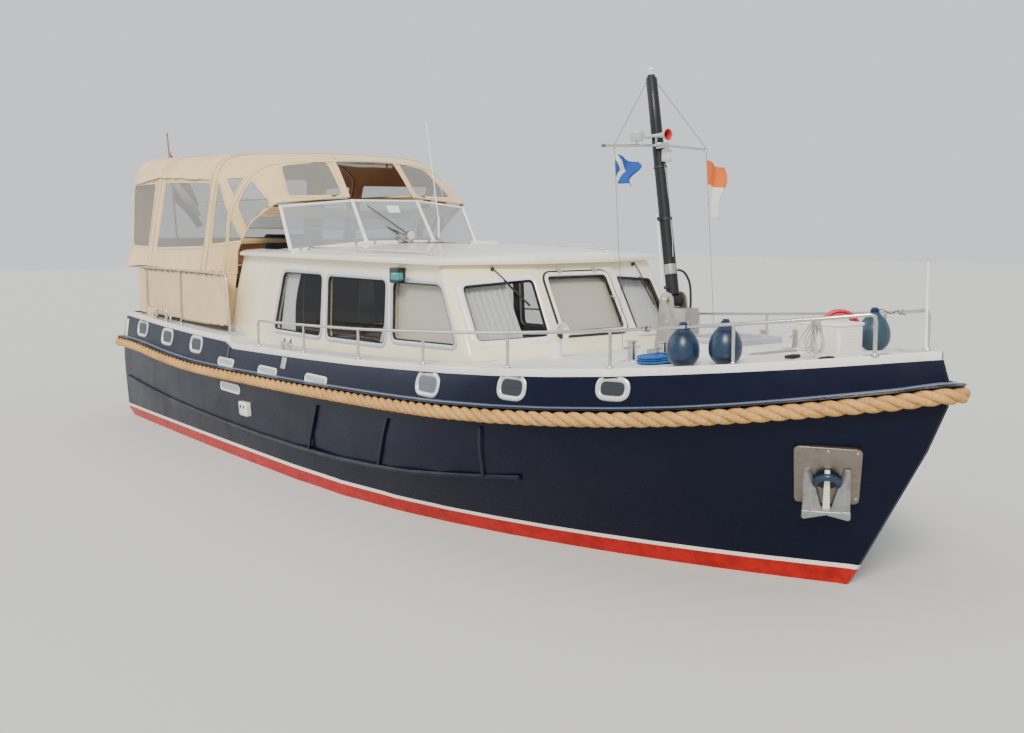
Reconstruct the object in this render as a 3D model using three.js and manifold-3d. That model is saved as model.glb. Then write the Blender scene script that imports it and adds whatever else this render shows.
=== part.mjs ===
// Steel motor cruiser with an aft cockpit under a folding canvas canopy.
// Millimetres. +X to the bow, +Y to port, +Z up, origin on the centreline at the waterline.
import * as THREE from 'three';
import { mergeVertices } from 'three/addons/utils/BufferGeometryUtils.js';
import Module from 'manifold-3d';

const wasm = await Module();
wasm.setup();

// Driving dimensions
const GAP = 0.4; // seat gap between touching pieces
const ROUND = 24; // sides of a pin and its bore, so that they turn freely
const RUN = 0.6; // running gap of a pin in its bore
const DECK = { edge: 60, toeRail: 80, toeRise: 30, camber: 55, bowDrop: 40 };
const BOW_X = 5116; // foremost point of the cap
const TRANSOM_X = -6500;
const CABIN = {
  wall: 55, top: 2292, foot: 1150, sideTop: 1255, sideLean: 0.05,
  cornerX: 880, cornerRake: 0.607, frontX: 1180, frontHalf: 450, frontRake: 0.57,
  aftX: -3360, aftRake: 0.43, bulkheadX: -2640, bulkhead: 50,
};
const ROOF = {
  lip: 33, edge: 12, crown: 108, overhang: 75, aftX: -3380, wellX: -2700, wellHalf: 1130,
  fallFrom: 200, fallRun: 1250, fall: 0.75, corner: 90,
};
const ROPE = { radius: 60, flat: 0.966, stand: 0.7, corner: 8, tip: [5277, 0, 1515] };
const RAIL = { tube: 14, rise: 280, inset: 60, bend: 30, root: 25, bowY: 303 };
const MAST = { pivot: [2550, 0, 2015], pin: 10, radius: 55, taper: 0.88, rake: 9.3, top: 3890 };
const STOCK = 26; // rudder stock radius
const SHAFT = 18; // propeller shaft radius
const SALON = { aft: -2560, fore: 1120, half: 1180, sole: 350 };

// Pairs of x and height. SHEER is the white cap without the step up that it takes aft of CAP_STEP.to.
const SHEER = [
  [-6500, 1390], [-4600, 1330], [-2990, 1312], [-2120, 1330], [-1020, 1360], [100, 1400],
  [1230, 1460], [2360, 1530], [3270, 1600], [3890, 1660], [4450, 1720], [BOW_X, 1800],
];
const CAP_STEP = { from: -2990, to: -2800, rise: 68 };
// Centre of the rope fender.
const ROPE_LINE = [
  [-6600, 1045], [-5780, 1030], [-4690, 975], [-3720, 955], [-2100, 985], [-900, 1015], [130, 1050],
  [1020, 1085], [2250, 1155], [3240, 1230], [3960, 1305], [4740, 1425], [5220, 1510],
];
// Centre of the low rubbing strake.
const STRAKE_LINE = [
  [-6600, 570], [-4880, 450], [-2500, 385], [-1050, 385], [-180, 410], [1180, 500], [2280, 620], [4760, 700],
];
// Pairs of height and x up the stem.
const STEM_PROFILE = [
  [-750, 3200], [-550, 4000], [-150, 4330], [0, 4430], [700, 4824], [1350, 5190], [1600, 5195],
  [1800, BOW_X],
];
// Pairs of x and height where the keel meets the bottom.
const BOTTOM_LINE = [[-6400, -220], [-5000, -420], [-3500, -620], [-1000, -740], [2000, -750], [3200, -750]];
// Stations measured along the cap.
const STATIONS = [
  TRANSOM_X, -5800, -4900, -3900, -2990, -2800, -1900, -1000, 0, 900, SALON.fore, 1600, 2200, 2750, 3250,
  3700, 4050, 4350, 4600, 4800, 4950, 5050, BOW_X,
];

// Interpolation through control points with smooth slopes.
function smooth(table) {
  const n = table.length;
  const slope = table.map((_, i) => {
    const a = table[Math.max(0, i - 1)];
    const b = table[Math.min(n - 1, i + 1)];
    return (b[1] - a[1]) / (b[0] - a[0]);
  });
  return (x) => {
    if (x <= table[0][0]) return table[0][1] + slope[0] * (x - table[0][0]);
    if (x >= table[n - 1][0]) return table[n - 1][1] + slope[n - 1] * (x - table[n - 1][0]);
    let i = 0;
    while (x > table[i + 1][0]) i += 1;
    const h = table[i + 1][0] - table[i][0];
    const s = (x - table[i][0]) / h;
    const s2 = s * s;
    const s3 = s2 * s;
    return (2 * s3 - 3 * s2 + 1) * table[i][1] + (s3 - 2 * s2 + s) * h * slope[i]
      + (3 * s2 - 2 * s3) * table[i + 1][1] + (s3 - s2) * h * slope[i + 1];
  };
}

const sheer = smooth(SHEER);
const ropeZ = smooth(ROPE_LINE);
const strakeZ = smooth(STRAKE_LINE);
const bottomZ = smooth(BOTTOM_LINE);

// Straight-line interpolation of the stem, read by height.
function stemX(z) {
  const t = STEM_PROFILE;
  if (z <= t[0][0]) return t[0][1];
  for (let i = 1; i < t.length; i += 1) {
    if (z <= t[i][0]) {
      const s = (z - t[i - 1][0]) / (t[i][0] - t[i - 1][0]);
      return t[i - 1][1] + s * (t[i][1] - t[i - 1][1]);
    }
  }
  return t[t.length - 1][1];
}

function capZ(x) {
  const s = Math.min(1, Math.max(0, (CAP_STEP.to - x) / (CAP_STEP.to - CAP_STEP.from)));
  return sheer(x) + CAP_STEP.rise * s;
}

// Plan curve of one level: full aft of `fullX`, a power curve to the stem, a slight taper aft.
function planHalf(level, x, stem) {
  const t = Math.max(0, (x - level.fullX) / (stem - level.fullX));
  const aft = Math.max(0, (-1500 - x) / 5000);
  return Math.max(15, level.half * (1 - t ** level.power) - level.aftTaper * aft * aft);
}

// Hull levels from the cap down to the keel root. `z` gives the height of the level at x.
const ROPE_BAND = 78; // half height of the upright band behind the rope
const level = (name, half, fullX, power, aftTaper, aftX, z) => (
  { name, half, fullX, power, aftTaper, aftX, z }
);
const LEVELS = [
  level('cap', 1690, 1270, 2.47, 70, 0, (x) => capZ(x) - DECK.edge),
  level('aboveRope', 1742, 1200, 2.45, 80, -40, (x) => ropeZ(x) + ROPE_BAND),
  level('belowRope', 1742, 1150, 2.42, 80, -60, (x) => ropeZ(x) - ROPE_BAND),
  level('topside', 1736, 800, 2.3, 80, -85, (x) => (ropeZ(x) + strakeZ(x)) / 2),
  level('strake', 1712, 200, 2.2, 70, -100, strakeZ),
  level('waterline', 1680, -1200, 2.0, 60, -70, () => 110),
  level('upperChine', 1600, -1400, 1.9, 120, 0, () => -150),
  level('lowerChine', 1220, -1600, 1.7, 200, 60, (x) => bottomZ(x) * 0.72 - 10),
  level('keelRoot', 120, -800, 3.0, 0, 120, bottomZ),
];

// Where a level meets the stem: its height and the stem profile agree.
function stemOf(level) {
  let x = 5000;
  for (let i = 0; i < 30; i += 1) x = stemX(level.z(x));
  return x;
}

// Points of one level, one for each station, on the starboard side.
function levelLine(level) {
  const stem = stemOf(level);
  const aft = TRANSOM_X + level.aftX;
  const first = STATIONS[0];
  const span = STATIONS[STATIONS.length - 1] - first;
  return STATIONS.map((s) => {
    const x = aft + ((s - first) / span) * (stem - aft);
    return [x, -planHalf(level, x, stem), level.z(x)];
  });
}

const LINES = LEVELS.map(levelLine);
const lineOf = (name) => LINES[LEVELS.findIndex((row) => row.name === name)];
const CAP_LINE = lineOf('cap');

// Half-breadth of the hull skin at any x and height, between the level lines.
function skinHalf(x, z) {
  const at = LINES.map((line) => {
    let i = 0;
    while (i < line.length - 2 && x > line[i + 1][0]) i += 1;
    const [a, b] = [line[i], line[i + 1]];
    const s = (x - a[0]) / (b[0] - a[0]);
    return [a[2] + s * (b[2] - a[2]), -(a[1] + s * (b[1] - a[1]))];
  });
  for (let i = 0; i < at.length - 1; i += 1) {
    if (z >= at[i + 1][0] || i === at.length - 2) {
      const s = (z - at[i + 1][0]) / (at[i][0] - at[i + 1][0]);
      return at[i + 1][1] + s * (at[i][1] - at[i + 1][1]);
    }
  }
  return at[0][1];
}

function capHalf(x) {
  return planHalf(LEVELS[0], x, BOW_X);
}

// Deck surface inside the toe rail, with camber.
function deckZ(x, y) {
  const half = Math.max(60, capHalf(x));
  const c = DECK.camber * Math.min(1, half / 900);
  return capZ(x) - DECK.toeRise + c * (1 - (y / half) ** 2);
}

// Geometry building

function geometryOf(vertices, triangles) {
  const geometry = new THREE.BufferGeometry();
  geometry.setAttribute('position', new THREE.Float32BufferAttribute(vertices.flat(), 3));
  geometry.setIndex(triangles.flat());
  return geometry;
}

function volumeOf(geometry) {
  const p = geometry.attributes.position;
  const index = geometry.index.array;
  const a = new THREE.Vector3();
  const b = new THREE.Vector3();
  const c = new THREE.Vector3();
  let v = 0;
  for (let i = 0; i < index.length; i += 3) {
    a.fromBufferAttribute(p, index[i]);
    b.fromBufferAttribute(p, index[i + 1]);
    c.fromBufferAttribute(p, index[i + 2]);
    v += a.dot(b.cross(c)) / 6;
  }
  return v;
}

// Welds the corners, drops triangles without area and turns every face outward.
function closed(geometry) {
  const bare = geometry.clone();
  for (const name of Object.keys(bare.attributes)) if (name !== 'position') bare.deleteAttribute(name);
  const welded = mergeVertices(bare, 1e-3);
  const index = welded.index.array;
  const kept = [];
  for (let i = 0; i < index.length; i += 3) {
    const [a, b, c] = [index[i], index[i + 1], index[i + 2]];
    if (a !== b && b !== c && a !== c) kept.push([a, b, c]);
  }
  welded.setIndex(kept.flat());
  if (volumeOf(welded) < 0) welded.setIndex(kept.map(([a, b, c]) => [a, c, b]).flat());
  return welded;
}

// Skins a row of rings that all have the same number of points. `ends`: pairs, fan or loop.
function loft(rings, ends = 'fan') {
  const n = rings[0].length;
  const vertices = rings.flat();
  const triangles = [];
  const last = ends === 'loop' ? rings.length : rings.length - 1;
  for (let r = 0; r < last; r += 1) {
    const q = (r + 1) % rings.length;
    for (let i = 0; i < n; i += 1) {
      const j = (i + 1) % n;
      triangles.push([r * n + i, q * n + i, q * n + j], [r * n + i, q * n + j, r * n + j]);
    }
  }
  if (ends === 'pairs') {
    for (const [r, flip] of [[0, false], [rings.length - 1, true]]) {
      for (let i = 0; i < n / 2 - 1; i += 1) {
        const quad = [r * n + i, r * n + i + 1, r * n + n - 2 - i, r * n + n - 1 - i];
        if (flip) quad.reverse();
        triangles.push([quad[0], quad[1], quad[2]], [quad[0], quad[2], quad[3]]);
      }
    }
  }
  if (ends === 'fan') {
    for (const [r, flip] of [[0, false], [rings.length - 1, true]]) {
      const middle = [0, 1, 2].map((k) => rings[r].reduce((sum, p) => sum + p[k], 0) / n);
      vertices.push(middle);
      for (let i = 0; i < n; i += 1) {
        const pair = [r * n + i, r * n + ((i + 1) % n)];
        if (flip) pair.reverse();
        triangles.push([vertices.length - 1, pair[0], pair[1]]);
      }
    }
  }
  return closed(geometryOf(vertices, triangles));
}

// Mirrors a half section (starboard, top to keel) into a full ring.
function mirrored(half) {
  return [...half, ...half.slice().reverse().map(([x, y, z]) => [x, -y, z])];
}

// Round bar or tube along a path, as one solid.
function rod(points, radius, sides = 8, loop = false) {
  const path = points.map((p) => new THREE.Vector3(...p));
  const n = path.length;
  const tangent = path.map((_, i) => {
    const a = path[loop ? (i + n - 1) % n : Math.max(0, i - 1)];
    const b = path[loop ? (i + 1) % n : Math.min(n - 1, i + 1)];
    const before = new THREE.Vector3().subVectors(path[i], a).normalize();
    const after = new THREE.Vector3().subVectors(b, path[i]).normalize();
    return before.add(after).normalize();
  });
  const start = Math.abs(tangent[0].z) < 0.9 ? new THREE.Vector3(0, 0, 1) : new THREE.Vector3(1, 0, 0);
  let across = start.clone().cross(tangent[0]).normalize();
  const rings = path.map((p, i) => {
    across = across.sub(tangent[i].clone().multiplyScalar(across.dot(tangent[i]))).normalize();
    const up = tangent[i].clone().cross(across);
    const r = Array.isArray(radius) ? radius[i] : radius;
    return Array.from({ length: sides }, (_, k) => {
      const a = ((k + 0.5) / sides) * 2 * Math.PI;
      const v = p.clone().addScaledVector(across, r * Math.cos(a)).addScaledVector(up, r * Math.sin(a));
      return [v.x, v.y, v.z];
    });
  });
  return loft(rings, loop ? 'loop' : 'fan');
}

function box(x0, x1, y0, y1, z0, z1) {
  const geometry = new THREE.BoxGeometry(x1 - x0, y1 - y0, z1 - z0);
  geometry.translate((x0 + x1) / 2, (y0 + y1) / 2, (z0 + z1) / 2);
  return closed(geometry);
}

function turned(profile, sides = 16) {
  const geometry = new THREE.LatheGeometry(profile.map(([r, z]) => new THREE.Vector2(r, z)), sides);
  geometry.rotateX(Math.PI / 2);
  return closed(geometry);
}

// Rounds the corners of a polygon given as [u, v] points.
function roundedOutline(points, radius, steps = 4) {
  const out = [];
  points.forEach((p, i) => {
    const a = points[(i + points.length - 1) % points.length];
    const b = points[(i + 1) % points.length];
    const la = Math.hypot(a[0] - p[0], a[1] - p[1]);
    const lb = Math.hypot(b[0] - p[0], b[1] - p[1]);
    const ua = [(a[0] - p[0]) / la, (a[1] - p[1]) / la];
    const ub = [(b[0] - p[0]) / lb, (b[1] - p[1]) / lb];
    const angle = Math.acos(Math.min(1, Math.max(-1, ua[0] * ub[0] + ua[1] * ub[1])));
    const cut = Math.min(radius / Math.tan(angle / 2), 0.45 * Math.min(la, lb));
    const s = [p[0] + ua[0] * cut, p[1] + ua[1] * cut];
    const e = [p[0] + ub[0] * cut, p[1] + ub[1] * cut];
    for (let k = 0; k <= steps; k += 1) {
      const t = k / steps;
      const w = [(1 - t) ** 2, 2 * t * (1 - t), t * t];
      out.push([w[0] * s[0] + w[1] * p[0] + w[2] * e[0], w[0] * s[1] + w[1] * p[1] + w[2] * e[1]]);
    }
  });
  return out;
}

// Moves every side of a polygon inward by the same amount.
function inset(points, amount) {
  const n = points.length;
  let area = 0;
  points.forEach((p, i) => {
    const q = points[(i + 1) % n];
    area += p[0] * q[1] - q[0] * p[1];
  });
  const turn = area > 0 ? 1 : -1;
  const side = points.map((p, i) => {
    const q = points[(i + 1) % n];
    const l = Math.hypot(q[0] - p[0], q[1] - p[1]);
    const normal = [(-(q[1] - p[1]) / l) * turn, ((q[0] - p[0]) / l) * turn];
    const moved = [p[0] + normal[0] * amount, p[1] + normal[1] * amount];
    return { p: moved, d: [(q[0] - p[0]) / l, (q[1] - p[1]) / l] };
  });
  return points.map((_, i) => {
    const a = side[(i + n - 1) % n];
    const b = side[i];
    const cross = a.d[0] * b.d[1] - a.d[1] * b.d[0];
    if (Math.abs(cross) < 1e-9) return b.p;
    const s = ((b.p[0] - a.p[0]) * b.d[1] - (b.p[1] - a.p[1]) * b.d[0]) / cross;
    return [a.p[0] + s * a.d[0], a.p[1] + s * a.d[1]];
  });
}

// Plate between two parallel planes. `at(u, v, w)` places an outline point at depth w.
function plate(outline, w0, w1, at) {
  const shape = outline.map(([u, v]) => new THREE.Vector2(u, v));
  const faces = THREE.ShapeUtils.triangulateShape(shape, []);
  const n = outline.length;
  const vertices = [...outline.map(([u, v]) => at(u, v, w0)), ...outline.map(([u, v]) => at(u, v, w1))];
  const triangles = [];
  for (const [a, b, c] of faces) triangles.push([a, c, b], [a + n, b + n, c + n]);
  const forward = THREE.ShapeUtils.isClockWise(shape) ? -1 : 1;
  for (let i = 0; i < n; i += 1) {
    const j = (i + 1) % n;
    const quad = forward > 0 ? [i, j, j + n, i + n] : [j, i, i + n, j + n];
    triangles.push([quad[0], quad[1], quad[2]], [quad[0], quad[2], quad[3]]);
  }
  return closed(geometryOf(vertices, triangles));
}

const alongY = (u, v, w) => [u, w, v];
const alongX = (u, v, w) => [w, u, v];
const alongZ = (u, v, w) => [u, v, w];

// Gives a sheet of triangles a thickness on its inner side and closes its edges.
function thicken(vertices, triangles, thickness) {
  const sheet = mergeVertices(geometryOf(vertices, triangles), 1e-2);
  const p = sheet.attributes.position;
  const faces = [];
  for (let i = 0; i < sheet.index.count; i += 3) {
    const f = [0, 1, 2].map((k) => sheet.index.getX(i + k));
    if (f[0] !== f[1] && f[1] !== f[2] && f[0] !== f[2]) faces.push(f);
  }
  const points = Array.from({ length: p.count }, (_, i) => new THREE.Vector3().fromBufferAttribute(p, i));
  const normals = points.map(() => new THREE.Vector3());
  const edges = new Map();
  for (const [a, b, c] of faces) {
    const normal = new THREE.Vector3().subVectors(points[b], points[a])
      .cross(new THREE.Vector3().subVectors(points[c], points[a])).normalize();
    for (const i of [a, b, c]) normals[i].add(normal);
    for (const [i, j] of [[a, b], [b, c], [c, a]]) edges.set(`${i},${j}`, [i, j]);
  }
  const n = points.length;
  const inner = points.map((v, i) => v.clone().addScaledVector(normals[i].normalize(), -thickness));
  const all = [...points, ...inner].map((v) => [v.x, v.y, v.z]);
  const out = [];
  for (const [a, b, c] of faces) out.push([a, b, c], [a + n, c + n, b + n]);
  for (const [i, j] of edges.values()) {
    if (!edges.has(`${j},${i}`)) out.push([j, i, i + n], [j, i + n, j + n]);
  }
  return closed(geometryOf(all, out));
}

// Joins and cuts

function manifoldOf(geometry) {
  return new wasm.Manifold(new wasm.Mesh({
    numProp: 3,
    vertProperties: Float32Array.from(geometry.attributes.position.array),
    triVerts: Uint32Array.from(geometry.index.array),
  }));
}

const SLIVER = 0.3; // points closer than this become one

function geometryFrom(solid) {
  const mesh = solid.getMesh();
  const geometry = new THREE.BufferGeometry();
  geometry.setAttribute('position', new THREE.Float32BufferAttribute(mesh.vertProperties, 3));
  geometry.setIndex(Array.from(mesh.triVerts));
  return closed(geometry);
}

function joined(...pieces) {
  return geometryFrom(pieces.slice(1).reduce((sum, g) => sum.add(manifoldOf(g)), manifoldOf(pieces[0])));
}

function cut(piece, ...tools) {
  return geometryFrom(tools.reduce((sum, g) => sum.subtract(manifoldOf(g)), manifoldOf(piece)));
}

// What two solids share.
function common(a, b) {
  return geometryFrom(manifoldOf(a).intersect(manifoldOf(b)).simplify(SLIVER));
}

const mirrorY = (geometry) => closed(geometry.clone().scale(1, -1, 1));

// Finishes

const FINISH = {
  navy: { color: '#101d3a', roughness: 0.25, metalness: 0.0 },
  strake: { color: '#232b40', roughness: 0.5, metalness: 0.0 },
  white: { color: '#eceae0', roughness: 0.45, metalness: 0.0 },
  cream: { color: '#e9e4cf', roughness: 0.4, metalness: 0.0 },
  ropeBlue: { color: '#1f4fae', roughness: 0.8, metalness: 0.0 },
  ropeWhite: { color: '#dcdad2', roughness: 0.85, metalness: 0.0 },
  hoseRed: { color: '#c8313c', roughness: 0.5, metalness: 0.0 },
  antifouling: { color: '#a32a20', roughness: 0.6, metalness: 0.0 },
  steel: { color: '#b8bcc0', roughness: 0.25, metalness: 1.0 },
  bronze: { color: '#a98446', roughness: 0.35, metalness: 1.0 },
  glass: { color: '#3a474c', roughness: 0.08, metalness: 0.0 },
  clear: { color: '#9fb0b4', roughness: 0.08, metalness: 0.0 },
  canvas: { color: '#d9bf93', roughness: 0.9, metalness: 0.0 },
  rope: { color: '#b8905c', roughness: 0.95, metalness: 0.0 },
  mast: { color: '#2b2e33', roughness: 0.5, metalness: 0.0 },
  fender: { color: '#1d3257', roughness: 0.5, metalness: 0.0 },
  wood: { color: '#6a4226', roughness: 0.5, metalness: 0.0 },
  seat: { color: '#1f2a40', roughness: 0.7, metalness: 0.0 },
  black: { color: '#17181a', roughness: 0.6, metalness: 0.0 },
};

const group = new THREE.Group();

function add(name, geometry, finish) {
  const { color, roughness, metalness } = FINISH[finish];
  const material = new THREE.MeshStandardMaterial({ color: new THREE.Color(color), roughness, metalness });
  const mesh = new THREE.Mesh(geometry, material);
  mesh.name = name;
  group.add(mesh);
}

// Hull

function hullShell() {
  const rings = STATIONS.map((_, i) => mirrored(LINES.map((line) => line[i])));
  return loft(rings, 'pairs');
}

// Outline of the cabin at a height, seen from above, `offset` inside the outer face.
function cabinOutline(z, offset, aftX = null) {
  const down = CABIN.top - z;
  const outer = [
    [CABIN.aftX - CABIN.aftRake * down, -(CABIN.sideTop + CABIN.sideLean * down)],
    [CABIN.cornerX + CABIN.cornerRake * down, -(CABIN.sideTop + CABIN.sideLean * down)],
    [CABIN.frontX + CABIN.frontRake * down, -CABIN.frontHalf],
    [CABIN.frontX + CABIN.frontRake * down, CABIN.frontHalf],
    [CABIN.cornerX + CABIN.cornerRake * down, CABIN.sideTop + CABIN.sideLean * down],
    [CABIN.aftX - CABIN.aftRake * down, CABIN.sideTop + CABIN.sideLean * down],
  ];
  const points = offset ? inset(outer, offset) : outer;
  if (aftX !== null) {
    points[0][0] = aftX;
    points[5][0] = aftX;
  }
  return points;
}

function cabinSolid(offset, z0, z1, aftX = null) {
  const ring = (z) => cabinOutline(z, offset, aftX).map(([x, y]) => [x, y, z]);
  return loft([ring(z0), ring(z1)], 'fan');
}

const RUDDER = { x: -5950, bearing: 60, foot: -930, heel: [-1050, -985] };
const SCREW = { z: -640, x: -5485, radius: 245 };

function keel() {
  const fin = loft([-5200, 2300, 3080].map((x, i) => mirrored([
    [x, -100, bottomZ(x) + 200], [x, -100, bottomZ(x) - 20],
    [x, i === 2 ? -60 : -100, [RUDDER.heel[0], RUDDER.heel[0], -760][i]],
  ])), 'pairs');
  const shoe = box(-6180, -5100, -45, 45, ...RUDDER.heel);
  return [fin, shoe];
}

function addHull() {
  const well = box(SALON.aft, SALON.fore, -SALON.half, SALON.half, SALON.sole, 2500);
  const rudderBore = rod([[RUDDER.x, 0, -800], [RUDDER.x, 0, RUDDER.bearing]], STOCK + RUN, ROUND);
  add('hull', cut(hullShell(), well, rudderBore), 'navy');
  const shaftBore = rod([[-5400, 0, SCREW.z], [-4900, 0, SCREW.z]], SHAFT + RUN, ROUND);
  add('keel', cut(joined(...keel()), closed(hullShell().translate(0, 0, -GAP)), shaftBore), 'antifouling');
}

// Upper half of a deck section at a station, raised by `lift`: toe rail, then the cambered surface.
function deckTop(i, lift) {
  const [x, y, z] = CAP_LINE[i];
  const half = -y;
  const top = z + DECK.edge;
  const inner = half - Math.min(DECK.toeRail, half * 0.45);
  const drop = inner < 200 ? DECK.bowDrop : 0; // the narrow bow is sunk so that it stays under the rail
  const surface = (v) => [x, -v, deckZ(x, v) - drop + lift];
  return [
    [x, -half, top + lift], [x, -inner, top + lift], surface(inner), surface(inner * 0.66),
    surface(inner * 0.33), surface(0.5),
  ];
}

function deckRing(i) {
  const [x, y, z] = CAP_LINE[i];
  return mirrored([[x, y, z + GAP], ...deckTop(i, 0)]);
}

// The foredeck, and the side and after decks in two halves round the well of the salon.
function addDeck() {
  const fore = STATIONS.indexOf(SALON.fore);
  const ring = (i, shift = 0) => deckRing(i).map(([x, y, z]) => [x + shift, y, z]);
  const seam = GAP / 2;
  const bow = STATIONS.slice(fore).map((_, i) => ring(fore + i, i ? 0 : seam));
  add('foredeck', loft(bow, 'pairs'), 'white');
  const hole = box(SALON.aft, SALON.fore, -SALON.half, SALON.half, 1000, 2000);
  const aftRings = STATIONS.slice(0, fore + 1).map((_, i) => ring(i, i < fore ? 0 : -seam));
  const aft = cut(loft(aftRings, 'pairs'), hole);
  const halfOf = (y0, y1) => common(aft, box(-7000, 2000, y0, y1, 500, 2500));
  add('deck_starboard', halfOf(-2000, -seam), 'white');
  add('deck_port', halfOf(seam, 2000), 'white');
}

// Everything under the deck surface, used to seat pieces on the camber.
function underDeck() {
  return loft(STATIONS.map((_, i) => {
    const [x, y] = CAP_LINE[i];
    return mirrored([[x, y, 200], ...deckTop(i, GAP)]);
  }), 'pairs');
}

// Side windows, as [x, z] corners of the outer frame.
const SIDE_WINDOWS = {
  aft: [[-2290, 2140], [-1365, 2140], [-1388, 1470], [-2520, 1470]],
  middle: [[-1256, 2130], [-60, 2130], [-62, 1495], [-1256, 1475]],
  forward: [[52, 2125], [890, 2125], [1177, 1580], [67, 1550]],
};
// Front windows, as [y, z] corners.
const FRONT_WINDOWS = {
  starboard: [[-1150, 2115], [-490, 2165], [-515, 1645], [-1175, 1620]],
  centre: [[-365, 2180], [365, 2180], [375, 1675], [-375, 1675]],
  port: [[1150, 2115], [490, 2165], [515, 1645], [1175, 1620]],
};

function addCabin() {
  const outer = cabinSolid(0, CABIN.foot, CABIN.top);
  const { wall, foot, top, bulkheadX, bulkhead } = CABIN;
  const salon = cabinSolid(wall, foot - 50, top + 50, bulkheadX + bulkhead / 2);
  const cockpitEnd = CABIN.bulkheadX - CABIN.bulkhead / 2;
  const inside = (z) => {
    const y = CABIN.sideTop + CABIN.sideLean * (CABIN.top - z) - CABIN.wall;
    return [[-4400, -y, z], [cockpitEnd, -y, z], [cockpitEnd, y, z], [-4400, y, z]];
  };
  const cockpit = loft([inside(CABIN.foot - 50), inside(CABIN.top + 50)], 'fan');
  const tools = [salon, cockpit, underDeck(), doorway()];
  for (const corners of Object.values(SIDE_WINDOWS)) {
    tools.push(plate(roundedOutline(corners, 85), -1600, 1600, alongY));
  }
  for (const corners of Object.values(FRONT_WINDOWS)) {
    tools.push(plate(roundedOutline(corners, 60), 900, 2100, alongX));
  }
  add('cabin_shell', cut(outer, ...tools), 'cream');

  const layer = cut(
    cabinSolid(20, CABIN.foot, CABIN.top - 10), cabinSolid(27, CABIN.foot - 50, CABIN.top + 10),
  );
  for (const [place, corners] of Object.entries(SIDE_WINDOWS)) {
    const opening = roundedOutline(inset(corners, GAP), 85);
    for (const [side, y0, y1] of [['starboard', -1600, -1000], ['port', 1000, 1600]]) {
      add(`window_${place}_${side}`, common(layer, plate(opening, y0, y1, alongY)), 'glass');
    }
  }
  for (const [place, corners] of Object.entries(FRONT_WINDOWS)) {
    const opening = roundedOutline(inset(corners, GAP), 60);
    add(`window_front_${place}`, common(layer, plate(opening, 900, 2100, alongX)), 'glass');
  }
}

// Roof: a lipped plate with a crown, forked aft round the helm well.
function roofPlate() {
  const over = ROOF.overhang;
  const outline = roundedOutline([
    [ROOF.aftX, -CABIN.sideTop - over], [CABIN.cornerX + 40, -CABIN.sideTop - over],
    [CABIN.frontX + over, -CABIN.frontHalf - 20], [CABIN.frontX + over, CABIN.frontHalf + 20],
    [CABIN.cornerX + 40, CABIN.sideTop + over], [ROOF.aftX, CABIN.sideTop + over],
  ], ROOF.corner, 3);
  const centre = [-800, 0];
  const ring = (scale, z) => outline.map(([x, y]) => {
    const u = centre[0] + (x - centre[0]) * scale;
    const v = centre[1] + (y - centre[1]) * scale;
    return [u, v, z(u, v)];
  });
  const rings = [
    ring(1, () => CABIN.top + GAP), ring(1, () => CABIN.top + ROOF.lip),
    ...[0.985, 0.85, 0.6, 0.3].map((scale) => ring(scale, roofZ)),
  ];
  return loft(rings, 'fan');
}

function addRoof() {
  const well = box(-4000, ROOF.wellX, -ROOF.wellHalf, ROOF.wellHalf, 2000, 2700);
  add('cabin_roof', cut(roofPlate(), well), 'white');
}

// The roof plate raised by the seat gap, used to seat pieces on the crown.
function underRoof() {
  return closed(roofPlate().translate(0, 0, GAP));
}

// Height of the crowned roof. It falls away across and towards the front.
function roofZ(x, y) {
  const across = 1 - (y / (CABIN.sideTop + ROOF.overhang)) ** 2;
  const ahead = Math.max(0, (x - ROOF.fallFrom) / ROOF.fallRun);
  return CABIN.top + ROOF.lip + ROOF.edge + ROOF.crown * across * (1 - ahead ** 2 * ROOF.fall);
}

// Companionway door in the bulkhead, hinged on its port edge, opening aft into the cockpit.
const DOOR = {
  y0: 60, y1: 660, z0: 1450, z1: 2240, thick: 28, clear: 8, knobZ: 1850, hingesZ: [1560, 2080], hinge: 70,
};

function doorway() {
  return box(CABIN.bulkheadX - 100, CABIN.bulkheadX + 100, DOOR.y0, DOOR.y1, DOOR.z0, DOOR.z1);
}

function addDoor() {
  const x0 = CABIN.bulkheadX - CABIN.bulkhead / 2;
  const { y0, y1, z0, z1, thick, clear, knobZ, hingesZ, hinge } = DOOR;
  const leaf = box(x0, x0 + thick, y0 + clear, y1 - clear, z0 + clear, z1 - clear);
  const knob = rod([[x0 + 5, y0 + 70, knobZ], [x0 - 45, y0 + 70, knobZ]], 14, 8);
  const hinges = hingesZ.flatMap((z) => [
    rod([[x0 - 8 - RUN, y1 + 6, z], [x0 - 8 - RUN, y1 + 6, z + hinge]], 8, ROUND),
    box(x0 - 10, x0 + 4, y1 - 44, y1 - 9, z, z + hinge),
    box(x0 - 10, x0 - 1, y1 - 12, y1 + 6, z, z + hinge),
  ]);
  add('companionway_door', joined(leaf, knob, ...hinges), 'wood');
}

// Windscreen: a raked white frame of four posts with three panes.
const SCREEN = {
  foot: [[-2141, 1245], [-1874, 447]], footRise: 12, head: [[-2425, 1222, 2846], [-2219, 431, 2915]],
  sill: 22, top: 16, post: 24, pane: 3, rebate: 9,
};

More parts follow.
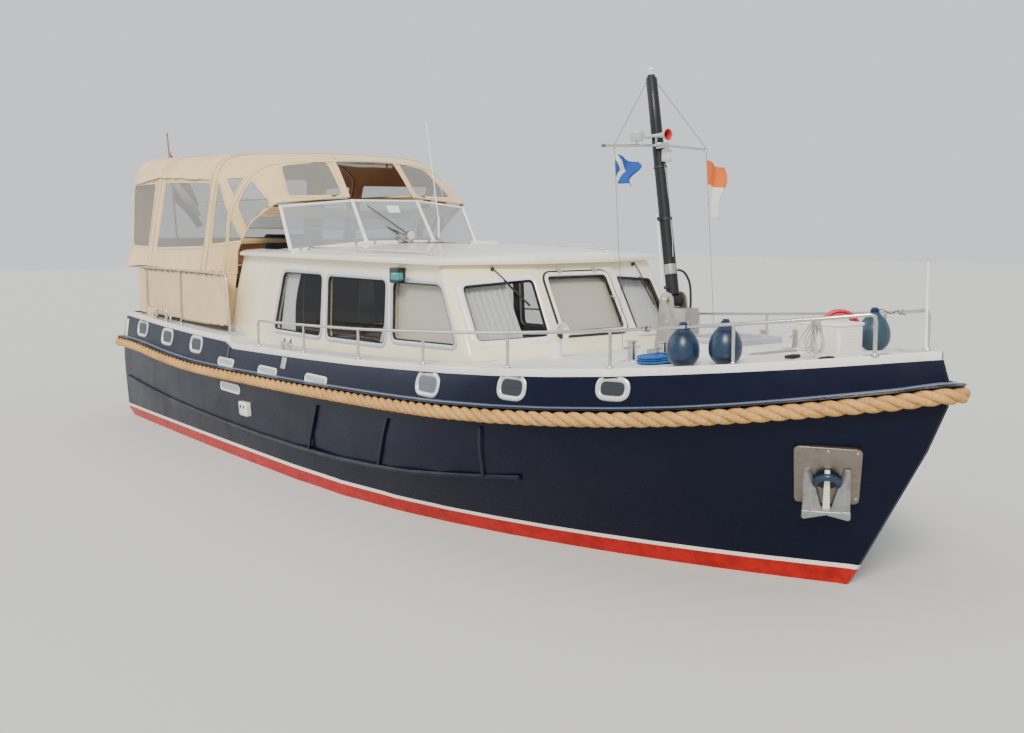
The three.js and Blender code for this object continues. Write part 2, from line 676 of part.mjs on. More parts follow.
function addWindscreen() {
  const foot = SCREEN.foot.map(([x, y]) => [x, y, roofZ(x, y) + SCREEN.footRise]);
  const round = ([outer, inner]) => [outer, inner].map(([x, y, z]) => [x, -y, z]).concat([inner, outer]);
  const feet = round(foot);
  const heads = round(SCREEN.head);
  const frame = (grow) => joined(
    rod(feet, SCREEN.sill + grow, 6), rod(heads, SCREEN.top + grow, 6),
    ...feet.map((p, i) => rod([p, heads[i]], SCREEN.post + grow, 6)),
  );
  add('windscreen_frame', cut(frame(0), underRoof()), 'white');
  const rebate = frame(GAP);
  ['starboard', 'centre', 'port'].forEach((place, i) => {
    const quad = [feet[i], feet[i + 1], heads[i + 1], heads[i]].map((p) => new THREE.Vector3(...p));
    const middle = quad.reduce((sum, p) => sum.add(p), new THREE.Vector3()).multiplyScalar(0.25);
    const inward = (p) => middle.clone().sub(p).normalize().multiplyScalar(SCREEN.rebate);
    const points = quad.map((p) => p.clone().add(inward(p)));
    const normal = new THREE.Vector3().subVectors(points[1], points[0])
      .cross(new THREE.Vector3().subVectors(points[3], points[0])).normalize();
    const ring = (w) => points.map((p) => p.clone().addScaledVector(normal, w)).map((v) => [v.x, v.y, v.z]);
    const pane = loft([ring(-SCREEN.pane), ring(SCREEN.pane)], 'fan');
    add(`windscreen_pane_${place}`, cut(pane, rebate, underRoof()), 'clear');
  });
}

// Rope fender: a closed loop in the rubbing groove all round the hull.
function ropePath() {
  const above = lineOf('aboveRope');
  const below = lineOf('belowRope');
  const side = STATIONS.map((_, i) => {
    const j = Math.min(i + 1, STATIONS.length - 1);
    const k = Math.max(0, i - 1);
    const mid = (n) => above[n].map((v, axis) => (v + below[n][axis]) / 2);
    const [p, a, b] = [mid(i), mid(k), mid(j)];
    const d = [b[0] - a[0], b[1] - a[1]];
    const l = Math.hypot(...d);
    const stand = ROPE.radius * ROPE.flat + ROPE.stand;
    return [p[0] + (d[1] / l) * stand, p[1] - (d[0] / l) * stand, p[2]];
  });
  const kept = side.slice(1, -1);
  const [cornerX, cornerY, z] = [below[0][0], above[0][1], side[0][2]];
  const round = [0, 30, 60, 90].map((deg) => {
    const a = (deg * Math.PI) / 180;
    const r = ROPE.radius + ROPE.stand + ROPE.corner;
    return [cornerX - r * Math.sin(a), cornerY - r * Math.cos(a), z];
  });
  const starboard = [[round[3][0], 0, z], ...round.reverse(), ...kept];
  const port = starboard.slice(1).reverse().map(([x, y, z]) => [x, -y, z]);
  return [...starboard, ROPE.tip, ...port];
}

function addRope() {
  const shifts = [[GAP, 0], [-GAP, 0], [0, GAP], [0, -GAP]];
  const skins = shifts.map(([x, y]) => closed(hullShell().translate(x, y, 0)));
  add('rope_fender', cut(rod(ropePath(), ROPE.radius, 12, true), ...skins), 'rope');
}

// Half-round rubbing strake low on each side, with upright ribs to the rope.
const RIBS = [
  { foot: [-870, 400], head: [-630, 880] },
  { foot: [490, 440], head: [730, 930] },
  { foot: [1905, 580], head: [2086, 1030] },
];

function strake(sign) {
  const xs = [-6450, -5600, -4700, -3800, -2900, -2000, -1100, -300, 400, 1000, 1600, 2280];
  const rings = xs.map((x) => {
    const z = strakeZ(x);
    const y = -skinHalf(x, z);
    const section = [[30, 32], [-26, 18], [-34, 0], [-26, -18], [30, -32]];
    return section.map(([out, up]) => [x, y + out, z + up]);
  });
  const ribs = RIBS.map(({ foot, head }) => {
    const rows = [0, 0.25, 0.5, 0.75, 1].map((s) => {
      const x = foot[0] + (head[0] - foot[0]) * s;
      const z = foot[1] + (head[1] - foot[1]) * s;
      const y = -skinHalf(x, z);
      return [[x - 22, y + 30, z], [x + 22, y + 30, z], [x + 16, y - 22, z], [x - 16, y - 22, z]];
    });
    return loft(rows, 'fan');
  });
  const bar = joined(loft(rings, 'fan'), ...ribs);
  return cut(sign < 0 ? bar : mirrorY(bar), closed(hullShell().translate(0, sign * GAP, 0)));
}

// Rails

const RAIL_POSTS = {
  starboard: [4816, 4048, 3232, 2301, 1155, 14, -1114, -2207],
  port: [4816, 4030, 3200, 2200, 1250, 14, -1114, -2207],
};

function railY(x) {
  return capHalf(x) - RAIL.inset;
}

function sideRail(side) {
  const sign = side === 'port' ? 1 : -1;
  const posts = RAIL_POSTS[side];
  const { tube, rise, bend, root, bowY } = RAIL;
  const [bow, aft] = [posts[0], posts[posts.length - 1]];
  const at = (x, up) => [x, sign * (x === bow ? bowY : railY(x)), capZ(x) + up];
  const steps = 16;
  const top = Array.from({ length: steps + 1 }, (_, k) => at(bow + ((aft - bow) * k) / steps, rise));
  top[0] = [bow - bend, sign * (bowY + 20), capZ(bow) + rise];
  top[steps] = [aft + bend, sign * railY(aft), capZ(aft) + rise];
  const path = [at(bow, -root), at(bow, rise - bend), ...top, at(aft, rise - bend), at(aft, -root)];
  const pieces = [rod(path, tube, 6)];
  for (const x of posts.slice(1, -1)) pieces.push(rod([at(x, -root), at(x, rise - 2)], tube - 1, 6));
  if (side === 'port') pieces.push(rod([[bow, 284, 1735], [bow - 8, 280, 2425]], [12, 9], 8)); // jackstaff
  return cut(joined(...pieces), underDeck());
}

// Aft rail round the stern, over the weather cloth.
const STERN = {
  railZ: 2075, side: 1500, fore: -3350, foot: -3180, aft: -6330, posts: [-4800, -6020], aftPosts: 700,
};
const CLOTH = { thick: 12, low: 1490, under: 11 }; // the cloth laced under the aft rail

function sternPath(y, fore, aft, z, corner = 260) {
  return [
    [fore, -y, z], [aft + corner, -y, z], [aft + corner * 0.3, -y + corner * 0.3, z], [aft, -y + corner, z],
    [aft, y - corner, z], [aft + corner * 0.3, y - corner * 0.3, z], [aft + corner, y, z], [fore, y, z],
  ];
}

function addSternRail() {
  const y = STERN.side;
  const footZ = (x) => deckZ(x, y) - 20;
  const path = [
    [STERN.foot, -y - 40, footZ(STERN.foot)], ...sternPath(y, STERN.fore, STERN.aft, STERN.railZ),
    [STERN.foot, y + 40, footZ(STERN.foot)],
  ];
  const pieces = [rod(path, RAIL.tube, 6)];
  const half = [...STERN.posts.map((x) => [x, y]), [STERN.aft, STERN.aftPosts]];
  const spots = [-1, 1].flatMap((sign) => half.map(([x, v]) => [x, sign * v]));
  for (const [x, v] of spots) {
    pieces.push(rod([[x, v, deckZ(x, v) - 20], [x, v, STERN.railZ]], RAIL.tube - 2, 6));
  }
  add('aft_rail', cut(joined(...pieces), underDeck()), 'steel');
}

function addWeatherCloth() {
  const y = STERN.side - RAIL.tube - 8.7;
  const rows = sternPath(y, STERN.fore - 60, STERN.aft + 32, 0, 240).map(([x, v]) => [x, v]);
  const n = rows.length;
  const ring = rows.map(([x, v], i) => {
    const a = rows[Math.max(0, i - 1)];
    const b = rows[Math.min(n - 1, i + 1)];
    const l = Math.hypot(b[0] - a[0], b[1] - a[1]);
    const normal = [-(b[1] - a[1]) / l, (b[0] - a[0]) / l];
    const { thick, low } = CLOTH;
    const high = STERN.railZ - CLOTH.under;
    const p = (w, z) => [x + normal[0] * w, v + normal[1] * w, z];
    return [p(0, low), p(0, high), p(thick, high), p(thick, low)];
  });
  add('weather_cloth', loft(ring, 'fan'), 'canvas');
}

// Canopy: canvas over hoops, open in front at the middle. Rows run from the lower edge up to the
// crown on the starboard side; the columns are the front edge, front hoop, main hoop, corner posts
// and aft edge. Each entry is [x, y, z].
const CANOPY = [
  [[-3490, -1300, 2070], [-3640, -1420, 2070], [-4050, -1487, 2068],
    [-5990, -1478, 2102], [-6660, -1450, 2105]],
  [[-3340, -1345, 2360], [-3500, -1410, 2400], [-3900, -1490, 2400],
    [-5880, -1470, 2400], [-6620, -1450, 2380]],
  [[-2930, -1345, 2680], [-3350, -1440, 2700], [-3770, -1500, 2700],
    [-5760, -1460, 2700], [-6570, -1455, 2700]],
  [[-2440, -1262, 2895], [-3200, -1450, 2880], [-3660, -1505, 2950],
    [-5650, -1450, 2950], [-6520, -1457, 2950]],
  [[-2440, -1262, 2895], [-3080, -1400, 3050], [-3550, -1511, 3166],
    [-5520, -1437, 3250], [-6450, -1457, 3168]],
  [[-2440, -1262, 2895], [-3040, -1330, 3170], [-3550, -1486, 3251],
    [-5520, -1400, 3330], [-6450, -1418, 3317]],
  [[-2440, -1262, 2895], [-3030, -1260, 3240], [-3550, -1376, 3401],
    [-5520, -1294, 3431], [-6430, -1319, 3467]],
  [[-2440, -1262, 2895], [-3015, -1060, 3346], [-3500, -1180, 3468],
    [-5500, -1090, 3525], [-6420, -1090, 3542]],
  [[-2283, -433, 2962], [-2705, -397, 3388], [-3400, -450, 3502],
    [-5500, -450, 3565], [-6400, -450, 3575]],
  [[-2258, 0, 2967], [-2660, 0, 3396], [-3380, 0, 3506], [-5500, 0, 3570], [-6400, 0, 3580]],
];

const CANOPY_THICK = 12;

function addCanopy() {
  const port = CANOPY.slice(0, -1).reverse().map((row) => row.map(([x, y, z]) => [x, -y, z]));
  const rows = [...CANOPY, ...port];
  const columns = CANOPY[0].length;
  const vertices = rows.flat();
  const id = (r, c) => r * columns + c;
  const triangles = [];
  const crown = CANOPY.length - 1;
  for (let r = 0; r < rows.length - 1; r += 1) {
    for (let c = 0; c < columns - 1; c += 1) {
      const open = c === 0 && (r === crown - 1 || r === crown);
      const quad = [id(r, c), id(r + 1, c), id(r + 1, c + 1), id(r, c + 1)];
      if (!open) triangles.push([quad[0], quad[1], quad[2]], [quad[0], quad[2], quad[3]]);
    }
  }
  const last = columns - 1;
  for (let r = 0; r < crown; r += 1) {
    const across = rows.length - 1 - r;
    const quad = [id(r, last), id(r + 1, last), id(across - 1, last), id(across, last)];
    triangles.push([quad[0], quad[1], quad[2]], [quad[0], quad[2], quad[3]]);
  }
  add('canopy', thicken(vertices, triangles, CANOPY_THICK), 'canvas');
}

// Mast in its tabernacle

function onMast(z, ahead = 0) {
  const k = Math.tan((MAST.rake * Math.PI) / 180);
  return [MAST.pivot[0] - (z - MAST.pivot[2]) * k + ahead, 0, z];
}

function spar(grow) {
  return rod([MAST.pivot, onMast(MAST.top)], [MAST.radius + grow, MAST.radius * MAST.taper + grow], 14);
}

const LAMP = { radius: 34, height: 80 };
const LANTERN = { radius: 42, low: 3175, high: 3280, armZ: 3190, arm: 25 };
const CROSSTREE = { z: 3300, tube: 11, starboardY: -683, portY: 512, domeY: -312, hornY: -92 };

function addMast() {
  const [px, , pz] = MAST.pivot;
  const bore = rod([[px, -200, pz], [px, 200, pz]], MAST.pin + RUN, ROUND);
  const heel = rod([[px, -50, pz], [px, 50, pz]], MAST.radius, ROUND);
  const lamp = rod([onMast(MAST.top - 5), onMast(MAST.top + LAMP.height)], LAMP.radius, 12);
  const ahead = MAST.radius + 38;
  const lantern = rod([onMast(LANTERN.low, ahead), onMast(LANTERN.high, ahead)], LANTERN.radius, 12);
  const [armX] = onMast(3225);
  const arm = box(armX, armX + MAST.radius + 30, -22, 22, LANTERN.armZ, LANTERN.armZ + LANTERN.arm);
  add('mast', cut(joined(spar(0), heel, lamp, lantern, arm), bore), 'mast');

  const { z, tube, starboardY, portY, domeY, hornY } = CROSSTREE;
  const [x] = onMast(z);
  const front = x + MAST.radius + 16;
  const bar = rod([[front, starboardY, z - 14], [front, 0, z + 12], [front, portY, z - 8]], tube, 8);
  const clamp = box(x - 10, front + 12, -46, 46, z - 14, z + 38);
  const domeFoot = rod([[front, domeY, z - 5], [front, domeY, z + 40]], 10, 8);
  const dome = rod([35, 90, 128].map((up) => [front, domeY, z + up]), [52, 62, 56], 12);
  const bell = [-70, 120, 185, 215].map((dx) => [x + dx, hornY, z + 90]);
  const horn = rod(bell, [11, 17, 32, 50], 12);
  const hornFoot = rod([[front, hornY, z + 8], [front, hornY, z + 90]], 9, 8);
  const gear = joined(bar, clamp, domeFoot, dome, horn, hornFoot);
  add('crosstree', cut(gear, spar(GAP)), 'steel');
}

function addTabernacle() {
  const [px, , pz] = MAST.pivot;
  const baseZ = deckZ(px + 5, 0) + 22;
  const outline = [
    [2405, baseZ - 6], [2700, baseZ - 6], [2665, baseZ + 180], [2625, pz + 25], [2595, pz + 61],
    [px, pz + 73], [2505, pz + 61], [2475, pz + 25], [2440, baseZ + 180],
  ];
  const side = (y0, y1) => plate(outline, y0, y1, alongY);
  const base = box(2385, 2790, -150, 150, baseZ - 60, baseZ);
  const step = box(2480, 2772, -80, 80, baseZ - 10, pz - MAST.radius - 7);
  const pin = rod([[px, -105, pz], [px, 105, pz]], MAST.pin, ROUND);
  add('mast_tabernacle', cut(joined(base, side(-86, -72), side(72, 86), step, pin), underDeck()), 'steel');
}

// Stern gear

function addRudder() {
  const { x, foot } = RUDDER;
  const corners = [[x - 380, -330], [x + 170, -345], [x + 170, foot], [x - 380, foot]];
  const outline = roundedOutline(corners, 60, 3);
  const blade = plate(outline, -22, 22, alongY);
  const stock = rod([[x, 0, -400], [x, 0, 40]], STOCK, ROUND);
  add('rudder', joined(blade, stock), 'antifouling');
}

function addPropeller() {
  const hub = rod(
    [-5560, -5540, -5430, -5424, -4950].map((x) => [x, 0, SCREW.z]), [SHAFT, 48, 52, SHAFT, SHAFT], ROUND,
  );
  const steps = 5;
  const root = 30;
  const blades = [0, 1, 2, 3].map((k) => {
    const turn = (k * Math.PI) / 2;
    const rings = Array.from({ length: steps + 1 }, (_, i) => {
      const s = i / steps;
      const r = root + (SCREW.radius - root) * s;
      const chord = 55 + 95 * Math.sin(Math.PI * Math.min(0.95, 0.2 + 0.75 * s));
      const pitch = (62 - 30 * s) * (Math.PI / 180);
      const t = 7 - 4 * s;
      return [[-chord, -t], [chord, -t], [chord, t], [-chord, t]].map(([width, w]) => {
        const u = width / 2;
        const along = u * Math.cos(pitch) + w * Math.sin(pitch);
        const across = u * Math.sin(pitch) + w * Math.cos(pitch);
        const y = r * Math.cos(turn) - across * Math.sin(turn);
        return [SCREW.x + along * 0.6, y, SCREW.z + r * Math.sin(turn) + across * Math.cos(turn)];
      });
    });
    return loft(rings, 'fan');
  });
  add('propeller', joined(hub, ...blades), 'bronze');
}

// Cockpit

const HELM = { y: -510, wheelX: -2982, wheelZ: 2010, wheel: 225, rim: 15, seatX: -3620, seatHalf: 280 };

function addHelm() {
  const { y, wheelX, wheelZ, wheel, rim, seatX, seatHalf } = HELM;
  const x1 = CABIN.bulkheadX - CABIN.bulkhead / 2 - GAP;
  const outline = [[x1, 1300], [x1, 2285], [-2740, 2285], [-2900, 2180], [-2900, 1300]];
  add('helm_console', cut(plate(outline, y - 450, y + 450, alongY), underDeck()), 'wood');
  const hoop = new THREE.TorusGeometry(wheel, rim, 8, 28).rotateY(Math.PI / 2);
  const parts = [closed(hoop), rod([[-22, 0, 0], [82 - RUN, 0, 0]], 30, 10)];
  for (let k = 0; k < 4; k += 1) {
    const a = (k * Math.PI) / 2 + Math.PI / 4;
    const reach = wheel - 3;
    parts.push(rod([[0, 0, 0], [0, reach * Math.cos(a), reach * Math.sin(a)]], 11, 6));
  }
  add('steering_wheel', closed(joined(...parts).translate(wheelX, y, wheelZ)), 'black');
  const base = rod([[seatX, y, deckZ(seatX, y) + GAP - 20], [seatX, y, 1810]], 60, 12);
  const pad = box(seatX - 230, seatX + 230, y - seatHalf, y + seatHalf, 1800, 1930);
  const back = box(seatX - 260, seatX - 140, y - seatHalf, y + seatHalf, 1880, 2560);
  add('helm_seat', cut(joined(base, pad, back), underDeck()), 'seat');
  const bench = cut(box(-6200, -5620, -1150, 1150, 1300, deckZ(-5900, 0) + 430), underDeck());
  add('stern_bench', bench, 'seat');
}

function addSalon() {
  const z = SALON.sole + GAP;
  const seat = box(-1700, 700, 620, 1170, z, z + 430);
  const back = box(-1700, 700, 1050, 1170, z + 400, z + 900);
  add('salon_settee_port', joined(seat, back), 'wood');
  add('galley_counter', box(-2300, 900, -1170, -640, z, z + 900), 'wood');
  const foot = rod([[-500, 300, z], [-500, 300, z + 700]], 55, 10);
  const top = box(-950, -50, 60, 560, z + 690, z + 725);
  add('salon_table', joined(foot, top), 'wood');
}

// Deck gear

const HATCH = { x0: 2960, x1: 3500, half: 290, rise: 95, wall: 45, lip: 10, lid: 42, seat: 0.6 };

function addHatch() {
  const { x0, x1, half, wall, lip } = HATCH;
  const top = deckZ((x0 + x1) / 2, 0) + HATCH.rise;
  const frame = cut(
    box(x0, x1, -half, half, top - 300, top),
    box(x0 + wall, x1 - wall, -half + wall, half - wall, top - 300, top + 10), underDeck(),
  );
  add('foredeck_hatch_frame', frame, 'white');
  const outline = roundedOutline([
    [x0 - lip, -half - lip], [x1 + lip, -half - lip], [x1 + lip, half + lip], [x0 - lip, half + lip],
  ], 60, 3);
  const z0 = top + HATCH.seat;
  add('foredeck_hatch_lid', plate(outline, z0, z0 + HATCH.lid, alongZ), 'white');
}

// The slice of a solid between two heights over the deck
function overDeck(solid, low, high) {
  const raised = (rise) => closed(underDeck().clone().translate(0, 0, rise - GAP));
  return cut(common(solid, raised(high)), raised(low));
}

// Pair of bollards with cross pins on one base plate
const BOLLARD = {
  near: 2880, far: 3240, y: 770, radius: 38, height: 165, plate: 8, pin: 11, pinZ: 110, pinHalf: 85,
};

function bollards(sign) {
  const y = sign * BOLLARD.y;
  const { near, far, radius, height, plate: base, pin, pinZ, pinHalf } = BOLLARD;
  const at = (x) => {
    const z = deckZ(x, y) + base;
    return [
      rod([[x, y, z - 4], [x, y, z + height], [x, y, z + height + 13]], [radius, radius, radius - 8], 10),
      rod([[x, y - pinHalf, z + pinZ], [x, y + pinHalf, z + pinZ]], pin, 6),
    ];
  };
  const foot = overDeck(box(near - 80, far + 80, y - 60, y + 60, 1500, 1800), GAP, base);
  return cut(joined(foot, ...at(near), ...at(far)), underDeck());
}

// Lines that lie coiled on the foredeck, and the hose coil that leans on the port fender
const MOORING_COIL = { x: 3240, y: -770, inner: 92, outer: 214, layers: 3, rope: 18 };
const LINE_HANK = { fore: 4500, aft: 4240, y: -452, thick: 50, foot: 1640, top: 1985 };
const HOSE_COIL = { x: 3950, y: 425, heading: 52, inner: 96, outer: 160, thick: 84 };

function ring(inner, outer, low, high, sides = 24) {
  return turned([[inner, low], [outer, low], [outer, high], [inner, high], [inner, low]], sides);
}

function addLines() {
  const { x, y, inner, outer, layers, rope } = MOORING_COIL;
  const coil = ring(inner, outer, 1500, 1800).translate(x, y, 0);
  const low = BOLLARD.plate + GAP;
  add('mooring_line', overDeck(coil, low, low + layers * rope), 'ropeBlue');

  const { fore, aft, y: hankY, thick, foot, top } = LINE_HANK;
  const outline = roundedOutline([[aft, foot], [fore, foot], [fore - 20, top], [fore - 100, top]], 28);
  const hank = plate(outline, hankY - thick / 2, hankY + thick / 2, alongY);
  add('bow_line', cut(hank, underDeck()), 'ropeWhite');

  const hose = ring(HOSE_COIL.inner, HOSE_COIL.outer, -HOSE_COIL.thick / 2, HOSE_COIL.thick / 2);
  hose.rotateX(Math.PI / 2);
  hose.rotateZ(THREE.MathUtils.degToRad(HOSE_COIL.heading));
  hose.translate(HOSE_COIL.x, HOSE_COIL.y, deckZ(HOSE_COIL.x, HOSE_COIL.y) + HOSE_COIL.outer);
  add('hose_coil', cut(closed(hose), underDeck()), 'hoseRed');
}

const FENDER = {
  fender_starboard_aft: [3640, -960], fender_starboard_fore: [3905, -800], fender_port: [4235, 470],
};
// Pairs of radius and height up a fender, its lashing eye on top.
const FENDER_PROFILE = [
  [0, 0], [60, 10], [105, 55], [122, 130], [118, 200], [90, 262], [45, 292], [24, 300], [24, 330], [0, 330],
];
const LOCKER = { x0: 3985, x1: 4373, y0: -118, y1: 152, height: 215 };
const COWL = { x: 1900, y: -750 };
// Rows of x from the cowl's foot, height over the deck and radius.
const COWL_BEND = [[0, 3, 50], [0, 150, 50], [12, 195, 58], [50, 225, 70], [85, 235, 76]];

function addDeckGear() {
  add('bollards_starboard', bollards(-1), 'steel');
  add('bollards_port', bollards(1), 'steel');
  const { x0, x1, y0, y1, height } = LOCKER;
  const floor = Math.max(deckZ(x0 + 5, y0), deckZ(x1 + 7, y1 - 2), deckZ(x1 + 7, 0)) + GAP;
  add('foredeck_locker', cut(box(x0, x1, y0, y1, 1500, floor + height), underDeck()), 'white');
  const cowlZ = deckZ(COWL.x, COWL.y) + GAP;
  const bend = COWL_BEND.map(([dx, dz]) => [COWL.x + dx, COWL.y, cowlZ + dz]);
  add('vent_cowl', rod(bend, COWL_BEND.map((row) => row[2]), 12), 'white');
  for (const [name, [x, y]] of Object.entries(FENDER)) {
    const body = turned(FENDER_PROFILE, 14).translate(x, y, deckZ(x, y) - 6);
    add(name, cut(closed(body), underDeck()), 'fender');
  }
}

// Roof gear

const GRAB = { y: 1080, z: 2392, tube: 10, foot: 12, posts: [-2050, -800, 460] };
const ANTENNA = { x: -1777, y: 450, z: 2400 };
const SEARCHLIGHT = { x: -1700, rise: 95 };

function roofRail(sign) {
  const { z, tube, posts } = GRAB;
  const y = sign * GRAB.y;
  const foot = (x) => [x, y, roofZ(x, y) - GRAB.foot];
  const run = [-1500, -900, -200, 300].map((x) => [x, y, z + 4]);
  const path = [foot(posts[0]), [posts[0] + 10, y, z], ...run, [posts[2] - 20, y, z - 4], foot(posts[2])];
  return cut(joined(rod(path, tube, 6), rod([foot(posts[1]), [posts[1], y, z]], tube - 1, 6)), underRoof());
}

function addRoofGear() {
  add('roof_rail_starboard', roofRail(-1), 'steel');
  add('roof_rail_port', roofRail(1), 'steel');
  const { x, rise } = SEARCHLIGHT;
  const lampZ = roofZ(x, 0) + GAP;
  const lamp = joined(
    rod([[x, 0, lampZ - 25], [x, 0, lampZ + 60]], 34, 10),
    rod([[x - 70, 0, lampZ + rise], [x + 60, 0, lampZ + rise]], [50, 62], 12),
  );
  add('searchlight', cut(lamp, underRoof()), 'steel');
  const root = [ANTENNA.x, ANTENNA.y, ANTENNA.z];
  const whip = rod([root, [-1778, 450, 2714], [-2025, 450, 3823]], [14, 8, 4], 8);
  const foot = rod([root, [ANTENNA.x, ANTENNA.y, ANTENNA.z + 70]], 30, 10);
  add('antenna', cut(joined(whip, foot), underRoof()), 'white');
}

// Bow anchor on its plate

const ANCHOR = { x: 4550, z: 905, plate: 30 };

// Places (a, b, w): forward along the skin, up it, and out from it.
function bowFrame() {
  const { x, z } = ANCHOR;
  const spot = (dx, dz) => new THREE.Vector3(x + dx, -skinHalf(x + dx, z + dz), z + dz);
  const origin = spot(0, 0);
  const u = new THREE.Vector3().subVectors(spot(100, 0), spot(-100, 0)).normalize();
  const v0 = new THREE.Vector3().subVectors(spot(0, 100), spot(0, -100)).normalize();
  const n = u.clone().cross(v0).normalize();
  if (n.y > 0) n.negate();
  const v = n.clone().cross(u).normalize();
  if (v.z < 0) v.negate();
  return (a, b, w) => {
    const p = origin.clone().addScaledVector(u, a).addScaledVector(v, b).addScaledVector(n, w);
    return [p.x, p.y, p.z];
  };
}

function addAnchor() {
  const at = bowFrame();
  const face = ANCHOR.plate;
  const outline = roundedOutline([[-230, -225], [215, -225], [225, 225], [-225, 235]], 30, 3);
  const skin = closed(hullShell().translate(0, -GAP, 0));
  add('anchor_plate', cut(plate(outline, -25, face, at), skin), 'steel');
  const shank = plate([[-16, 150], [16, 150], [24, -250], [-24, -250]], face + GAP, 62, at);
  const head = roundedOutline([[-125, -205], [125, -205], [135, -275], [-135, -275]], 18, 2);
  const crown = plate(head, face + GAP, 110, at);
  const fluke = (s) => plate([[s * 70, -260], [s * 140, -260], [s * 190, 40], [s * 165, 60]], 40, 60, at);
  add('bow_anchor', joined(shank, crown, fluke(1), fluke(-1)), 'steel');
}

const STAFF = { y: -760, foot: [-6580, 1180], head: [-7040, 3970] };

function addFlagstaff() {
  const { y, foot, head } = STAFF;
  const pole = rod([[foot[0], y, foot[1]], [head[0], y, head[1]]], [16, 11], 8);
  const socket = box(foot[0] - 32, TRANSOM_X, y - 32, y + 32, foot[1] - 15, foot[1] + 140);
  const transom = closed(hullShell().translate(-GAP, 0, 0));
  add('stern_flagstaff', cut(joined(pole, socket), transom), 'white');
}

addHull();
addDeck();
addCabin();
addRoof();
addDoor();
addWindscreen();
addRope();
add('strake_starboard', strake(-1), 'strake');
add('strake_port', strake(1), 'strake');
add('rail_starboard', sideRail('starboard'), 'steel');
add('rail_port', sideRail('port'), 'steel');
addSternRail();
addWeatherCloth();
addCanopy();
addMast();
addTabernacle();
addRudder();
addPropeller();
addHelm();
addSalon();
addHatch();
addDeckGear();
addLines();
addRoofGear();
addAnchor();
addFlagstaff();

export default group;
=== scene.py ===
"""Looks of a steel motor cruiser with a rope fender, a raised cabin and a canvas canopy.

Metres, +X to the bow, +Y to port, +Z up, origin on the centreline at the waterline.
"""

import logging
import math
from dataclasses import dataclass
from enum import Enum
from typing import Callable, Iterable, Sequence

import bmesh
import bpy
from mathutils import Matrix, Vector
from mathutils.bvhtree import BVHTree


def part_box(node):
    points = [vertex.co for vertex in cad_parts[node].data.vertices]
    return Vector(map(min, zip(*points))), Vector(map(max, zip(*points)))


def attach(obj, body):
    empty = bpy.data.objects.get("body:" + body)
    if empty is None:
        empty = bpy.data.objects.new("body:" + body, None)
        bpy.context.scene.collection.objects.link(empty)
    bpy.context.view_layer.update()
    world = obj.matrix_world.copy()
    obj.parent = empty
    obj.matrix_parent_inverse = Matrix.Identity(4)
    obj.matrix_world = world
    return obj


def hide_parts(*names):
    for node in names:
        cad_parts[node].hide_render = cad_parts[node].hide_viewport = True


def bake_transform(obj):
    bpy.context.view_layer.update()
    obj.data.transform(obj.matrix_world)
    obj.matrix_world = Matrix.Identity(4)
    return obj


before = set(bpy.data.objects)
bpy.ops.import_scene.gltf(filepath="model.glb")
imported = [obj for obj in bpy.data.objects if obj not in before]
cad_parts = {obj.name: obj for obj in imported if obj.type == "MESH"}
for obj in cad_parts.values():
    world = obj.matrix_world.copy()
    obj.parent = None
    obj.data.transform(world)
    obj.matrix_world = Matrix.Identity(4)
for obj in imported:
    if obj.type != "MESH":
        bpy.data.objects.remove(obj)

LOG = logging.getLogger("cruiser")
PHOTO_SIZE = (1024, 733)

Point = Sequence[float]
Socket = bpy.types.NodeSocket
Piece = bpy.types.Object


class Body(str, Enum):
    """The moving bodies that a piece can ride on."""

    BOAT = "boat"
    MAST = "mast"
    RUDDER = "rudder"
    PROPELLER = "propeller"
    WHEEL = "steering_wheel"
    HATCH = "hatch_lid"
    DOOR = "companionway_door"


class Side(Enum):
    """The two sides of the boat, with the sign of Y on each."""

    STARBOARD = -1
    PORT = 1

    @property
    def word(self) -> str:
        """The side's name in lower case."""
        return self.name.lower()


# Numbers and curves


def linear(colour: str, alpha: float = 1.0) -> tuple[float, float, float, float]:
    """Turns an sRGB hex colour into linear values.

    Args:
        colour: Six hex digits after a #.
        alpha: The fourth value.

    Returns:
        Linear red, green and blue with alpha.
    """
    values = [int(colour[i : i + 2], 16) / 255 for i in (1, 3, 5)]
    red, green, blue = (v / 12.92 if v <= 0.04045 else ((v + 0.055) / 1.055) ** 2.4 for v in values)
    return red, green, blue, alpha


def between(a: float, b: float, share: float) -> float:
    """The value that lies a share of the way from a to b."""
    return a + (b - a) * share


def along_table(table: Sequence[tuple[float, float]], x: float) -> float:
    """Reads a smooth curve through control points.

    Args:
        table: Pairs of x and value, with x rising.
        x: Where to read.

    Returns:
        The value at x, from cubic pieces with matched slopes.
    """
    last = len(table) - 1
    i = max(0, min(last - 1, sum(1 for row in table if row[0] <= x) - 1))

    def slope(k: int) -> float:
        a, b = table[max(0, k - 1)], table[min(last, k + 1)]
        return (b[1] - a[1]) / (b[0] - a[0])

    (x0, y0), (x1, y1) = table[i], table[i + 1]
    h = x1 - x0
    t = min(1.0, max(0.0, (x - x0) / h))
    return (
        y0 * (2 * t**3 - 3 * t**2 + 1)
        + slope(i) * h * (t**3 - 2 * t**2 + t)
        + y1 * (3 * t**2 - 2 * t**3)
        + slope(i + 1) * h * (t**3 - t**2)
    )


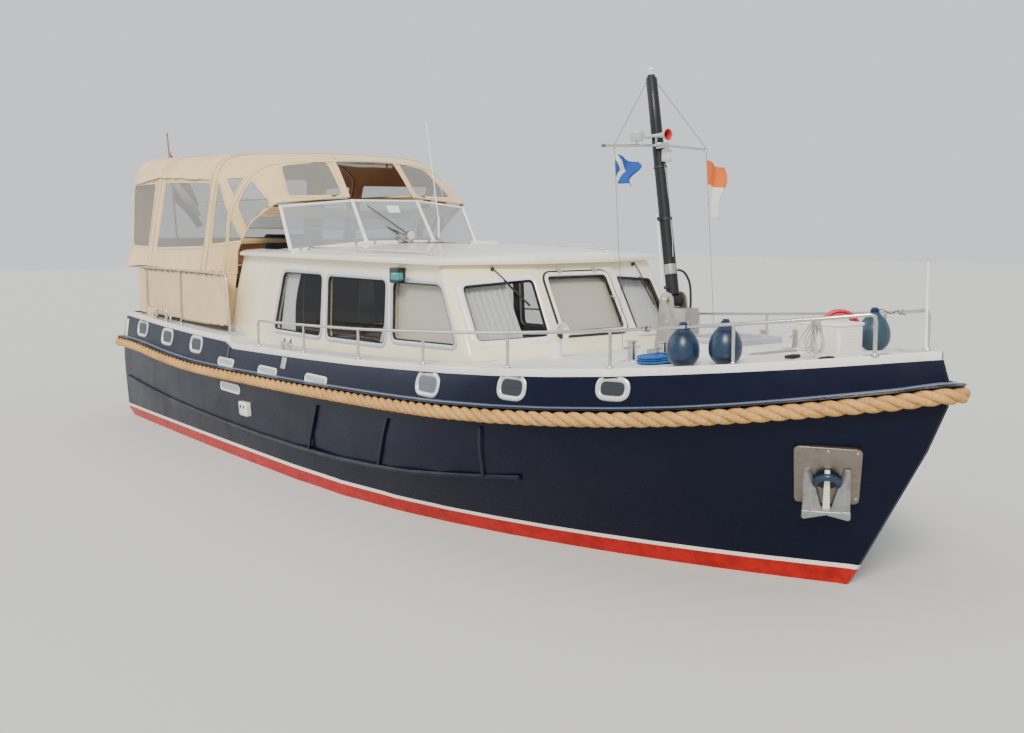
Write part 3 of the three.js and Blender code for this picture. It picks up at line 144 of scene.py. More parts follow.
def smooth_path(points: Sequence[Point], step: float, loop: bool = False) -> list[Vector]:
    """Lays a smooth line through points.

    Args:
        points: The points that the line passes.
        step: Rough distance between the points returned.
        loop: Whether the line closes on itself.

    Returns:
        Points of a Catmull-Rom line.
    """
    given = [Vector(p) for p in points]
    count = len(given)
    out: list[Vector] = []
    for i in range(count if loop else count - 1):
        around = [given[(i + k) % count] if loop else given[max(0, min(count - 1, i + k))] for k in (-1, 0, 1, 2)]
        a, b, c, d = around
        parts = max(1, round((c - b).length / step))
        for n in range(parts):
            t = n / parts
            out.append(
                0.5
                * (2 * b + (c - a) * t + (2 * a - 5 * b + 4 * c - d) * t * t + (3 * b - a - 3 * c + d) * t**3)
            )
    if not loop:
        out.append(given[-1])
    return out


def length_of(points: Sequence[Vector]) -> float:
    """The length of a line through points."""
    return sum((b - a).length for a, b in zip(points, points[1:]))


def round_corners(points: Sequence[Point], radius: float, steps: int = 5) -> list[Vector]:
    """Rounds the corners of a closed outline.

    Args:
        points: Corners in order.
        radius: Distance from a corner at which its arc starts.
        steps: Pieces in each arc.

    Returns:
        The rounded outline.
    """
    corners = [Vector(p) for p in points]
    out = []
    for i, corner in enumerate(corners):
        before, after = corners[i - 1], corners[(i + 1) % len(corners)]
        reach = min(radius, (before - corner).length / 2, (after - corner).length / 2)
        a = corner + (before - corner).normalized() * reach
        b = corner + (after - corner).normalized() * reach
        for k in range(steps + 1):
            t = k / steps
            out.append(a * (1 - t) ** 2 + corner * 2 * t * (1 - t) + b * t * t)
    return out


# Modelling with operators


def clear_selection() -> None:
    """Leaves edit mode and deselects every object."""
    if bpy.context.object and bpy.context.object.mode != "OBJECT":
        bpy.ops.object.mode_set(mode="OBJECT")
    bpy.ops.object.select_all(action="DESELECT")


def select_only(piece: Piece) -> None:
    """Makes one piece the only selected and the active one.

    Args:
        piece: The piece to select.
    """
    clear_selection()
    piece.select_set(True)
    bpy.context.view_layer.objects.active = piece


def edit(piece: Piece, *steps: Callable[[], object]) -> None:
    """Runs operators in edit mode on all of a piece.

    Args:
        piece: The piece to shape.
        steps: Calls to make once everything is selected.
    """
    select_only(piece)
    bpy.ops.object.mode_set(mode="EDIT")
    bpy.ops.mesh.select_all(action="SELECT")
    for step in steps:
        step()
    bpy.ops.object.mode_set(mode="OBJECT")


def face_outwards() -> None:
    """Points the selected faces outwards."""
    bpy.ops.mesh.normals_make_consistent(inside=False)


def weld(distance: float = 1e-5) -> None:
    """Merges selected corners that share a place."""
    bpy.ops.mesh.remove_doubles(threshold=distance)


def close_ends() -> None:
    """Fills the piece's open ends with faces."""
    bpy.ops.mesh.select_all(action="DESELECT")
    bpy.ops.mesh.select_non_manifold()
    bpy.ops.mesh.edge_face_add()


def modify(piece: Piece, kind: str, **settings: object) -> None:
    """Adds a modifier with its settings and applies it.

    Args:
        piece: The piece to change.
        kind: The modifier's type.
        settings: Values set on the modifier.
    """
    select_only(piece)
    modifier = piece.modifiers.new(kind.title(), kind)
    for key, value in settings.items():
        setattr(modifier, key, value)
    bpy.ops.object.modifier_apply(modifier=modifier.name)


def bevel(piece: Piece, width: float, segments: int = 2, angle: float = 35.0) -> None:
    """Rounds a piece's sharp edges by a width in metres.

    Args:
        piece: The piece to change.
        width: Width of the rounding.
        segments: Steps in that rounding.
        angle: Least angle of an edge that is rounded, in degrees.
    """
    modify(
        piece, "BEVEL", width=width, segments=segments, limit_method="ANGLE",
        angle_limit=math.radians(angle), harden_normals=False,
    )


def shade(piece: Piece, angle: float = 35.0) -> None:
    """Shades a piece smooth, with edges sharper than an angle left crisp."""
    select_only(piece)
    bpy.ops.object.shade_smooth_by_angle(angle=math.radians(angle))


def named(name: str) -> Piece:
    """Gives the active object and its mesh a name and returns it.

    Args:
        name: The new name.

    Returns:
        The active object.
    """
    piece = bpy.context.object
    piece.name = name
    piece.data.name = name
    return piece


def grid(name: str, rows: int, columns: int, place: Callable[[float, float], Point]) -> Piece:
    """Adds a grid and moves its corners onto a surface.

    Args:
        name: The piece's name.
        rows: Number of corners in the second direction.
        columns: Number of corners in the first direction.
        place: Gives a point from two shares between 0 and 1.

    Returns:
        The grid, with a UV map that holds the two shares.
    """
    clear_selection()
    bpy.ops.mesh.primitive_grid_add(x_subdivisions=columns - 1, y_subdivisions=rows - 1, size=2)
    piece = named(name)
    for vertex in piece.data.vertices:
        u, v = (vertex.co.x + 1) / 2, (vertex.co.y + 1) / 2
        vertex.co = place(u, v)
    return piece


def outline_face(name: str, points: Sequence[Point]) -> Piece:
    """Adds one face with the given corners.

    Args:
        name: The piece's name.
        points: The corners in order.

    Returns:
        The piece of one face.
    """
    clear_selection()
    bpy.ops.mesh.primitive_circle_add(vertices=len(points), fill_type="NGON")
    piece = named(name)
    for vertex, point in zip(piece.data.vertices, points):
        vertex.co = point
    return piece


def plate(name: str, points: Sequence[Point], along: Point, edge: float = 0.0, segments: int = 2) -> Piece:
    """Extrudes an outline into a plate.

    Args:
        name: The piece's name.
        points: The outline's corners.
        along: The extrusion as a vector.
        edge: Width of the rounding on its edges.
        segments: Steps in that rounding.

    Returns:
        The closed plate.
    """
    piece = outline_face(name, points)
    move = tuple(along)
    edit(piece, lambda: bpy.ops.mesh.extrude_region_move(TRANSFORM_OT_translate={"value": move}))
    edit(piece, face_outwards)
    if edge:
        bevel(piece, edge, segments)
    shade(piece)
    return piece


def frame_ring(name: str, outer: Sequence[Point], inner: Sequence[Point], along: Point, edge: float = 0.0) -> Piece:
    """Extrudes the band between two outlines into a ring.

    Args:
        name: The piece's name.
        outer: The outer outline.
        inner: The inner outline, with as many corners.
        along: The extrusion as a vector.
        edge: Width of the rounding on its edges.

    Returns:
        The closed ring.
    """
    count = len(outer)

    def place(u: float, v: float) -> Vector:
        n = round(u * count) % count
        a, b = Vector(outer[n]), Vector(inner[n])
        corner = [(a, False), (b, False), (b, True), (a, True), (a, False)][round(v * 4)]
        return corner[0] + (Vector(along) if corner[1] else Vector())

    piece = grid(name, 5, count + 1, place)
    edit(piece, weld, face_outwards)
    if edge:
        bevel(piece, edge)
    shade(piece)
    return piece


def slab(name: str, low: Point, high: Point, edge: float, segments: int = 2) -> Piece:
    """Adds a block between two corners and rounds its edges.

    Args:
        name: The piece's name.
        low: The lowest corner.
        high: The highest corner.
        edge: Width of the rounding.
        segments: Steps in that rounding.

    Returns:
        The block.
    """
    centre = [(a + b) / 2 for a, b in zip(low, high)]
    size = [b - a for a, b in zip(low, high)]
    clear_selection()
    bpy.ops.mesh.primitive_cube_add(size=1, location=centre, scale=size)
    piece = named(name)
    bpy.ops.object.transform_apply(location=True, rotation=True, scale=True)
    bevel(piece, edge, segments)
    shade(piece)
    return piece


def pipe(
    name: str, points: Sequence[Point], radius: float | Sequence[float], sides: int = 10, loop: bool = False,
) -> Piece:
    """Sweeps a round section along a line and closes its ends.

    Args:
        name: The piece's name.
        points: The centreline.
        radius: One radius, or one for each point.
        sides: Sides of the section.
        loop: Whether the line closes on itself.

    Returns:
        The tube, with U along it in metres and V round it.
    """
    line = [Vector(p) for p in points]
    count = len(line)
    radii = [radius] * count if isinstance(radius, (int, float)) else list(radius)
    tangents = []
    for i in range(count):
        a = line[i - 1] if loop or i else line[0]
        b = line[(i + 1) % count] if loop or i < count - 1 else line[-1]
        tangents.append((b - a).normalized())
    normal = tangents[0].orthogonal().normalized()
    frames = []
    for tangent in tangents:
        normal = (normal - tangent * normal.dot(tangent)).normalized()
        frames.append((normal.copy(), tangent.cross(normal)))
    if loop:
        closing = frames[-1][0] - tangents[0] * frames[-1][0].dot(tangents[0])
        twist = math.atan2(closing.dot(frames[0][1]), closing.dot(frames[0][0]))
        eased = []
        for i, (n, b) in enumerate(frames):
            a = -twist * i / count
            eased.append((n * math.cos(a) + b * math.sin(a), b * math.cos(a) - n * math.sin(a)))
        frames = eased
    rows = count + 1 if loop else count

    def place(u: float, v: float) -> Vector:
        i = round(u * (rows - 1)) % count
        angle = 2 * math.pi * v
        n, b = frames[i]
        return line[i] + (n * math.cos(angle) + b * math.sin(angle)) * radii[i]

    piece = grid(name, sides + 1, rows, place)
    reach = length_of(line)
    for corner in piece.data.uv_layers.active.data:
        corner.uv.x *= reach
    edit(piece, lambda: weld(min(radii) * 0.02))
    if not loop:
        edit(piece, close_ends)
    edit(piece, face_outwards)
    shade(piece, 50)
    return piece


def turned(name: str, profile: Sequence[tuple[float, float]], base: Point, axis: Point, sides: int = 24) -> Piece:
    """Turns a profile round an axis, as on a lathe.

    Args:
        name: The piece's name.
        profile: Pairs of radius and height, from end to end on the axis.
        base: Where height is zero.
        axis: Direction of the axis.
        sides: Steps round the axis.

    Returns:
        The turned piece.
    """
    up = Vector(axis).normalized()
    side = up.orthogonal().normalized()
    across = up.cross(side)

    def place(u: float, v: float) -> Vector:
        radius, height = profile[round(v * (len(profile) - 1))]
        angle = 2 * math.pi * u
        return Vector(base) + up * height + (side * math.cos(angle) + across * math.sin(angle)) * radius

    piece = grid(name, len(profile), sides + 1, place)
    edit(piece, weld, face_outwards)
    shade(piece, 40)
    return piece


def join(name: str, pieces: Iterable[Piece]) -> Piece:
    """Joins pieces into one mesh under a name.

    Args:
        name: Name of the whole.
        pieces: The parts, which it uses up.

    Returns:
        The joined piece.
    """
    pieces = list(pieces)
    clear_selection()
    for piece in pieces:
        piece.select_set(True)
    bpy.context.view_layer.objects.active = pieces[0]
    if len(pieces) > 1:
        bpy.ops.object.join()
    return named(name)


def copied(piece: Piece, place: Matrix) -> Piece:
    """Copies a piece with a mesh of its own and moves the copy's corners by a matrix.

    Args:
        piece: The piece to copy.
        place: The matrix.

    Returns:
        The copy.
    """
    twin = piece.copy()
    twin.data = piece.data.copy()
    bpy.context.scene.collection.objects.link(twin)
    twin.data.transform(place)
    if place.determinant() < 0:
        twin.data.flip_normals()
    return twin


def recap(piece: Piece, station: float) -> None:
    """Closes a piece's end at a station afresh, with one flat face.

    Args:
        piece: The piece to close.
        station: X of the end.
    """
    mesh = bmesh.new()
    mesh.from_mesh(piece.data)
    flat = [face for face in mesh.faces if all(abs(v.co.x - station) < 1e-3 for v in face.verts)]
    bmesh.ops.delete(mesh, geom=flat, context="FACES")
    bmesh.ops.contextual_create(mesh, geom=[edge for edge in mesh.edges if edge.is_boundary])
    bmesh.ops.recalc_face_normals(mesh, faces=mesh.faces)
    mesh.to_mesh(piece.data)
    mesh.free()


def skin_of(node: str, name: str, angle: float = 35.0, edge: float = 0.0, end: float | None = None) -> Piece:
    """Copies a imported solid, welds it and shades it smooth.

    Args:
        node: The solid's node.
        name: The new piece's name.
        angle: Edges sharper than this stay crisp.
        edge: Width of the rounding on sharp edges.
        end: Station of an end that gets a new flat face, or None.

    Returns:
        A separate piece of the same shape.
    """
    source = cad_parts[node]
    piece = bpy.data.objects.new(name, source.data.copy())
    bpy.context.scene.collection.objects.link(piece)
    piece.data.materials.clear()
    select_only(piece)
    if piece.data.has_custom_normals:
        bpy.ops.mesh.customdata_custom_splitnormals_clear()
    edit(piece, lambda: weld(2e-5), lambda: bpy.ops.mesh.tris_convert_to_quads())
    if end is not None:
        recap(piece, end)
    if edge:
        bevel(piece, edge, 2, 40)
    shade(piece, angle)
    return piece


class Solid:
    """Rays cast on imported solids, to seat pieces on them."""

    def __init__(self, *nodes: str | Piece) -> None:
        """Gathers the meshes.

        Args:
            nodes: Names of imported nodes, or pieces.
        """
        self.trees = [self._tree(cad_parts[n] if isinstance(n, str) else n) for n in nodes]

    @staticmethod
    def _tree(node: Piece) -> BVHTree:
        """Makes the search tree of one node."""
        mesh = node.data
        return BVHTree.FromPolygons([v.co for v in mesh.vertices], [tuple(p.vertices) for p in mesh.polygons])

    def hit(self, start: Point, direction: Point) -> tuple[Vector, Vector] | None:
        """Finds the first surface on a ray.

        Args:
            start: Where the ray starts.
            direction: Where it goes.

        Returns:
            The point and the outward normal, or None.
        """
        found = [t.ray_cast(Vector(start), Vector(direction)) for t in self.trees]
        found = [f for f in found if f[0] is not None]
        if not found:
            return None
        place, normal, _, _ = min(found, key=lambda f: f[3])
        return place, normal if normal.dot(Vector(direction)) < 0 else -normal

    def side(self, x: float, z: float, side: Side) -> tuple[Vector, Vector]:
        """Finds the surface beside the boat at a station and a height."""
        found = self.hit((x, side.value * 4.0, z), (0, -side.value, 0))
        return found if found else (Vector((x, 0, z)), Vector((0, side.value, 0)))

    def top(self, x: float, y: float) -> Vector:
        """Finds the surface below a point on plan."""
        found = self.hit((x, y, 6.0), (0, 0, -1))
        return found[0] if found else Vector((x, y, 0))


# Materials


def add_node(tree: bpy.types.NodeTree, kind: str, links: dict | None = None, **settings: object) -> bpy.types.Node:
    """Adds a node with its settings and its inputs.

    Args:
        tree: The node tree.
        kind: The node's type.
        links: Input names or numbers with a socket to link or a value to set.
        settings: Values set on the node itself.

    Returns:
        The new node.
    """
    node = tree.nodes.new(kind)
    for key, value in settings.items():
        setattr(node, key, value)
    for key, value in (links or {}).items():
        if isinstance(value, bpy.types.NodeSocket):
            tree.links.new(value, node.inputs[key])
        else:
            node.inputs[key].default_value = value
    return node


def blotches(tree: bpy.types.NodeTree, size: float, low: float, high: float, stretch: Point = (1, 1, 1)) -> Socket:
    """Makes soft blotches between 0 and 1 on Object coordinates.

    Args:
        tree: The node tree.
        size: Width of a blotch in metres.
        low: Noise value that gives 0.
        high: Noise value that gives 1.
        stretch: Scale of the pattern on each axis.

    Returns:
        The share as a socket.
    """
    place = add_node(tree, "ShaderNodeTexCoord").outputs["Object"]
    spread = add_node(tree, "ShaderNodeMapping", {"Vector": place, "Scale": stretch})
    noise = add_node(
        tree, "ShaderNodeTexNoise", {"Vector": spread.outputs[0], "Scale": 1 / size, "Detail": 5.0, "Roughness": 0.6},
    )
    levels = {"Value": noise.outputs[0], "From Min": low, "From Max": high}
    return add_node(tree, "ShaderNodeMapRange", levels).outputs[0]


def blend(tree: bpy.types.NodeTree, share: Socket | float, first: object, second: object) -> Socket:
    """Mixes two colours.

    Args:
        tree: The node tree.
        share: How much of the second shows.
        first: A colour or socket.
        second: A colour or socket.

    Returns:
        The mixed colour.
    """
    mix = add_node(tree, "ShaderNodeMix", data_type="RGBA", clamp_factor=True)
    for key, value in ((0, share), (6, first), (7, second)):
        if isinstance(value, bpy.types.NodeSocket):
            tree.links.new(value, mix.inputs[key])
        else:
            mix.inputs[key].default_value = value
    return mix.outputs[2]


def relief(
    tree: bpy.types.NodeTree, shader: bpy.types.Node, height: Socket, depth: float, strength: float = 1.0,
) -> None:
    """Gives a surface relief from a height between 0 and 1.

    Args:
        tree: The node tree.
        shader: The surface shader.
        height: The height as a socket.
        depth: Depth of the relief in metres.
        strength: How much of it shows.
    """
    links = {"Height": height, "Distance": depth, "Strength": strength}
    bump = add_node(tree, "ShaderNodeBump", links)
    tree.links.new(bump.outputs[0], shader.inputs["Normal"])


@dataclass(frozen=True)
class Finish:
    """A surface finish, named for its material and how it was made."""

    name: str
    colour: str
    roughness: float = 0.4
    metallic: float = 0.0

    def material(self) -> bpy.types.Material:
        """Returns the finish's material, which is made once.

        Returns:
            The material.
        """
        known = bpy.data.materials.get(self.name)
        if known:
            return known
        made = bpy.data.materials.new(self.name)
        made.use_nodes = True
        made.diffuse_color = linear(self.colour)
        shader = made.node_tree.nodes["Principled BSDF"]
        shader.inputs["Base Color"].default_value = linear(self.colour)
        shader.inputs["Roughness"].default_value = self.roughness
        shader.inputs["Metallic"].default_value = self.metallic
        self.dress(made.node_tree, shader)
        return made

    def dress(self, tree: bpy.types.NodeTree, shader: bpy.types.Node) -> None:
        """Adds the pattern of the finish; a plain one has none."""


@dataclass(frozen=True)
class Enamel(Finish):
    """Brushed or sprayed enamel: a glossy film with faint orange peel and rain marks that run down."""

    dirt: str = "#8f897a"
    dirt_share: float = 0.25
    coat: float = 0.6
    shine: float = 0.5

    def dress(self, tree: bpy.types.NodeTree, shader: bpy.types.Node) -> None:
        """Adds faint cloudiness, rain marks and orange peel.

        Args:
            tree: The node tree.
            shader: The surface shader.
        """
        tree.links.new(self.tone(tree), shader.inputs["Base Color"])
        shader.inputs["Coat Weight"].default_value = self.coat
        shader.inputs["Specular IOR Level"].default_value = self.shine
        shader.inputs["Coat Roughness"].default_value = 0.06
        worn = blotches(tree, 0.35, 0.35, 0.7)
        levels = {"Value": worn, "To Min": self.roughness * 0.8, "To Max": self.roughness * 1.35}
        dull = add_node(tree, "ShaderNodeMapRange", levels)
        tree.links.new(dull.outputs[0], shader.inputs["Roughness"])
        relief(tree, shader, blotches(tree, 0.09, 0.2, 0.8), 0.0012, 0.25)

    def tone(self, tree: bpy.types.NodeTree) -> Socket:
        """Returns the paint's colour with its cloudiness and rain marks.

        Args:
            tree: The node tree.

        Returns:
            The colour as a socket.
        """
        paint = linear(self.colour)
        faded = tuple(v * 0.86 for v in paint[:3]) + (1.0,)
        clouded = blend(tree, blotches(tree, 0.6, 0.4, 0.75), paint, faded)
        # Rain marks are narrow across and long down the side.
        streaks = blotches(tree, 0.05, 0.56, 0.8, (1.0, 1.0, 0.08))
        share = add_node(tree, "ShaderNodeMath", {0: streaks, 1: self.dirt_share}, operation="MULTIPLY").outputs[0]
        return blend(tree, share, clouded, linear(self.dirt))


@dataclass(frozen=True)
class HullEnamel(Enamel):
    """Two-pack gloss over welded plate, with a boot stripe and red antifouling below it."""

    stripe: str = "#e9e6dc"
    below: str = "#b31d1a"
    stripe_low: float = 0.134
    stripe_high: float = 0.17

    def tone(self, tree: bpy.types.NodeTree) -> Socket:
        """Returns the hull's colours by height over the waterline.

        Args:
            tree: The node tree.

        Returns:
            The colour as a socket.
        """
        paint = super().tone(tree)
        place = add_node(tree, "ShaderNodeTexCoord").outputs["Object"]
        height = add_node(tree, "ShaderNodeSeparateXYZ", {0: place}).outputs[2]
        red = blend(tree, blotches(tree, 0.12, 0.4, 0.7), linear(self.below), linear("#8c1c19"))
        for level, lower in ((self.stripe_high, linear(self.stripe)), (self.stripe_low, red)):
            edge = {"Value": height, "From Min": level - 0.001, "From Max": level + 0.001}
            above = add_node(tree, "ShaderNodeMapRange", edge).outputs[0]
            paint = blend(tree, above, lower, paint)
        return paint


@dataclass(frozen=True)
class NonSkid(Finish):
    """Deck paint with sand rolled in: matt and gritty, darker grey in the hollows between the grains."""

    grit: float = 0.006
    deep: str = "#b4b9bd"
    fade: str = "#bfc4c8"

    def dress(self, tree: bpy.types.NodeTree, shader: bpy.types.Node) -> None:
        """Adds the grit, drawn coarser than the real 1 mm so that it shows.

        Args:
            tree: The node tree.
            shader: The surface shader.
        """
        grains = blotches(tree, self.grit, 0.35, 0.65)
        worn = blend(tree, blotches(tree, 0.4, 0.4, 0.75), linear(self.colour), linear(self.fade))
        # Darker in the hollows: the deep colour goes where the grit's relief is lowest.
        tree.links.new(blend(tree, grains, linear(self.deep), worn), shader.inputs["Base Color"])
        relief(tree, shader, grains, 0.0015, 0.5)


@dataclass(frozen=True)
class Metal(Finish):
    """Polished or satin metal, with fine scratches and dull water spots."""

    grain: float = 0.004
    stain: str = "#8a8376"
    stain_share: float = 0.25

    def dress(self, tree: bpy.types.NodeTree, shader: bpy.types.Node) -> None:
        """Adds scratches in the gloss and brownish stains in the colour.

        Args:
            tree: The node tree.
            shader: The surface shader.
        """
        scratched = blotches(tree, self.grain, 0.3, 0.7, (0.12, 1.0, 1.0))
        levels = {"Value": scratched, "To Min": self.roughness * 0.7, "To Max": self.roughness * 1.4}
        gloss = add_node(tree, "ShaderNodeMapRange", levels)
        tree.links.new(gloss.outputs[0], shader.inputs["Roughness"])
        spots = blotches(tree, 0.07, 0.5, 0.75)
        share = add_node(tree, "ShaderNodeMath", {0: spots, 1: self.stain_share}, operation="MULTIPLY").outputs[0]
        tree.links.new(blend(tree, share, linear(self.colour), linear(self.stain)), shader.inputs["Base Color"])


@dataclass(frozen=True)
class Glass(Finish):
    """Toughened glass or clear vinyl: a thin shiny film of tint and dust that light passes straight through."""

    cover: float = 0.3
    haze: float = 0.0
    ior: float = 1.5

    def dress(self, tree: bpy.types.NodeTree, shader: bpy.types.Node) -> None:
        """Lets light through and adds dust in soft patches.

        Args:
            tree: The node tree.
            shader: The surface shader.
        """
        shader.inputs["Alpha"].default_value = self.cover
        shader.inputs["IOR"].default_value = self.ior
        shader.inputs["Specular IOR Level"].default_value = 0.9
        dust = blotches(tree, 0.25, 0.4, 0.8)
        levels = {"Value": dust, "To Min": self.roughness, "To Max": self.roughness + self.haze}
        rough = add_node(tree, "ShaderNodeMapRange", levels)
        tree.links.new(rough.outputs[0], shader.inputs["Roughness"])


@dataclass(frozen=True)
class Canvas(Finish):
    """Woven acrylic canvas: matt, with a plain weave, faded patches and soft puckers."""

    shade: str = "#b59a74"
    thread: float = 0.004
    pucker: float = 0.006

    def dress(self, tree: bpy.types.NodeTree, shader: bpy.types.Node) -> None:
        """Adds the weave, drawn at 4 mm because the real 0.5 mm is too fine to show.

        Args:
            tree: The node tree.
            shader: The surface shader.
        """
        place = add_node(tree, "ShaderNodeTexCoord").outputs["Object"]
        faded = blotches(tree, 0.5, 0.35, 0.75)
        weaves = []
        for direction in ("X", "Z"):
            links = {"Vector": place, "Scale": 1 / self.thread / 6.3, "Distortion": 0.3}
            weaves.append(
                add_node(tree, "ShaderNodeTexWave", links, wave_type="BANDS", bands_direction=direction).outputs[1]
            )
        crossing = add_node(tree, "ShaderNodeMath", {0: weaves[0], 1: weaves[1]}, operation="MULTIPLY").outputs[0]
        cloth = blend(tree, faded, linear(self.colour), linear(self.shade))
        deep = tuple(v * 0.9 for v in linear(self.shade)[:3]) + (1.0,)
        soft = add_node(tree, "ShaderNodeMath", {0: crossing, 1: 0.22}, operation="MULTIPLY").outputs[0]
        tree.links.new(blend(tree, soft, cloth, deep), shader.inputs["Base Color"])
        folds = blotches(tree, 0.16, 0.25, 0.75, (1.0, 1.0, 0.6))
        height = add_node(tree, "ShaderNodeMath", {0: crossing, 1: 0.06, 2: folds}, operation="MULTIPLY_ADD").outputs[0]
        relief(tree, shader, height, self.pucker, 0.7)
        shader.inputs["Sheen Weight"].default_value = 0.25
        shader.inputs["Sheen Roughness"].default_value = 0.6


@dataclass(frozen=True)
class Moulded(Finish):
    """Moulded vinyl, rubber or plastic: even colour with scuffs and a fine pebble."""

    scuff: str = "#6c7276"
    scuff_share: float = 0.3
    pebble: float = 0.004

    def dress(self, tree: bpy.types.NodeTree, shader: bpy.types.Node) -> None:
        """Adds pale scuffs and the pebble.

        Args:
            tree: The node tree.
            shader: The surface shader.
        """
        marks = blotches(tree, 0.06, 0.55, 0.8)
        share = add_node(tree, "ShaderNodeMath", {0: marks, 1: self.scuff_share}, operation="MULTIPLY").outputs[0]
        tree.links.new(blend(tree, share, linear(self.colour), linear(self.scuff)), shader.inputs["Base Color"])
        relief(tree, shader, blotches(tree, self.pebble, 0.3, 0.7), 0.0004, 0.4)


@dataclass(frozen=True)
class Fibre(Finish):
    """Laid or braided rope: twisted yarns with painted shade in the gaps between them, and loose hairs."""

    deep: str = "#7a5428"
    yarn: float = 0.012
    fuzz: float = 1.0

    def dress(self, tree: bpy.types.NodeTree, shader: bpy.types.Node) -> None:
        """Adds yarns across the strand, from its own UV map, with painted shade between them, and blotches of weather.

        Args:
            tree: The node tree.
            shader: The surface shader.
        """
        place = add_node(tree, "ShaderNodeTexCoord").outputs["UV"]
        spread = add_node(tree, "ShaderNodeMapping", {"Vector": place, "Scale": (1 / self.yarn, 9.0, 1.0)})
        yarns = add_node(
            tree, "ShaderNodeTexNoise", {"Vector": spread.outputs[0], "Scale": 1.0, "Detail": 3.0},
        ).outputs[0]
        levels = {"Value": yarns, "From Min": 0.35, "From Max": 0.65, "To Min": 1.0 - self.fuzz}
        sharp = add_node(tree, "ShaderNodeMapRange", levels).outputs[0]
        weather = blend(tree, blotches(tree, 0.3, 0.4, 0.7), linear(self.colour), linear(self.deep))
        half = blend(tree, 0.45, linear(self.colour), weather)
        # Painted shade: the gaps between the yarns take the deep colour, which also serves for the real weathering
        # blotches.
        tree.links.new(blend(tree, sharp, linear(self.deep), half), shader.inputs["Base Color"])
        relief(tree, shader, sharp, 0.004, 0.8)


@dataclass(frozen=True)
class Timber(Finish):
    """Varnished mahogany: long grain under a clear coat."""

    grain: str = "#2c130a"

    def dress(self, tree: bpy.types.NodeTree, shader: bpy.types.Node) -> None:
        """Adds grain that runs level.

        Args:
            tree: The node tree.
            shader: The surface shader.
        """
        lines = blotches(tree, 0.02, 0.35, 0.65, (0.06, 0.6, 1.0))
        tree.links.new(blend(tree, lines, linear(self.colour), linear(self.grain)), shader.inputs["Base Color"])
        shader.inputs["Coat Weight"].default_value = 0.5
        relief(tree, shader, lines, 0.0006, 0.4)


@dataclass(frozen=True)
class Cloth(Finish):
    """Thin woven cloth that lets light through, as in curtains."""

    sheer: float = 0.25

    def dress(self, tree: bpy.types.NodeTree, shader: bpy.types.Node) -> None:
        """Adds faint threads and lets some light through.

        Args:
            tree: The node tree.
            shader: The surface shader.
        """
        threads = blotches(tree, 0.008, 0.3, 0.7, (1.0, 1.0, 0.1))
        dark = tuple(v * 0.88 for v in linear(self.colour)[:3]) + (1.0,)
        tree.links.new(blend(tree, threads, linear(self.colour), dark), shader.inputs["Base Color"])
        shader.inputs["Transmission Weight"].default_value = self.sheer
        relief(tree, shader, threads, 0.0006, 0.4)


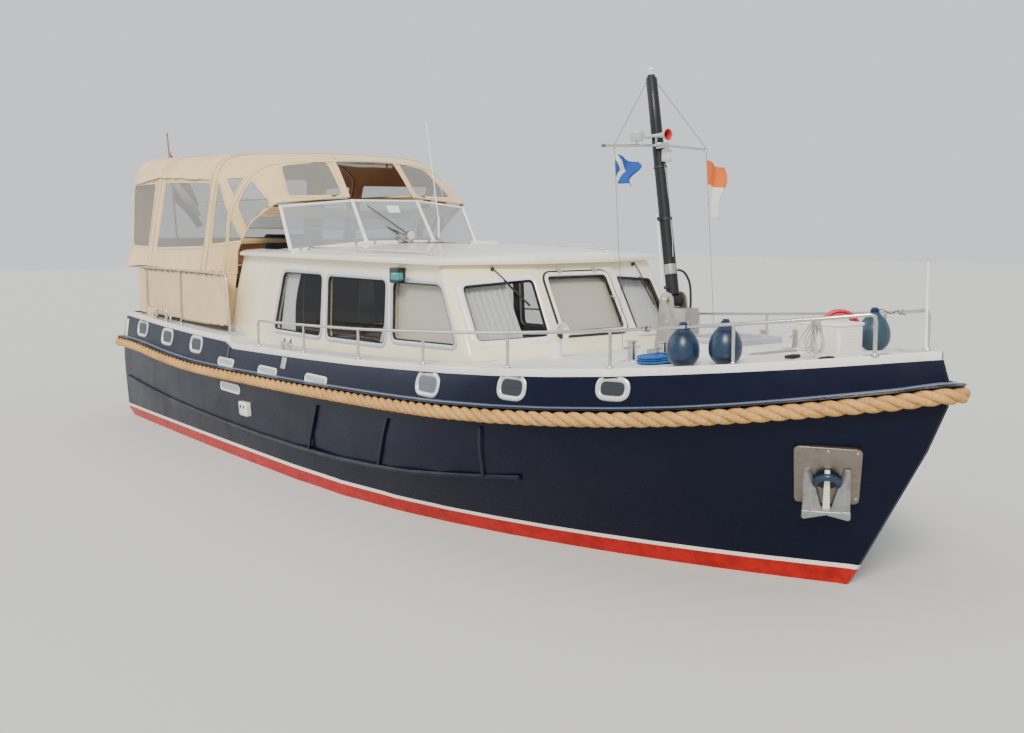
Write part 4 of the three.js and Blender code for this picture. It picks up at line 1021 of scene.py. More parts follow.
class Paint:
    """The finishes used on the boat, one for each material."""

    HULL = HullEnamel("navy_hull_enamel", "#070d24", 0.28, dirt="#18203a", dirt_share=0.12, coat=0.04, shine=0.15)
    STRAKE = Enamel("dark_strake_enamel", "#0e1322", 0.4, dirt="#4a5266", coat=0.05, shine=0.2)
    CAP = Enamel("white_deck_enamel", "#eceae1", 0.3, dirt="#a8a290", dirt_share=0.3)
    CABIN = Enamel("cream_cabin_enamel", "#f0e5c6", 0.28, dirt="#b5aa8b", dirt_share=0.22)
    ROOF = Enamel("white_roof_enamel", "#eeece4", 0.32, dirt="#aaa69a", dirt_share=0.35)
    NON_SKID = NonSkid("pale_grey_non_skid_paint", "#cfd4d8", 0.7)
    FORE_SAND = NonSkid("white_non_skid_paint", "#e6e7e3", 0.6, deep="#cfd2d0", fade="#d9dbd8")
    STAINLESS = Metal("polished_stainless_tube", "#cfcac3", 0.18, 1.0)
    SATIN = Metal("satin_stainless_plate", "#b9b4ab", 0.36, 1.0, stain_share=0.4)
    ALLOY = Metal("anodised_window_frame", "#c9cdd1", 0.4, 0.7, stain_share=0.15)
    WHITE_FRAME = Enamel("white_window_frame_enamel", "#e8e8e4", 0.3)
    RIM = Metal("polished_porthole_rim", "#dcdcd8", 0.3, 0.6, stain_share=0.15)
    FLAP = Enamel("grey_freeing_port_enamel", "#a9adad", 0.45)
    # Painted highlight: the lighter grey of the ledge's upper edge, where light catches it.
    LEDGE_HIGHLIGHT = Enamel("ledge_painted_highlight_enamel", "#59647a", 0.4, dirt="#8d95a3")
    GASKET = Moulded("black_rubber_gasket", "#17181a", 0.6)
    BLACK = Moulded("black_moulded_plastic", "#1b1c1f", 0.45)
    MAST = Enamel("charcoal_mast_enamel", "#191b1f", 0.42, dirt="#3a3d42", coat=0.1, shine=0.3)
    TABLE = Metal("brushed_tabernacle_plate", "#b5ada0", 0.42, 1.0, stain_share=0.5)
    GLASS = Glass("toughened_cabin_glass", "#23292c", 0.03, haze=0.04, cover=0.15)
    # Partly painted shade: the near-black colour stands for the dark inside behind the portholes; the shine is the
    # glass's own.
    PORTHOLE_GLASS_ON_PAINTED_SHADE = Glass("porthole_glass_with_painted_shade", "#20272d", 0.06, haze=0.08, cover=0.85)
    SMOKED = Glass("smoked_windscreen_glass", "#a3abb0", 0.05, haze=0.05, cover=0.42)
    VINYL = Glass("clear_canopy_vinyl", "#a5a8a2", 0.07, haze=0.06, cover=0.3)
    CANOPY = Canvas("cream_acrylic_canvas", "#e8ca97", 0.85, shade="#d8b67e")
    # Painted light: the canopy's underside, coloured as if the sun shone through the canvas.
    PAINTED_BACKLIGHT_CANVAS = Canvas("backlit_canvas_underside", "#c48f5e", 0.9, shade="#a87648")
    STITCH = Moulded("tan_sewing_thread", "#9c8460", 0.7, scuff="#b9a27c", pebble=0.003)
    ROLLED = Glass("rolled_clear_vinyl", "#c9cbc8", 0.18, haze=0.1, cover=0.75)
    APRON = Canvas("beige_weather_canvas", "#d6b687", 0.85, shade="#c7a374")
    ROPE = Fibre("golden_fender_rope", "#d8a660", 0.75, deep="#7d5526", yarn=0.02, fuzz=0.45)
    BLUE_LINE = Fibre("blue_polypropylene_line", "#1f6fc4", 0.5, deep="#103f7d", yarn=0.008)
    WHITE_LINE = Fibre("white_braided_line", "#ecebe6", 0.6, deep="#a9a79d", yarn=0.005)
    NAVY_LINE = Fibre("navy_fender_line", "#27364d", 0.6, deep="#131c2b", yarn=0.006)
    TWINE = Fibre("dark_lacing_twine", "#3a3733", 0.7, deep="#1d1b19", yarn=0.004)
    RED_HOSE = Moulded("red_rubber_hose", "#c8263a", 0.4, scuff="#e3757f")
    FENDER = Moulded("dark_blue_fender_vinyl", "#142a44", 0.33, scuff="#3d5a74", pebble=0.006)
    GREY_FENDER = Moulded("grey_blue_fender_vinyl", "#243c4a", 0.36, scuff="#6f8793", pebble=0.006)
    WOOD = Timber("varnished_mahogany", "#5a2b16", 0.35)
    SEAT = Moulded("dark_blue_seat_vinyl", "#2b3444", 0.5, scuff="#48546a", pebble=0.003)
    SETTEE = Moulded("blue_grey_settee_cloth", "#4a5568", 0.8, scuff="#5c6880", pebble=0.003)
    GREY_PLASTIC = Moulded("grey_moulded_plastic", "#b2b5b5", 0.4, scuff="#8f9393")
    PAINTED_HOLE_SHADE = Moulded("grey_shaded_hole", "#8a8c8c", 0.7)
    GREEN_PLASTIC = Moulded("green_tip_plastic", "#1f7a4a", 0.4)
    EYE_BLUE = Moulded("blue_fender_eye_vinyl", "#16305f", 0.35, scuff="#33507e", pebble=0.004)
    HATCH_PANE = Glass("grey_acrylic_hatch_pane", "#8f979b", 0.12, haze=0.1, cover=0.7)
    STAY = Fibre("grey_rigging_wire", "#8e8c88", 0.45, deep="#5d5b58", yarn=0.003)
    PLATE = Metal("brown_grey_anchor_plate", "#8d857c", 0.38, 1.0, stain="#6b6157", stain_share=0.5)
    STAFF = Timber("varnished_ash_staff", "#b98a55", 0.35)
    FLAG_BLUE = Cloth("blue_flag_bunting", "#1d50a8", 0.8, sheer=0.15)
    FLAG_DARK_BLUE = Cloth("dark_blue_flag_bunting", "#1a2f6b", 0.8, sheer=0.1)
    FLAG_WHITE = Cloth("white_flag_bunting", "#e8e8e4", 0.8, sheer=0.2)
    FLAG_ORANGE = Cloth("orange_flag_bunting", "#e2701f", 0.8, sheer=0.15)
    FLAG_RED = Cloth("red_flag_bunting", "#b3202c", 0.8, sheer=0.15)
    LEATHER = Moulded("black_wheel_leather", "#1a1a1b", 0.5)
    CURTAIN = Cloth("white_net_curtain", "#f6fafb", 0.8, sheer=0.25)
    BLIND = Cloth("beige_roller_blind", "#ebe4d4", 0.85, sheer=0.1)
    ANTIFOULING = Enamel("red_antifouling_paint", "#b31d1a", 0.7, dirt="#6f1f1c", coat=0.0)
    BRONZE = Metal("cast_bronze", "#9a7340", 0.35, 1.0)
    ZINC = Metal("galvanised_anchor_steel", "#a7aaab", 0.5, 0.9, stain="#7b6a57", stain_share=0.5)
    LENS = Glass("teal_lamp_lens", "#2b8c93", 0.1, cover=0.85)
    CLEAR_LENS = Glass("clear_lamp_lens", "#e9eef0", 0.06, cover=0.55)
    PAPER = Moulded("white_paper_card", "#e6e6e0", 0.8, scuff="#cfcfc6", scuff_share=0.15, pebble=0.002)
    WHITE_PLASTIC = Moulded("white_moulded_plastic", "#e9e9e5", 0.35, scuff="#b9b9b2")
    RED_PLASTIC = Moulded("red_horn_enamel", "#b8202c", 0.35, scuff="#d9636b")


def seat(
    piece: Piece, finish: Finish, body: Body = Body.BOAT, replaces: Sequence[str] = (),
) -> Piece:
    """Finishes a piece and sets it on its body.

    Args:
        piece: The piece, already in place.
        finish: Its surface finish.
        body: The body that carries it.
        replaces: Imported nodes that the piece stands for.

    Returns:
        The same piece.
    """
    select_only(piece)
    bpy.ops.object.transform_apply(location=True, rotation=True, scale=True)
    piece.data.materials.clear()
    piece.data.materials.append(finish.material())
    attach(piece, body.value)
    if replaces:
        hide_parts(*replaces)
    LOG.info("%s: %d faces on %s", piece.name, len(piece.data.polygons), body.value)
    return piece


def paint(finish: Finish, *nodes: str) -> None:
    """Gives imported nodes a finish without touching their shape.

    Args:
        finish: The finish.
        nodes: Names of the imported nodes.
    """
    for node in nodes:
        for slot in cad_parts[node].material_slots:
            slot.material = finish.material()


def smoothed(
    node: str, finish: Finish, body: Body = Body.BOAT, angle: float = 35.0, edge: float = 0.0,
    end: float | None = None,
) -> Piece:
    """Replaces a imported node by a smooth-shaded copy with rounded edges."""
    return seat(skin_of(node, f"{node}_skin", angle, edge, end), finish, body, (node,))


Surface = Callable[[float, float], tuple[Vector, Vector]]


def overlay(
    name: str, outline: Sequence[Point], profile: Sequence[tuple[float, float]], surface: Surface,
    centre: Point | None = None,
) -> Piece:
    """Lays a closed ring or patch on a surface.

    Args:
        name: The piece's name.
        outline: The outer outline as pairs on the surface's own plan.
        profile: Pairs of share, from the centre at 0 to the outline at 1, and height over the surface.
        surface: Gives the point and normal for a pair.
        centre: The pair at share 0, or None for the outline's middle.

    Returns:
        The piece, welded and closed.
    """
    if centre is None:
        centre = [sum(p[k] for p in outline) / len(outline) for k in (0, 1)]
    count = len(outline)

    def place(u: float, v: float) -> Vector:
        a, b = outline[round(u * count) % count][:2]
        share, lift = profile[round(v * (len(profile) - 1))]
        spot, normal = surface(between(centre[0], a, share), between(centre[1], b, share))
        return spot + normal * lift

    piece = grid(name, len(profile), count + 1, place)
    edit(piece, lambda: weld(2e-5), face_outwards)
    shade(piece, 40)
    return piece


def inset(outline: Sequence[Point], width: float) -> list[tuple[float, float]]:
    """Moves a closed outline of pairs inwards by a width.

    Args:
        outline: The outline.
        width: The distance; a negative one moves it outwards.

    Returns:
        The moved outline.
    """
    count = len(outline)
    turn = sum(
        outline[i][0] * outline[(i + 1) % count][1] - outline[(i + 1) % count][0] * outline[i][1] for i in range(count)
    )
    sign = 1 if turn > 0 else -1
    out = []
    for i in range(count):
        a, b = outline[i - 1], outline[(i + 1) % count]
        dx, dy = b[0] - a[0], b[1] - a[1]
        size = math.hypot(dx, dy) or 1.0
        out.append((outline[i][0] - sign * dy / size * width, outline[i][1] + sign * dx / size * width))
    return out


def band(
    name: str, outline: Sequence[Point], width: float, section: Sequence[tuple[float, float]], surface: Surface,
) -> Piece:
    """Lays a closed moulding of even width along an outline on a surface.

    Args:
        name: The piece's name.
        outline: The outer outline as pairs.
        width: Width of the moulding.
        section: Pairs of share across the width, from the outline inwards, and height over the surface.
        surface: Gives the point and normal for a pair.

    Returns:
        The closed ring.
    """
    rows = [outline if share == 0 else inset(outline, width * share) for share, _ in section]
    count = len(outline)

    def place(u: float, v: float) -> Vector:
        k = round(v * len(section)) % len(section)
        spot, normal = surface(*rows[k][round(u * count) % count][:2])
        return spot + normal * section[k][1]

    piece = grid(name, len(section) + 1, count + 1, place)
    edit(piece, lambda: weld(2e-6), face_outwards)
    shade(piece, 40)
    return piece


# Camera, floor and light


@dataclass(frozen=True)
class PhotoCamera:
    """The photograph's camera, found from points of the boat whose place is known."""

    place: Point = (9.79, -7.07, 2.68)
    forward: Point = (-0.7975, 0.5909, -0.1219)
    lens: float = 41.6
    sensor: float = 36.0
    roll: float = -0.12

    def build(self) -> None:
        """Adds the camera and makes it the scene's."""
        clear_selection()
        bpy.ops.object.camera_add(location=self.place)
        camera = bpy.context.object
        camera.name = "photo_camera"
        aim = Vector(self.forward).to_track_quat("-Z", "Y").to_matrix().to_4x4()
        turn = aim @ Matrix.Rotation(math.radians(self.roll), 4, "Z")
        camera.rotation_euler = turn.to_euler()
        camera.data.lens = self.lens
        camera.data.sensor_width = self.sensor
        camera.data.sensor_fit = "HORIZONTAL"
        bpy.context.scene.camera = camera
        LOG.info("camera for a picture of %d by %d", *PHOTO_SIZE)


@dataclass(frozen=True)
class Studio:
    """A pale floor at the waterline under soft light from the camera's left."""

    floor: Finish = Finish("pale_floor", "#cbcbc7", 0.75)
    reach: float = 60.0
    sky: str = "#dfe4ea"
    sky_strength: float = 1.2
    sun_strength: float = 3.7

    def build(self) -> None:
        """Adds the floor, the sky and the lamps."""
        ground = grid(
            "studio_floor", 9, 9,
            lambda u, v: ((u - 0.5) * 2 * self.reach, (v - 0.5) * 2 * self.reach, 0.0),
        )
        ground.data.materials.append(self.floor.material())
        world = bpy.data.worlds.new("soft_sky")
        world.use_nodes = True
        back = world.node_tree.nodes["Background"]
        back.inputs[0].default_value = linear(self.sky)
        back.inputs[1].default_value = self.sky_strength
        bpy.context.scene.world = world
        self._sun("key_sun", (14.0, -16.0, 17.0), self.sun_strength, 18.0, "#fff6e8")
        self._sun("fill_sun", (-16.0, -12.0, 9.0), self.sun_strength * 0.22, 40.0, "#e8f0ff")

    @staticmethod
    def _sun(name: str, place: Point, strength: float, angle: float, colour: str) -> None:
        """Adds a sun lamp that shines from a place to the boat.

        Args:
            name: The lamp's name.
            place: Where it shines from.
            strength: Its strength.
            angle: The width of its disc in degrees.
            colour: Its colour in hex.
        """
        clear_selection()
        bpy.ops.object.light_add(type="SUN", location=place)
        lamp = bpy.context.object
        lamp.name = name
        lamp.rotation_euler = (-Vector(place)).to_track_quat("-Z", "Y").to_euler()
        lamp.data.energy = strength
        lamp.data.angle = math.radians(angle)
        lamp.data.color = linear(colour)[:3]


# Lines on the foredeck


@dataclass
class Lines:
    """The three free lines: mooring line, bow line and hose, each wound as it is stowed."""

    deck: Solid
    post: Point = (3.24, -0.77)
    mooring_diameter: float = 0.018
    mooring_inner: float = 0.103
    mooring_pitch: float = 0.019
    mooring_turns: float = 5.25
    mooring_layers: int = 3
    plate_height: float = 0.0084
    hose_centre: Point = (3.95, 0.425)
    hose_heading: float = 52.0
    hose_diameter: float = 0.027
    hank_y: float = -0.452
    hank_diameter: float = 0.01

    def build(self) -> None:
        """Winds each line."""
        self._mooring_line()
        self._bow_line()
        self._hose()

    def _mooring_line(self) -> None:
        """Winds the blue line once round the post and then into a flat coil on the deck."""
        x, y = self.post
        steps = 20
        path: list[Vector] = []

        def put(angle: float, radius: float, height: float) -> None:
            warp = 1 + 0.012 * math.sin(2 * angle + 1.0)
            px, py = x + radius * warp * math.cos(angle), y + radius * warp * math.sin(angle)
            path.append(Vector((px, py, self.deck.top(px, py).z + self.plate_height + height)))

        half = self.mooring_diameter / 2
        wrap = 0.038 + half + 0.001
        angle = 0.4
        turn = 2 * math.pi / steps
        for k in range(steps + 1):
            put(angle, wrap + 0.004 * k / steps, 0.075 - 0.015 * k / steps)
            angle += turn
        for k in range(1, steps // 2 + 1):
            t = k / (steps // 2)
            ease = t * t * (3 - 2 * t)
            put(angle, between(wrap + 0.004, self.mooring_inner, ease), between(0.06, half, ease))
            angle += turn
        reach = self.mooring_pitch * self.mooring_turns
        count = round(self.mooring_turns * steps)
        for layer in range(self.mooring_layers):
            height = half + layer * (self.mooring_diameter + 0.0005)
            for k in range(count + 1):
                share = k / count if layer % 2 == 0 else 1 - k / count
                put(angle, self.mooring_inner + reach * share, height)
                angle += turn
            if layer < self.mooring_layers - 1:
                edge = self.mooring_inner + (reach if layer % 2 == 0 else 0.0)
                for k in range(1, 5):
                    put(angle, edge, height + (self.mooring_diameter + 0.0005) * k / 5)
                    angle += turn
        piece = pipe("blue_mooring_line", path, half, 8)
        seat(piece, Paint.BLUE_LINE, replaces=("mooring_line",))
        round(length_of(path), 2)

    def _bow_line(self) -> None:
        """Winds the white line into long loops that hang from the rail."""
        half = self.hank_diameter / 2
        top = Vector((4.43, 0, 1.972))
        path: list[Vector] = [Vector((4.47, self.hank_y - 0.062, 1.978)), Vector((4.456, self.hank_y - 0.052, 1.985))]
        loops = 8
        for k in range(loops):
            # Each loop hangs in its own layer, fanned out from the one before.
            fan = math.radians((-17, 9, -6, 17, -12, 4, 13, -2)[k])
            drop = (0.21, 0.235, 0.19, 0.215, 0.23, 0.2, 0.205, 0.225)[k]
            wide = (0.045, 0.03, 0.05, 0.04, 0.028, 0.052, 0.035, 0.044)[k]
            down = Vector((math.sin(fan) - 0.12, 0, -math.cos(fan))).normalized()
            out = Vector((-down.z, 0, down.x))
            y = self.hank_y + (k - (loops - 1) / 2) * (self.hank_diameter + 0.0018)
            shape = [
                (0.014, -0.6), (0.3, -0.8), (0.65, -1.0), (0.87, -0.92), (0.97, -0.5), (1.0, 0.0), (0.97, 0.5),
                (0.87, 0.92), (0.65, 1.0), (0.3, 0.8), (0.014, 0.6),
            ]
            for reach, share in shape:
                width = wide * share * (0.35 + 0.65 * min(1.0, reach * 1.6))
                path.append(top + down * drop * reach - out * width + Vector((0, y, 0)))
            path.append(top + Vector((0, y + (self.hank_diameter + 0.0018) / 2, 0.016)))
        path = smooth_path(path[:-1], 0.01)
        piece = pipe("white_bow_line", path, half, 7)
        seat(piece, Paint.WHITE_LINE, replaces=("bow_line",))
        LOG.info("bow line of %d loops", loops)
        round(length_of(path), 2)

    def _hose(self) -> None:
        """Winds the red hose into an upright ring that stands on the deck."""
        x, y = self.hose_centre
        half = self.hose_diameter / 2
        outer, inner = 0.16 - half, 0.16 - half - self.hose_diameter
        centre = Vector((x, y, self.deck.top(x, y).z + 0.1605))
        heading = math.radians(self.hose_heading)
        forward, across = Vector((math.cos(heading), math.sin(heading), 0)), Vector((
            -math.sin(heading), math.cos(heading), 0,
        ))
        steps, turns = 28, 3
        path: list[Vector] = []
        for radius, way in ((outer, 1), (inner, -1)):
            for k in range(steps * turns + (1 if way < 0 else 0)):
                share = k / (steps * turns)
                angle = -math.pi / 2 + 2 * math.pi * turns * share
                offset = way * (share - 0.5) * 2 * (self.hose_diameter + 0.0008)
                ease = 1.0
                if way > 0 and share > 0.94:
                    t = (share - 0.94) / 0.06
                    ease = between(1.0, inner / outer, t * t * (3 - 2 * t))
                rise = Vector((0, 0, math.sin(angle) * radius * ease))
                spot = centre + forward * math.cos(angle) * radius * ease + rise
                path.append(spot + across * offset)
        piece = pipe("red_deck_hose", path, half, 10)
        end, run = path[-1], (path[-1] - path[-2]).normalized()
        nozzle = turned(
            "hose_connector",
            [(0, -0.02), (0.0132, -0.02), (0.0132, 0.0), (0.017, 0.004), (0.017, 0.024), (0.012, 0.03), (0.012, 0.044),
             (0.008, 0.044), (0.008, 0.03), (0, 0.03)],
            end, run, 20,
        )
        seat(nozzle, Paint.BLACK)
        seat(piece, Paint.RED_HOSE, replaces=("hose_coil",))
        round(length_of(path), 2)


def sweep(
    name: str, path: Sequence[Vector], section: Sequence[tuple[float, float]], loop: bool = False,
) -> Piece:
    """Sweeps a closed section along a level line.

    Args:
        name: The piece's name.
        path: The line.
        section: Pairs of distance to the line's right and height over it, in order round the section.
        loop: Whether the line closes on itself.

    Returns:
        The closed moulding.
    """
    count = len(path)
    frames = []
    for i in range(count):
        a = path[i - 1] if loop or i else path[0]
        b = path[(i + 1) % count] if loop or i < count - 1 else path[-1]
        run = (b - a).normalized()
        out = run.cross(Vector((0, 0, 1))).normalized()
        frames.append((out, out.cross(run)))
    rows = count + 1 if loop else count

    def place(u: float, v: float) -> Vector:
        i = round(u * (rows - 1)) % count
        out, up = frames[i]
        across, high = section[round(v * len(section)) % len(section)]
        return path[i] + out * across + up * high

    piece = grid(name, len(section) + 1, rows, place)
    edit(piece, lambda: weld(2e-5))
    if not loop:
        edit(piece, close_ends)
    edit(piece, face_outwards)
    shade(piece, 40)
    return piece


def oval(low: tuple[float, float], high: tuple[float, float], corner: float = 1.0, steps: int = 6) -> list[Vector]:
    """Returns an upright outline between two corners, its own corners rounded by a share of half its height.

    Args:
        low: The lowest corner.
        high: The highest corner.
        corner: The share for the rounding.
        steps: Pieces in each arc.

    Returns:
        The outline.
    """
    (a, b), (c, d) = low, high
    radius = min(c - a, d - b) / 2 * corner
    return round_corners([(a, b), (c, b), (c, d), (a, d)], radius * 1.25 if corner < 1 else radius, steps)


# Hull


@dataclass
class Hull:
    """The welded hull with its openings, ledge, stripes and everything let into its sides."""

    shell: Solid
    portholes_fore: Sequence[tuple] = (
        ((1.17, 1.2), (1.535, 1.41)), ((2.27, 1.285), (2.57, 1.49)), ((3.18, 1.364), (3.44, 1.546)),
    )
    portholes_aft: Sequence[tuple] = (
        ((-5.98, 1.16), (-5.58, 1.38)), ((-5.03, 1.125), (-4.63, 1.34)), ((-4.03, 1.114), (-3.64, 1.325)),
    )
    scuppers: Sequence[tuple] = (
        ((-3.1, 1.047), (-2.67, 1.142)), ((-2.0, 1.058), (-1.55, 1.152)), ((-0.89, 1.085), (-0.43, 1.178)),
    )
    lower_scupper: tuple = ((-3.03, 0.765), (-2.5, 0.874))
    inlet: tuple = ((-2.45, 0.556), (-2.24, 0.709))
    rope_line: Sequence[tuple[float, float]] = (
        (-6.6, 1.045), (-5.78, 1.03), (-4.69, 0.975), (-3.72, 0.955), (-2.1, 0.985), (-0.9, 1.015), (0.13, 1.05),
        (1.02, 1.085), (2.25, 1.155), (3.24, 1.23), (3.96, 1.305), (4.74, 1.425), (5.22, 1.51),
    )
    rope_radius: float = 0.06
    rope_span: tuple[float, float] = (-6.45, 4.99)
    strand_centre: float = 0.0288
    strand_radius: float = 0.0308
    lay: float = 0.375
    bow_tip: float = 5.277

    def build(self) -> None:
        """Builds the hull's pieces."""
        smoothed("hull", Paint.HULL, angle=25)
        smoothed("keel", Paint.ANTIFOULING, angle=30)
        smoothed("strake_starboard", Paint.STRAKE, angle=30)
        smoothed("strake_port", Paint.STRAKE, angle=30)
        smoothed("rudder", Paint.ANTIFOULING, Body.RUDDER, 30, 0.004)
        smoothed("propeller", Paint.BRONZE, Body.PROPELLER, 40)
        for side in Side:
            self._portholes(side)
            self._fittings(side)
            self._transom_edge(side)
        self._rope()
        self._ledge()

    def _on(self, side: Side) -> Surface:
        """Returns the hull's side as a surface of x and z."""
        return lambda x, z: self.shell.side(x, z, side)

    def _portholes(self, side: Side) -> None:
        """Builds the framed portholes of one side.

        Args:
            side: The side of the boat.
        """
        rim = ((0.0, -0.008), (0.0, 0.006), (0.14, 0.012), (0.5, 0.014), (0.82, 0.01), (1.0, 0.0), (1.0, -0.008))
        pane = ((1, -0.006), (1, 0.0015), (0.6, 0.002), (0, 0.002), (0, -0.006))
        rims, panes = [], []
        for n, ((a, b), (c, d)) in enumerate([*self.portholes_fore, *self.portholes_aft]):
            outline = oval((a, b), (c, d), 0.92, 7)
            rims.append(band(f"rim_{n}", outline, 0.042, rim, self._on(side)))
            panes.append(overlay(f"pane_{n}", inset(outline, 0.04), pane, self._on(side)))
        seat(join(f"porthole_rims_{side.word}", rims), Paint.RIM)
        # The panes lie on the hull plate with nothing behind them: their near-black colour is painted shade for the
        # dark inside, under the glass's own shine.
        seat(join(f"porthole_panes_{side.word}", panes), Paint.PORTHOLE_GLASS_ON_PAINTED_SHADE)

    def _fittings(self, side: Side) -> None:
        """Builds the freeing ports, the inlet and the chafe strip of one side.

        Args:
            side: The side of the boat.
        """
        lip = ((0.0, -0.006), (0.0, 0.008), (0.4, 0.014), (1.0, 0.009), (1.0, -0.006))
        flap = ((1, -0.006), (1, 0.004), (0.6, 0.005), (0, 0.005), (0, -0.006))
        rims, flaps = [], []
        for n, ((a, b), (c, d)) in enumerate([*self.scuppers, self.lower_scupper]):
            outline = round_corners([(a, b), (c, b), (c, d), (a, d)], 0.045, 5)
            rims.append(band(f"lip_{n}", outline, 0.022, lip, self._on(side)))
            flaps.append(overlay(f"flap_{n}", inset(outline, 0.021), flap, self._on(side)))
        seat(join(f"freeing_port_rims_{side.word}", rims), Paint.CAP)
        seat(join(f"freeing_port_flaps_{side.word}", flaps), Paint.FLAP)
        (a, b), (c, d) = self.inlet
        box = round_corners([(a, b), (c, b), (c, d), (a, d)], 0.02, 3)
        block = ((1, -0.005), (1, 0.045), (0.9, 0.052), (0, 0.052), (0, -0.005))
        slot = ((1, 0.05), (1, 0.054), (0, 0.054), (0, 0.05))
        seat(overlay(f"inlet_block_{side.word}", box, block, self._on(side)), Paint.CAP)
        # Each opening in the inlet block is a black oval laid on it: painted shade of the hole.
        holes = []
        for k in (0.3, 0.7):
            middle = between(a, c, k)
            hole = oval((middle - 0.018, between(b, d, 0.55)), (middle + 0.018, between(b, d, 0.8)), 0.9, 3)
            holes.append(overlay(f"hole_{k}", hole, slot, self._on(side)))
        seat(join(f"inlet_hole_shades_{side.word}", holes), Paint.GASKET)
        strip = [
            (a, between(1.165, 1.345, k / 10)) for a,
            order in ((-1.375, range(11)), (-1.485, range(10, -1, -1))) for k in order
        ]
        band_profile = ((1, -0.004), (1, 0.005), (0.8, 0.007), (0.5, 0.007), (0.25, 0.007), (0, 0.007), (0, -0.004))
        seat(overlay(f"chafe_plate_{side.word}", strip, band_profile, self._on(side)), Paint.SATIN)

    def _transom_edge(self, side: Side) -> None:
        """Lays the white strip along the bulwark's aft edge.

        Args:
            side: The side of the boat.
        """
        outline = [(-6.405, between(1.1, 1.355, k / 12)) for k in range(13)]
        outline += [(-6.49, between(1.355, 1.1, k / 12)) for k in range(13)]
        section = ((1, -0.004), (1, 0.004), (0.85, 0.006), (0.5, 0.006), (0, 0.006), (0, -0.004))
        seat(overlay(f"transom_edge_{side.word}", outline, section, self._on(side)), Paint.CAP)

    def rope_path(self) -> list[Vector]:
        """Returns the rope's centreline, once round the boat from the middle of the transom.

        Returns:
            The points of the closed line.
        """
        stand = self.rope_radius * 0.966 + 0.0007
        side = []
        x, fore = self.rope_span
        while x < fore:
            z = along_table(self.rope_line, x)
            spot, _ = self.shell.side(x, z, Side.STARBOARD)
            ahead, _ = self.shell.side(x + 0.04, along_table(self.rope_line, x + 0.04), Side.STARBOARD)
            run = Vector((ahead.x - spot.x, ahead.y - spot.y, 0)).normalized()
            side.append(spot + Vector((run.y, -run.x, 0)) * stand)
            x += 0.06
        z = side[0].z
        transom = self.shell.hit((-9, 0, z), (1, 0, 0))[0].x
        edge = self.shell.side(transom + 0.01, z, Side.STARBOARD)[0].y
        reach = self.rope_radius + 0.0087
        corner = [
            Vector((transom - reach * math.sin(a), edge - reach * math.cos(a), z))
            for a in (math.pi / 2 * k / 8 for k in range(8, -1, -1))
        ]
        stern = [Vector((corner[0].x, y, z)) for y in (0.0, -0.3, -0.6, -0.9, -1.2)]
        tip = Vector((self.bow_tip, 0, along_table(self.rope_line, 5.2) + 0.006))
        other = [Vector((p.x, -p.y, p.z)) for p in reversed(side)]
        nose = smooth_path([side[-2], side[-1], Vector((5.2, -0.125, tip.z - 0.004)), tip,
                            Vector((5.2, 0.125, tip.z - 0.004)), other[0], other[1]], 0.03)
        start = nose.index(min(nose, key=lambda p: (p - side[-1]).length))
        end = nose.index(min(nose, key=lambda p: (p - other[0]).length))
        half = stern + corner + side
        back = [Vector((p.x, -p.y, p.z)) for p in reversed(half[1:])]
        return half + nose[start + 1 : end] + back

    def _rope(self) -> None:
        """Lays the rope fender of three twisted strands."""
        path = even(self.rope_path(), 0.019)
        count = len(path)
        turns = round(count * 0.019 / self.lay)
        strands = []
        for n in range(3):
            line = []
            for i, spot in enumerate(path):
                run = (path[(i + 1) % count] - path[i - 1]).normalized()
                out = run.cross(Vector((0, 0, 1))).normalized()
                up = out.cross(run)
                angle = 2 * math.pi * (turns * i / count + n / 3)
                line.append(spot + (up * math.cos(angle) + out * math.sin(angle)) * self.strand_centre)
            strands.append(pipe(f"strand_{n}", line, self.strand_radius, 9, loop=True))
        seat(join("rope_fender_strands", strands), Paint.ROPE, replaces=("rope_fender",))

    def _ledge(self) -> None:
        """Adds the flat dark ledge over the rope, with a lighter strip along its upper edge as a painted highlight."""
        path = even(self.rope_path(), 0.06)
        section = [(-0.062, 0.066), (0.028, 0.066), (0.03, 0.069), (0.028, 0.073), (-0.062, 0.075)]
        seat(sweep("rope_ledge", path, section, loop=True), Paint.STRAKE)
        # Painted highlight: this strip along the ledge's upper edge is a lighter grey that stands for light caught on
        # it.
        bead = [(-0.058, 0.074), (-0.03, 0.0755), (-0.032, 0.083), (-0.058, 0.087)]
        seat(sweep("ledge_highlight_strip", path, bead, loop=True), Paint.LEDGE_HIGHLIGHT)


def even(points: Sequence[Vector], step: float, loop: bool = True) -> list[Vector]:
    """Spaces points evenly along a line.

    Args:
        points: The line.
        step: Rough distance between the points returned.
        loop: Whether the line closes on itself; an open line keeps its ends.

    Returns:
        Points a whole number of equal steps apart.
    """
    line = [*points, points[0]] if loop else list(points)
    marks = [0.0]
    for a, b in zip(line, line[1:]):
        marks.append(marks[-1] + (b - a).length)
    count = max(1, round(marks[-1] / step))
    out, k = [], 0
    for n in range(count):
        mark = marks[-1] * n / count
        while marks[k + 1] < mark:
            k += 1
        share = (mark - marks[k]) / ((marks[k + 1] - marks[k]) or 1.0)
        out.append(line[k].lerp(line[k + 1], share))
    return out if loop else [*out, points[-1]]


# Canopy


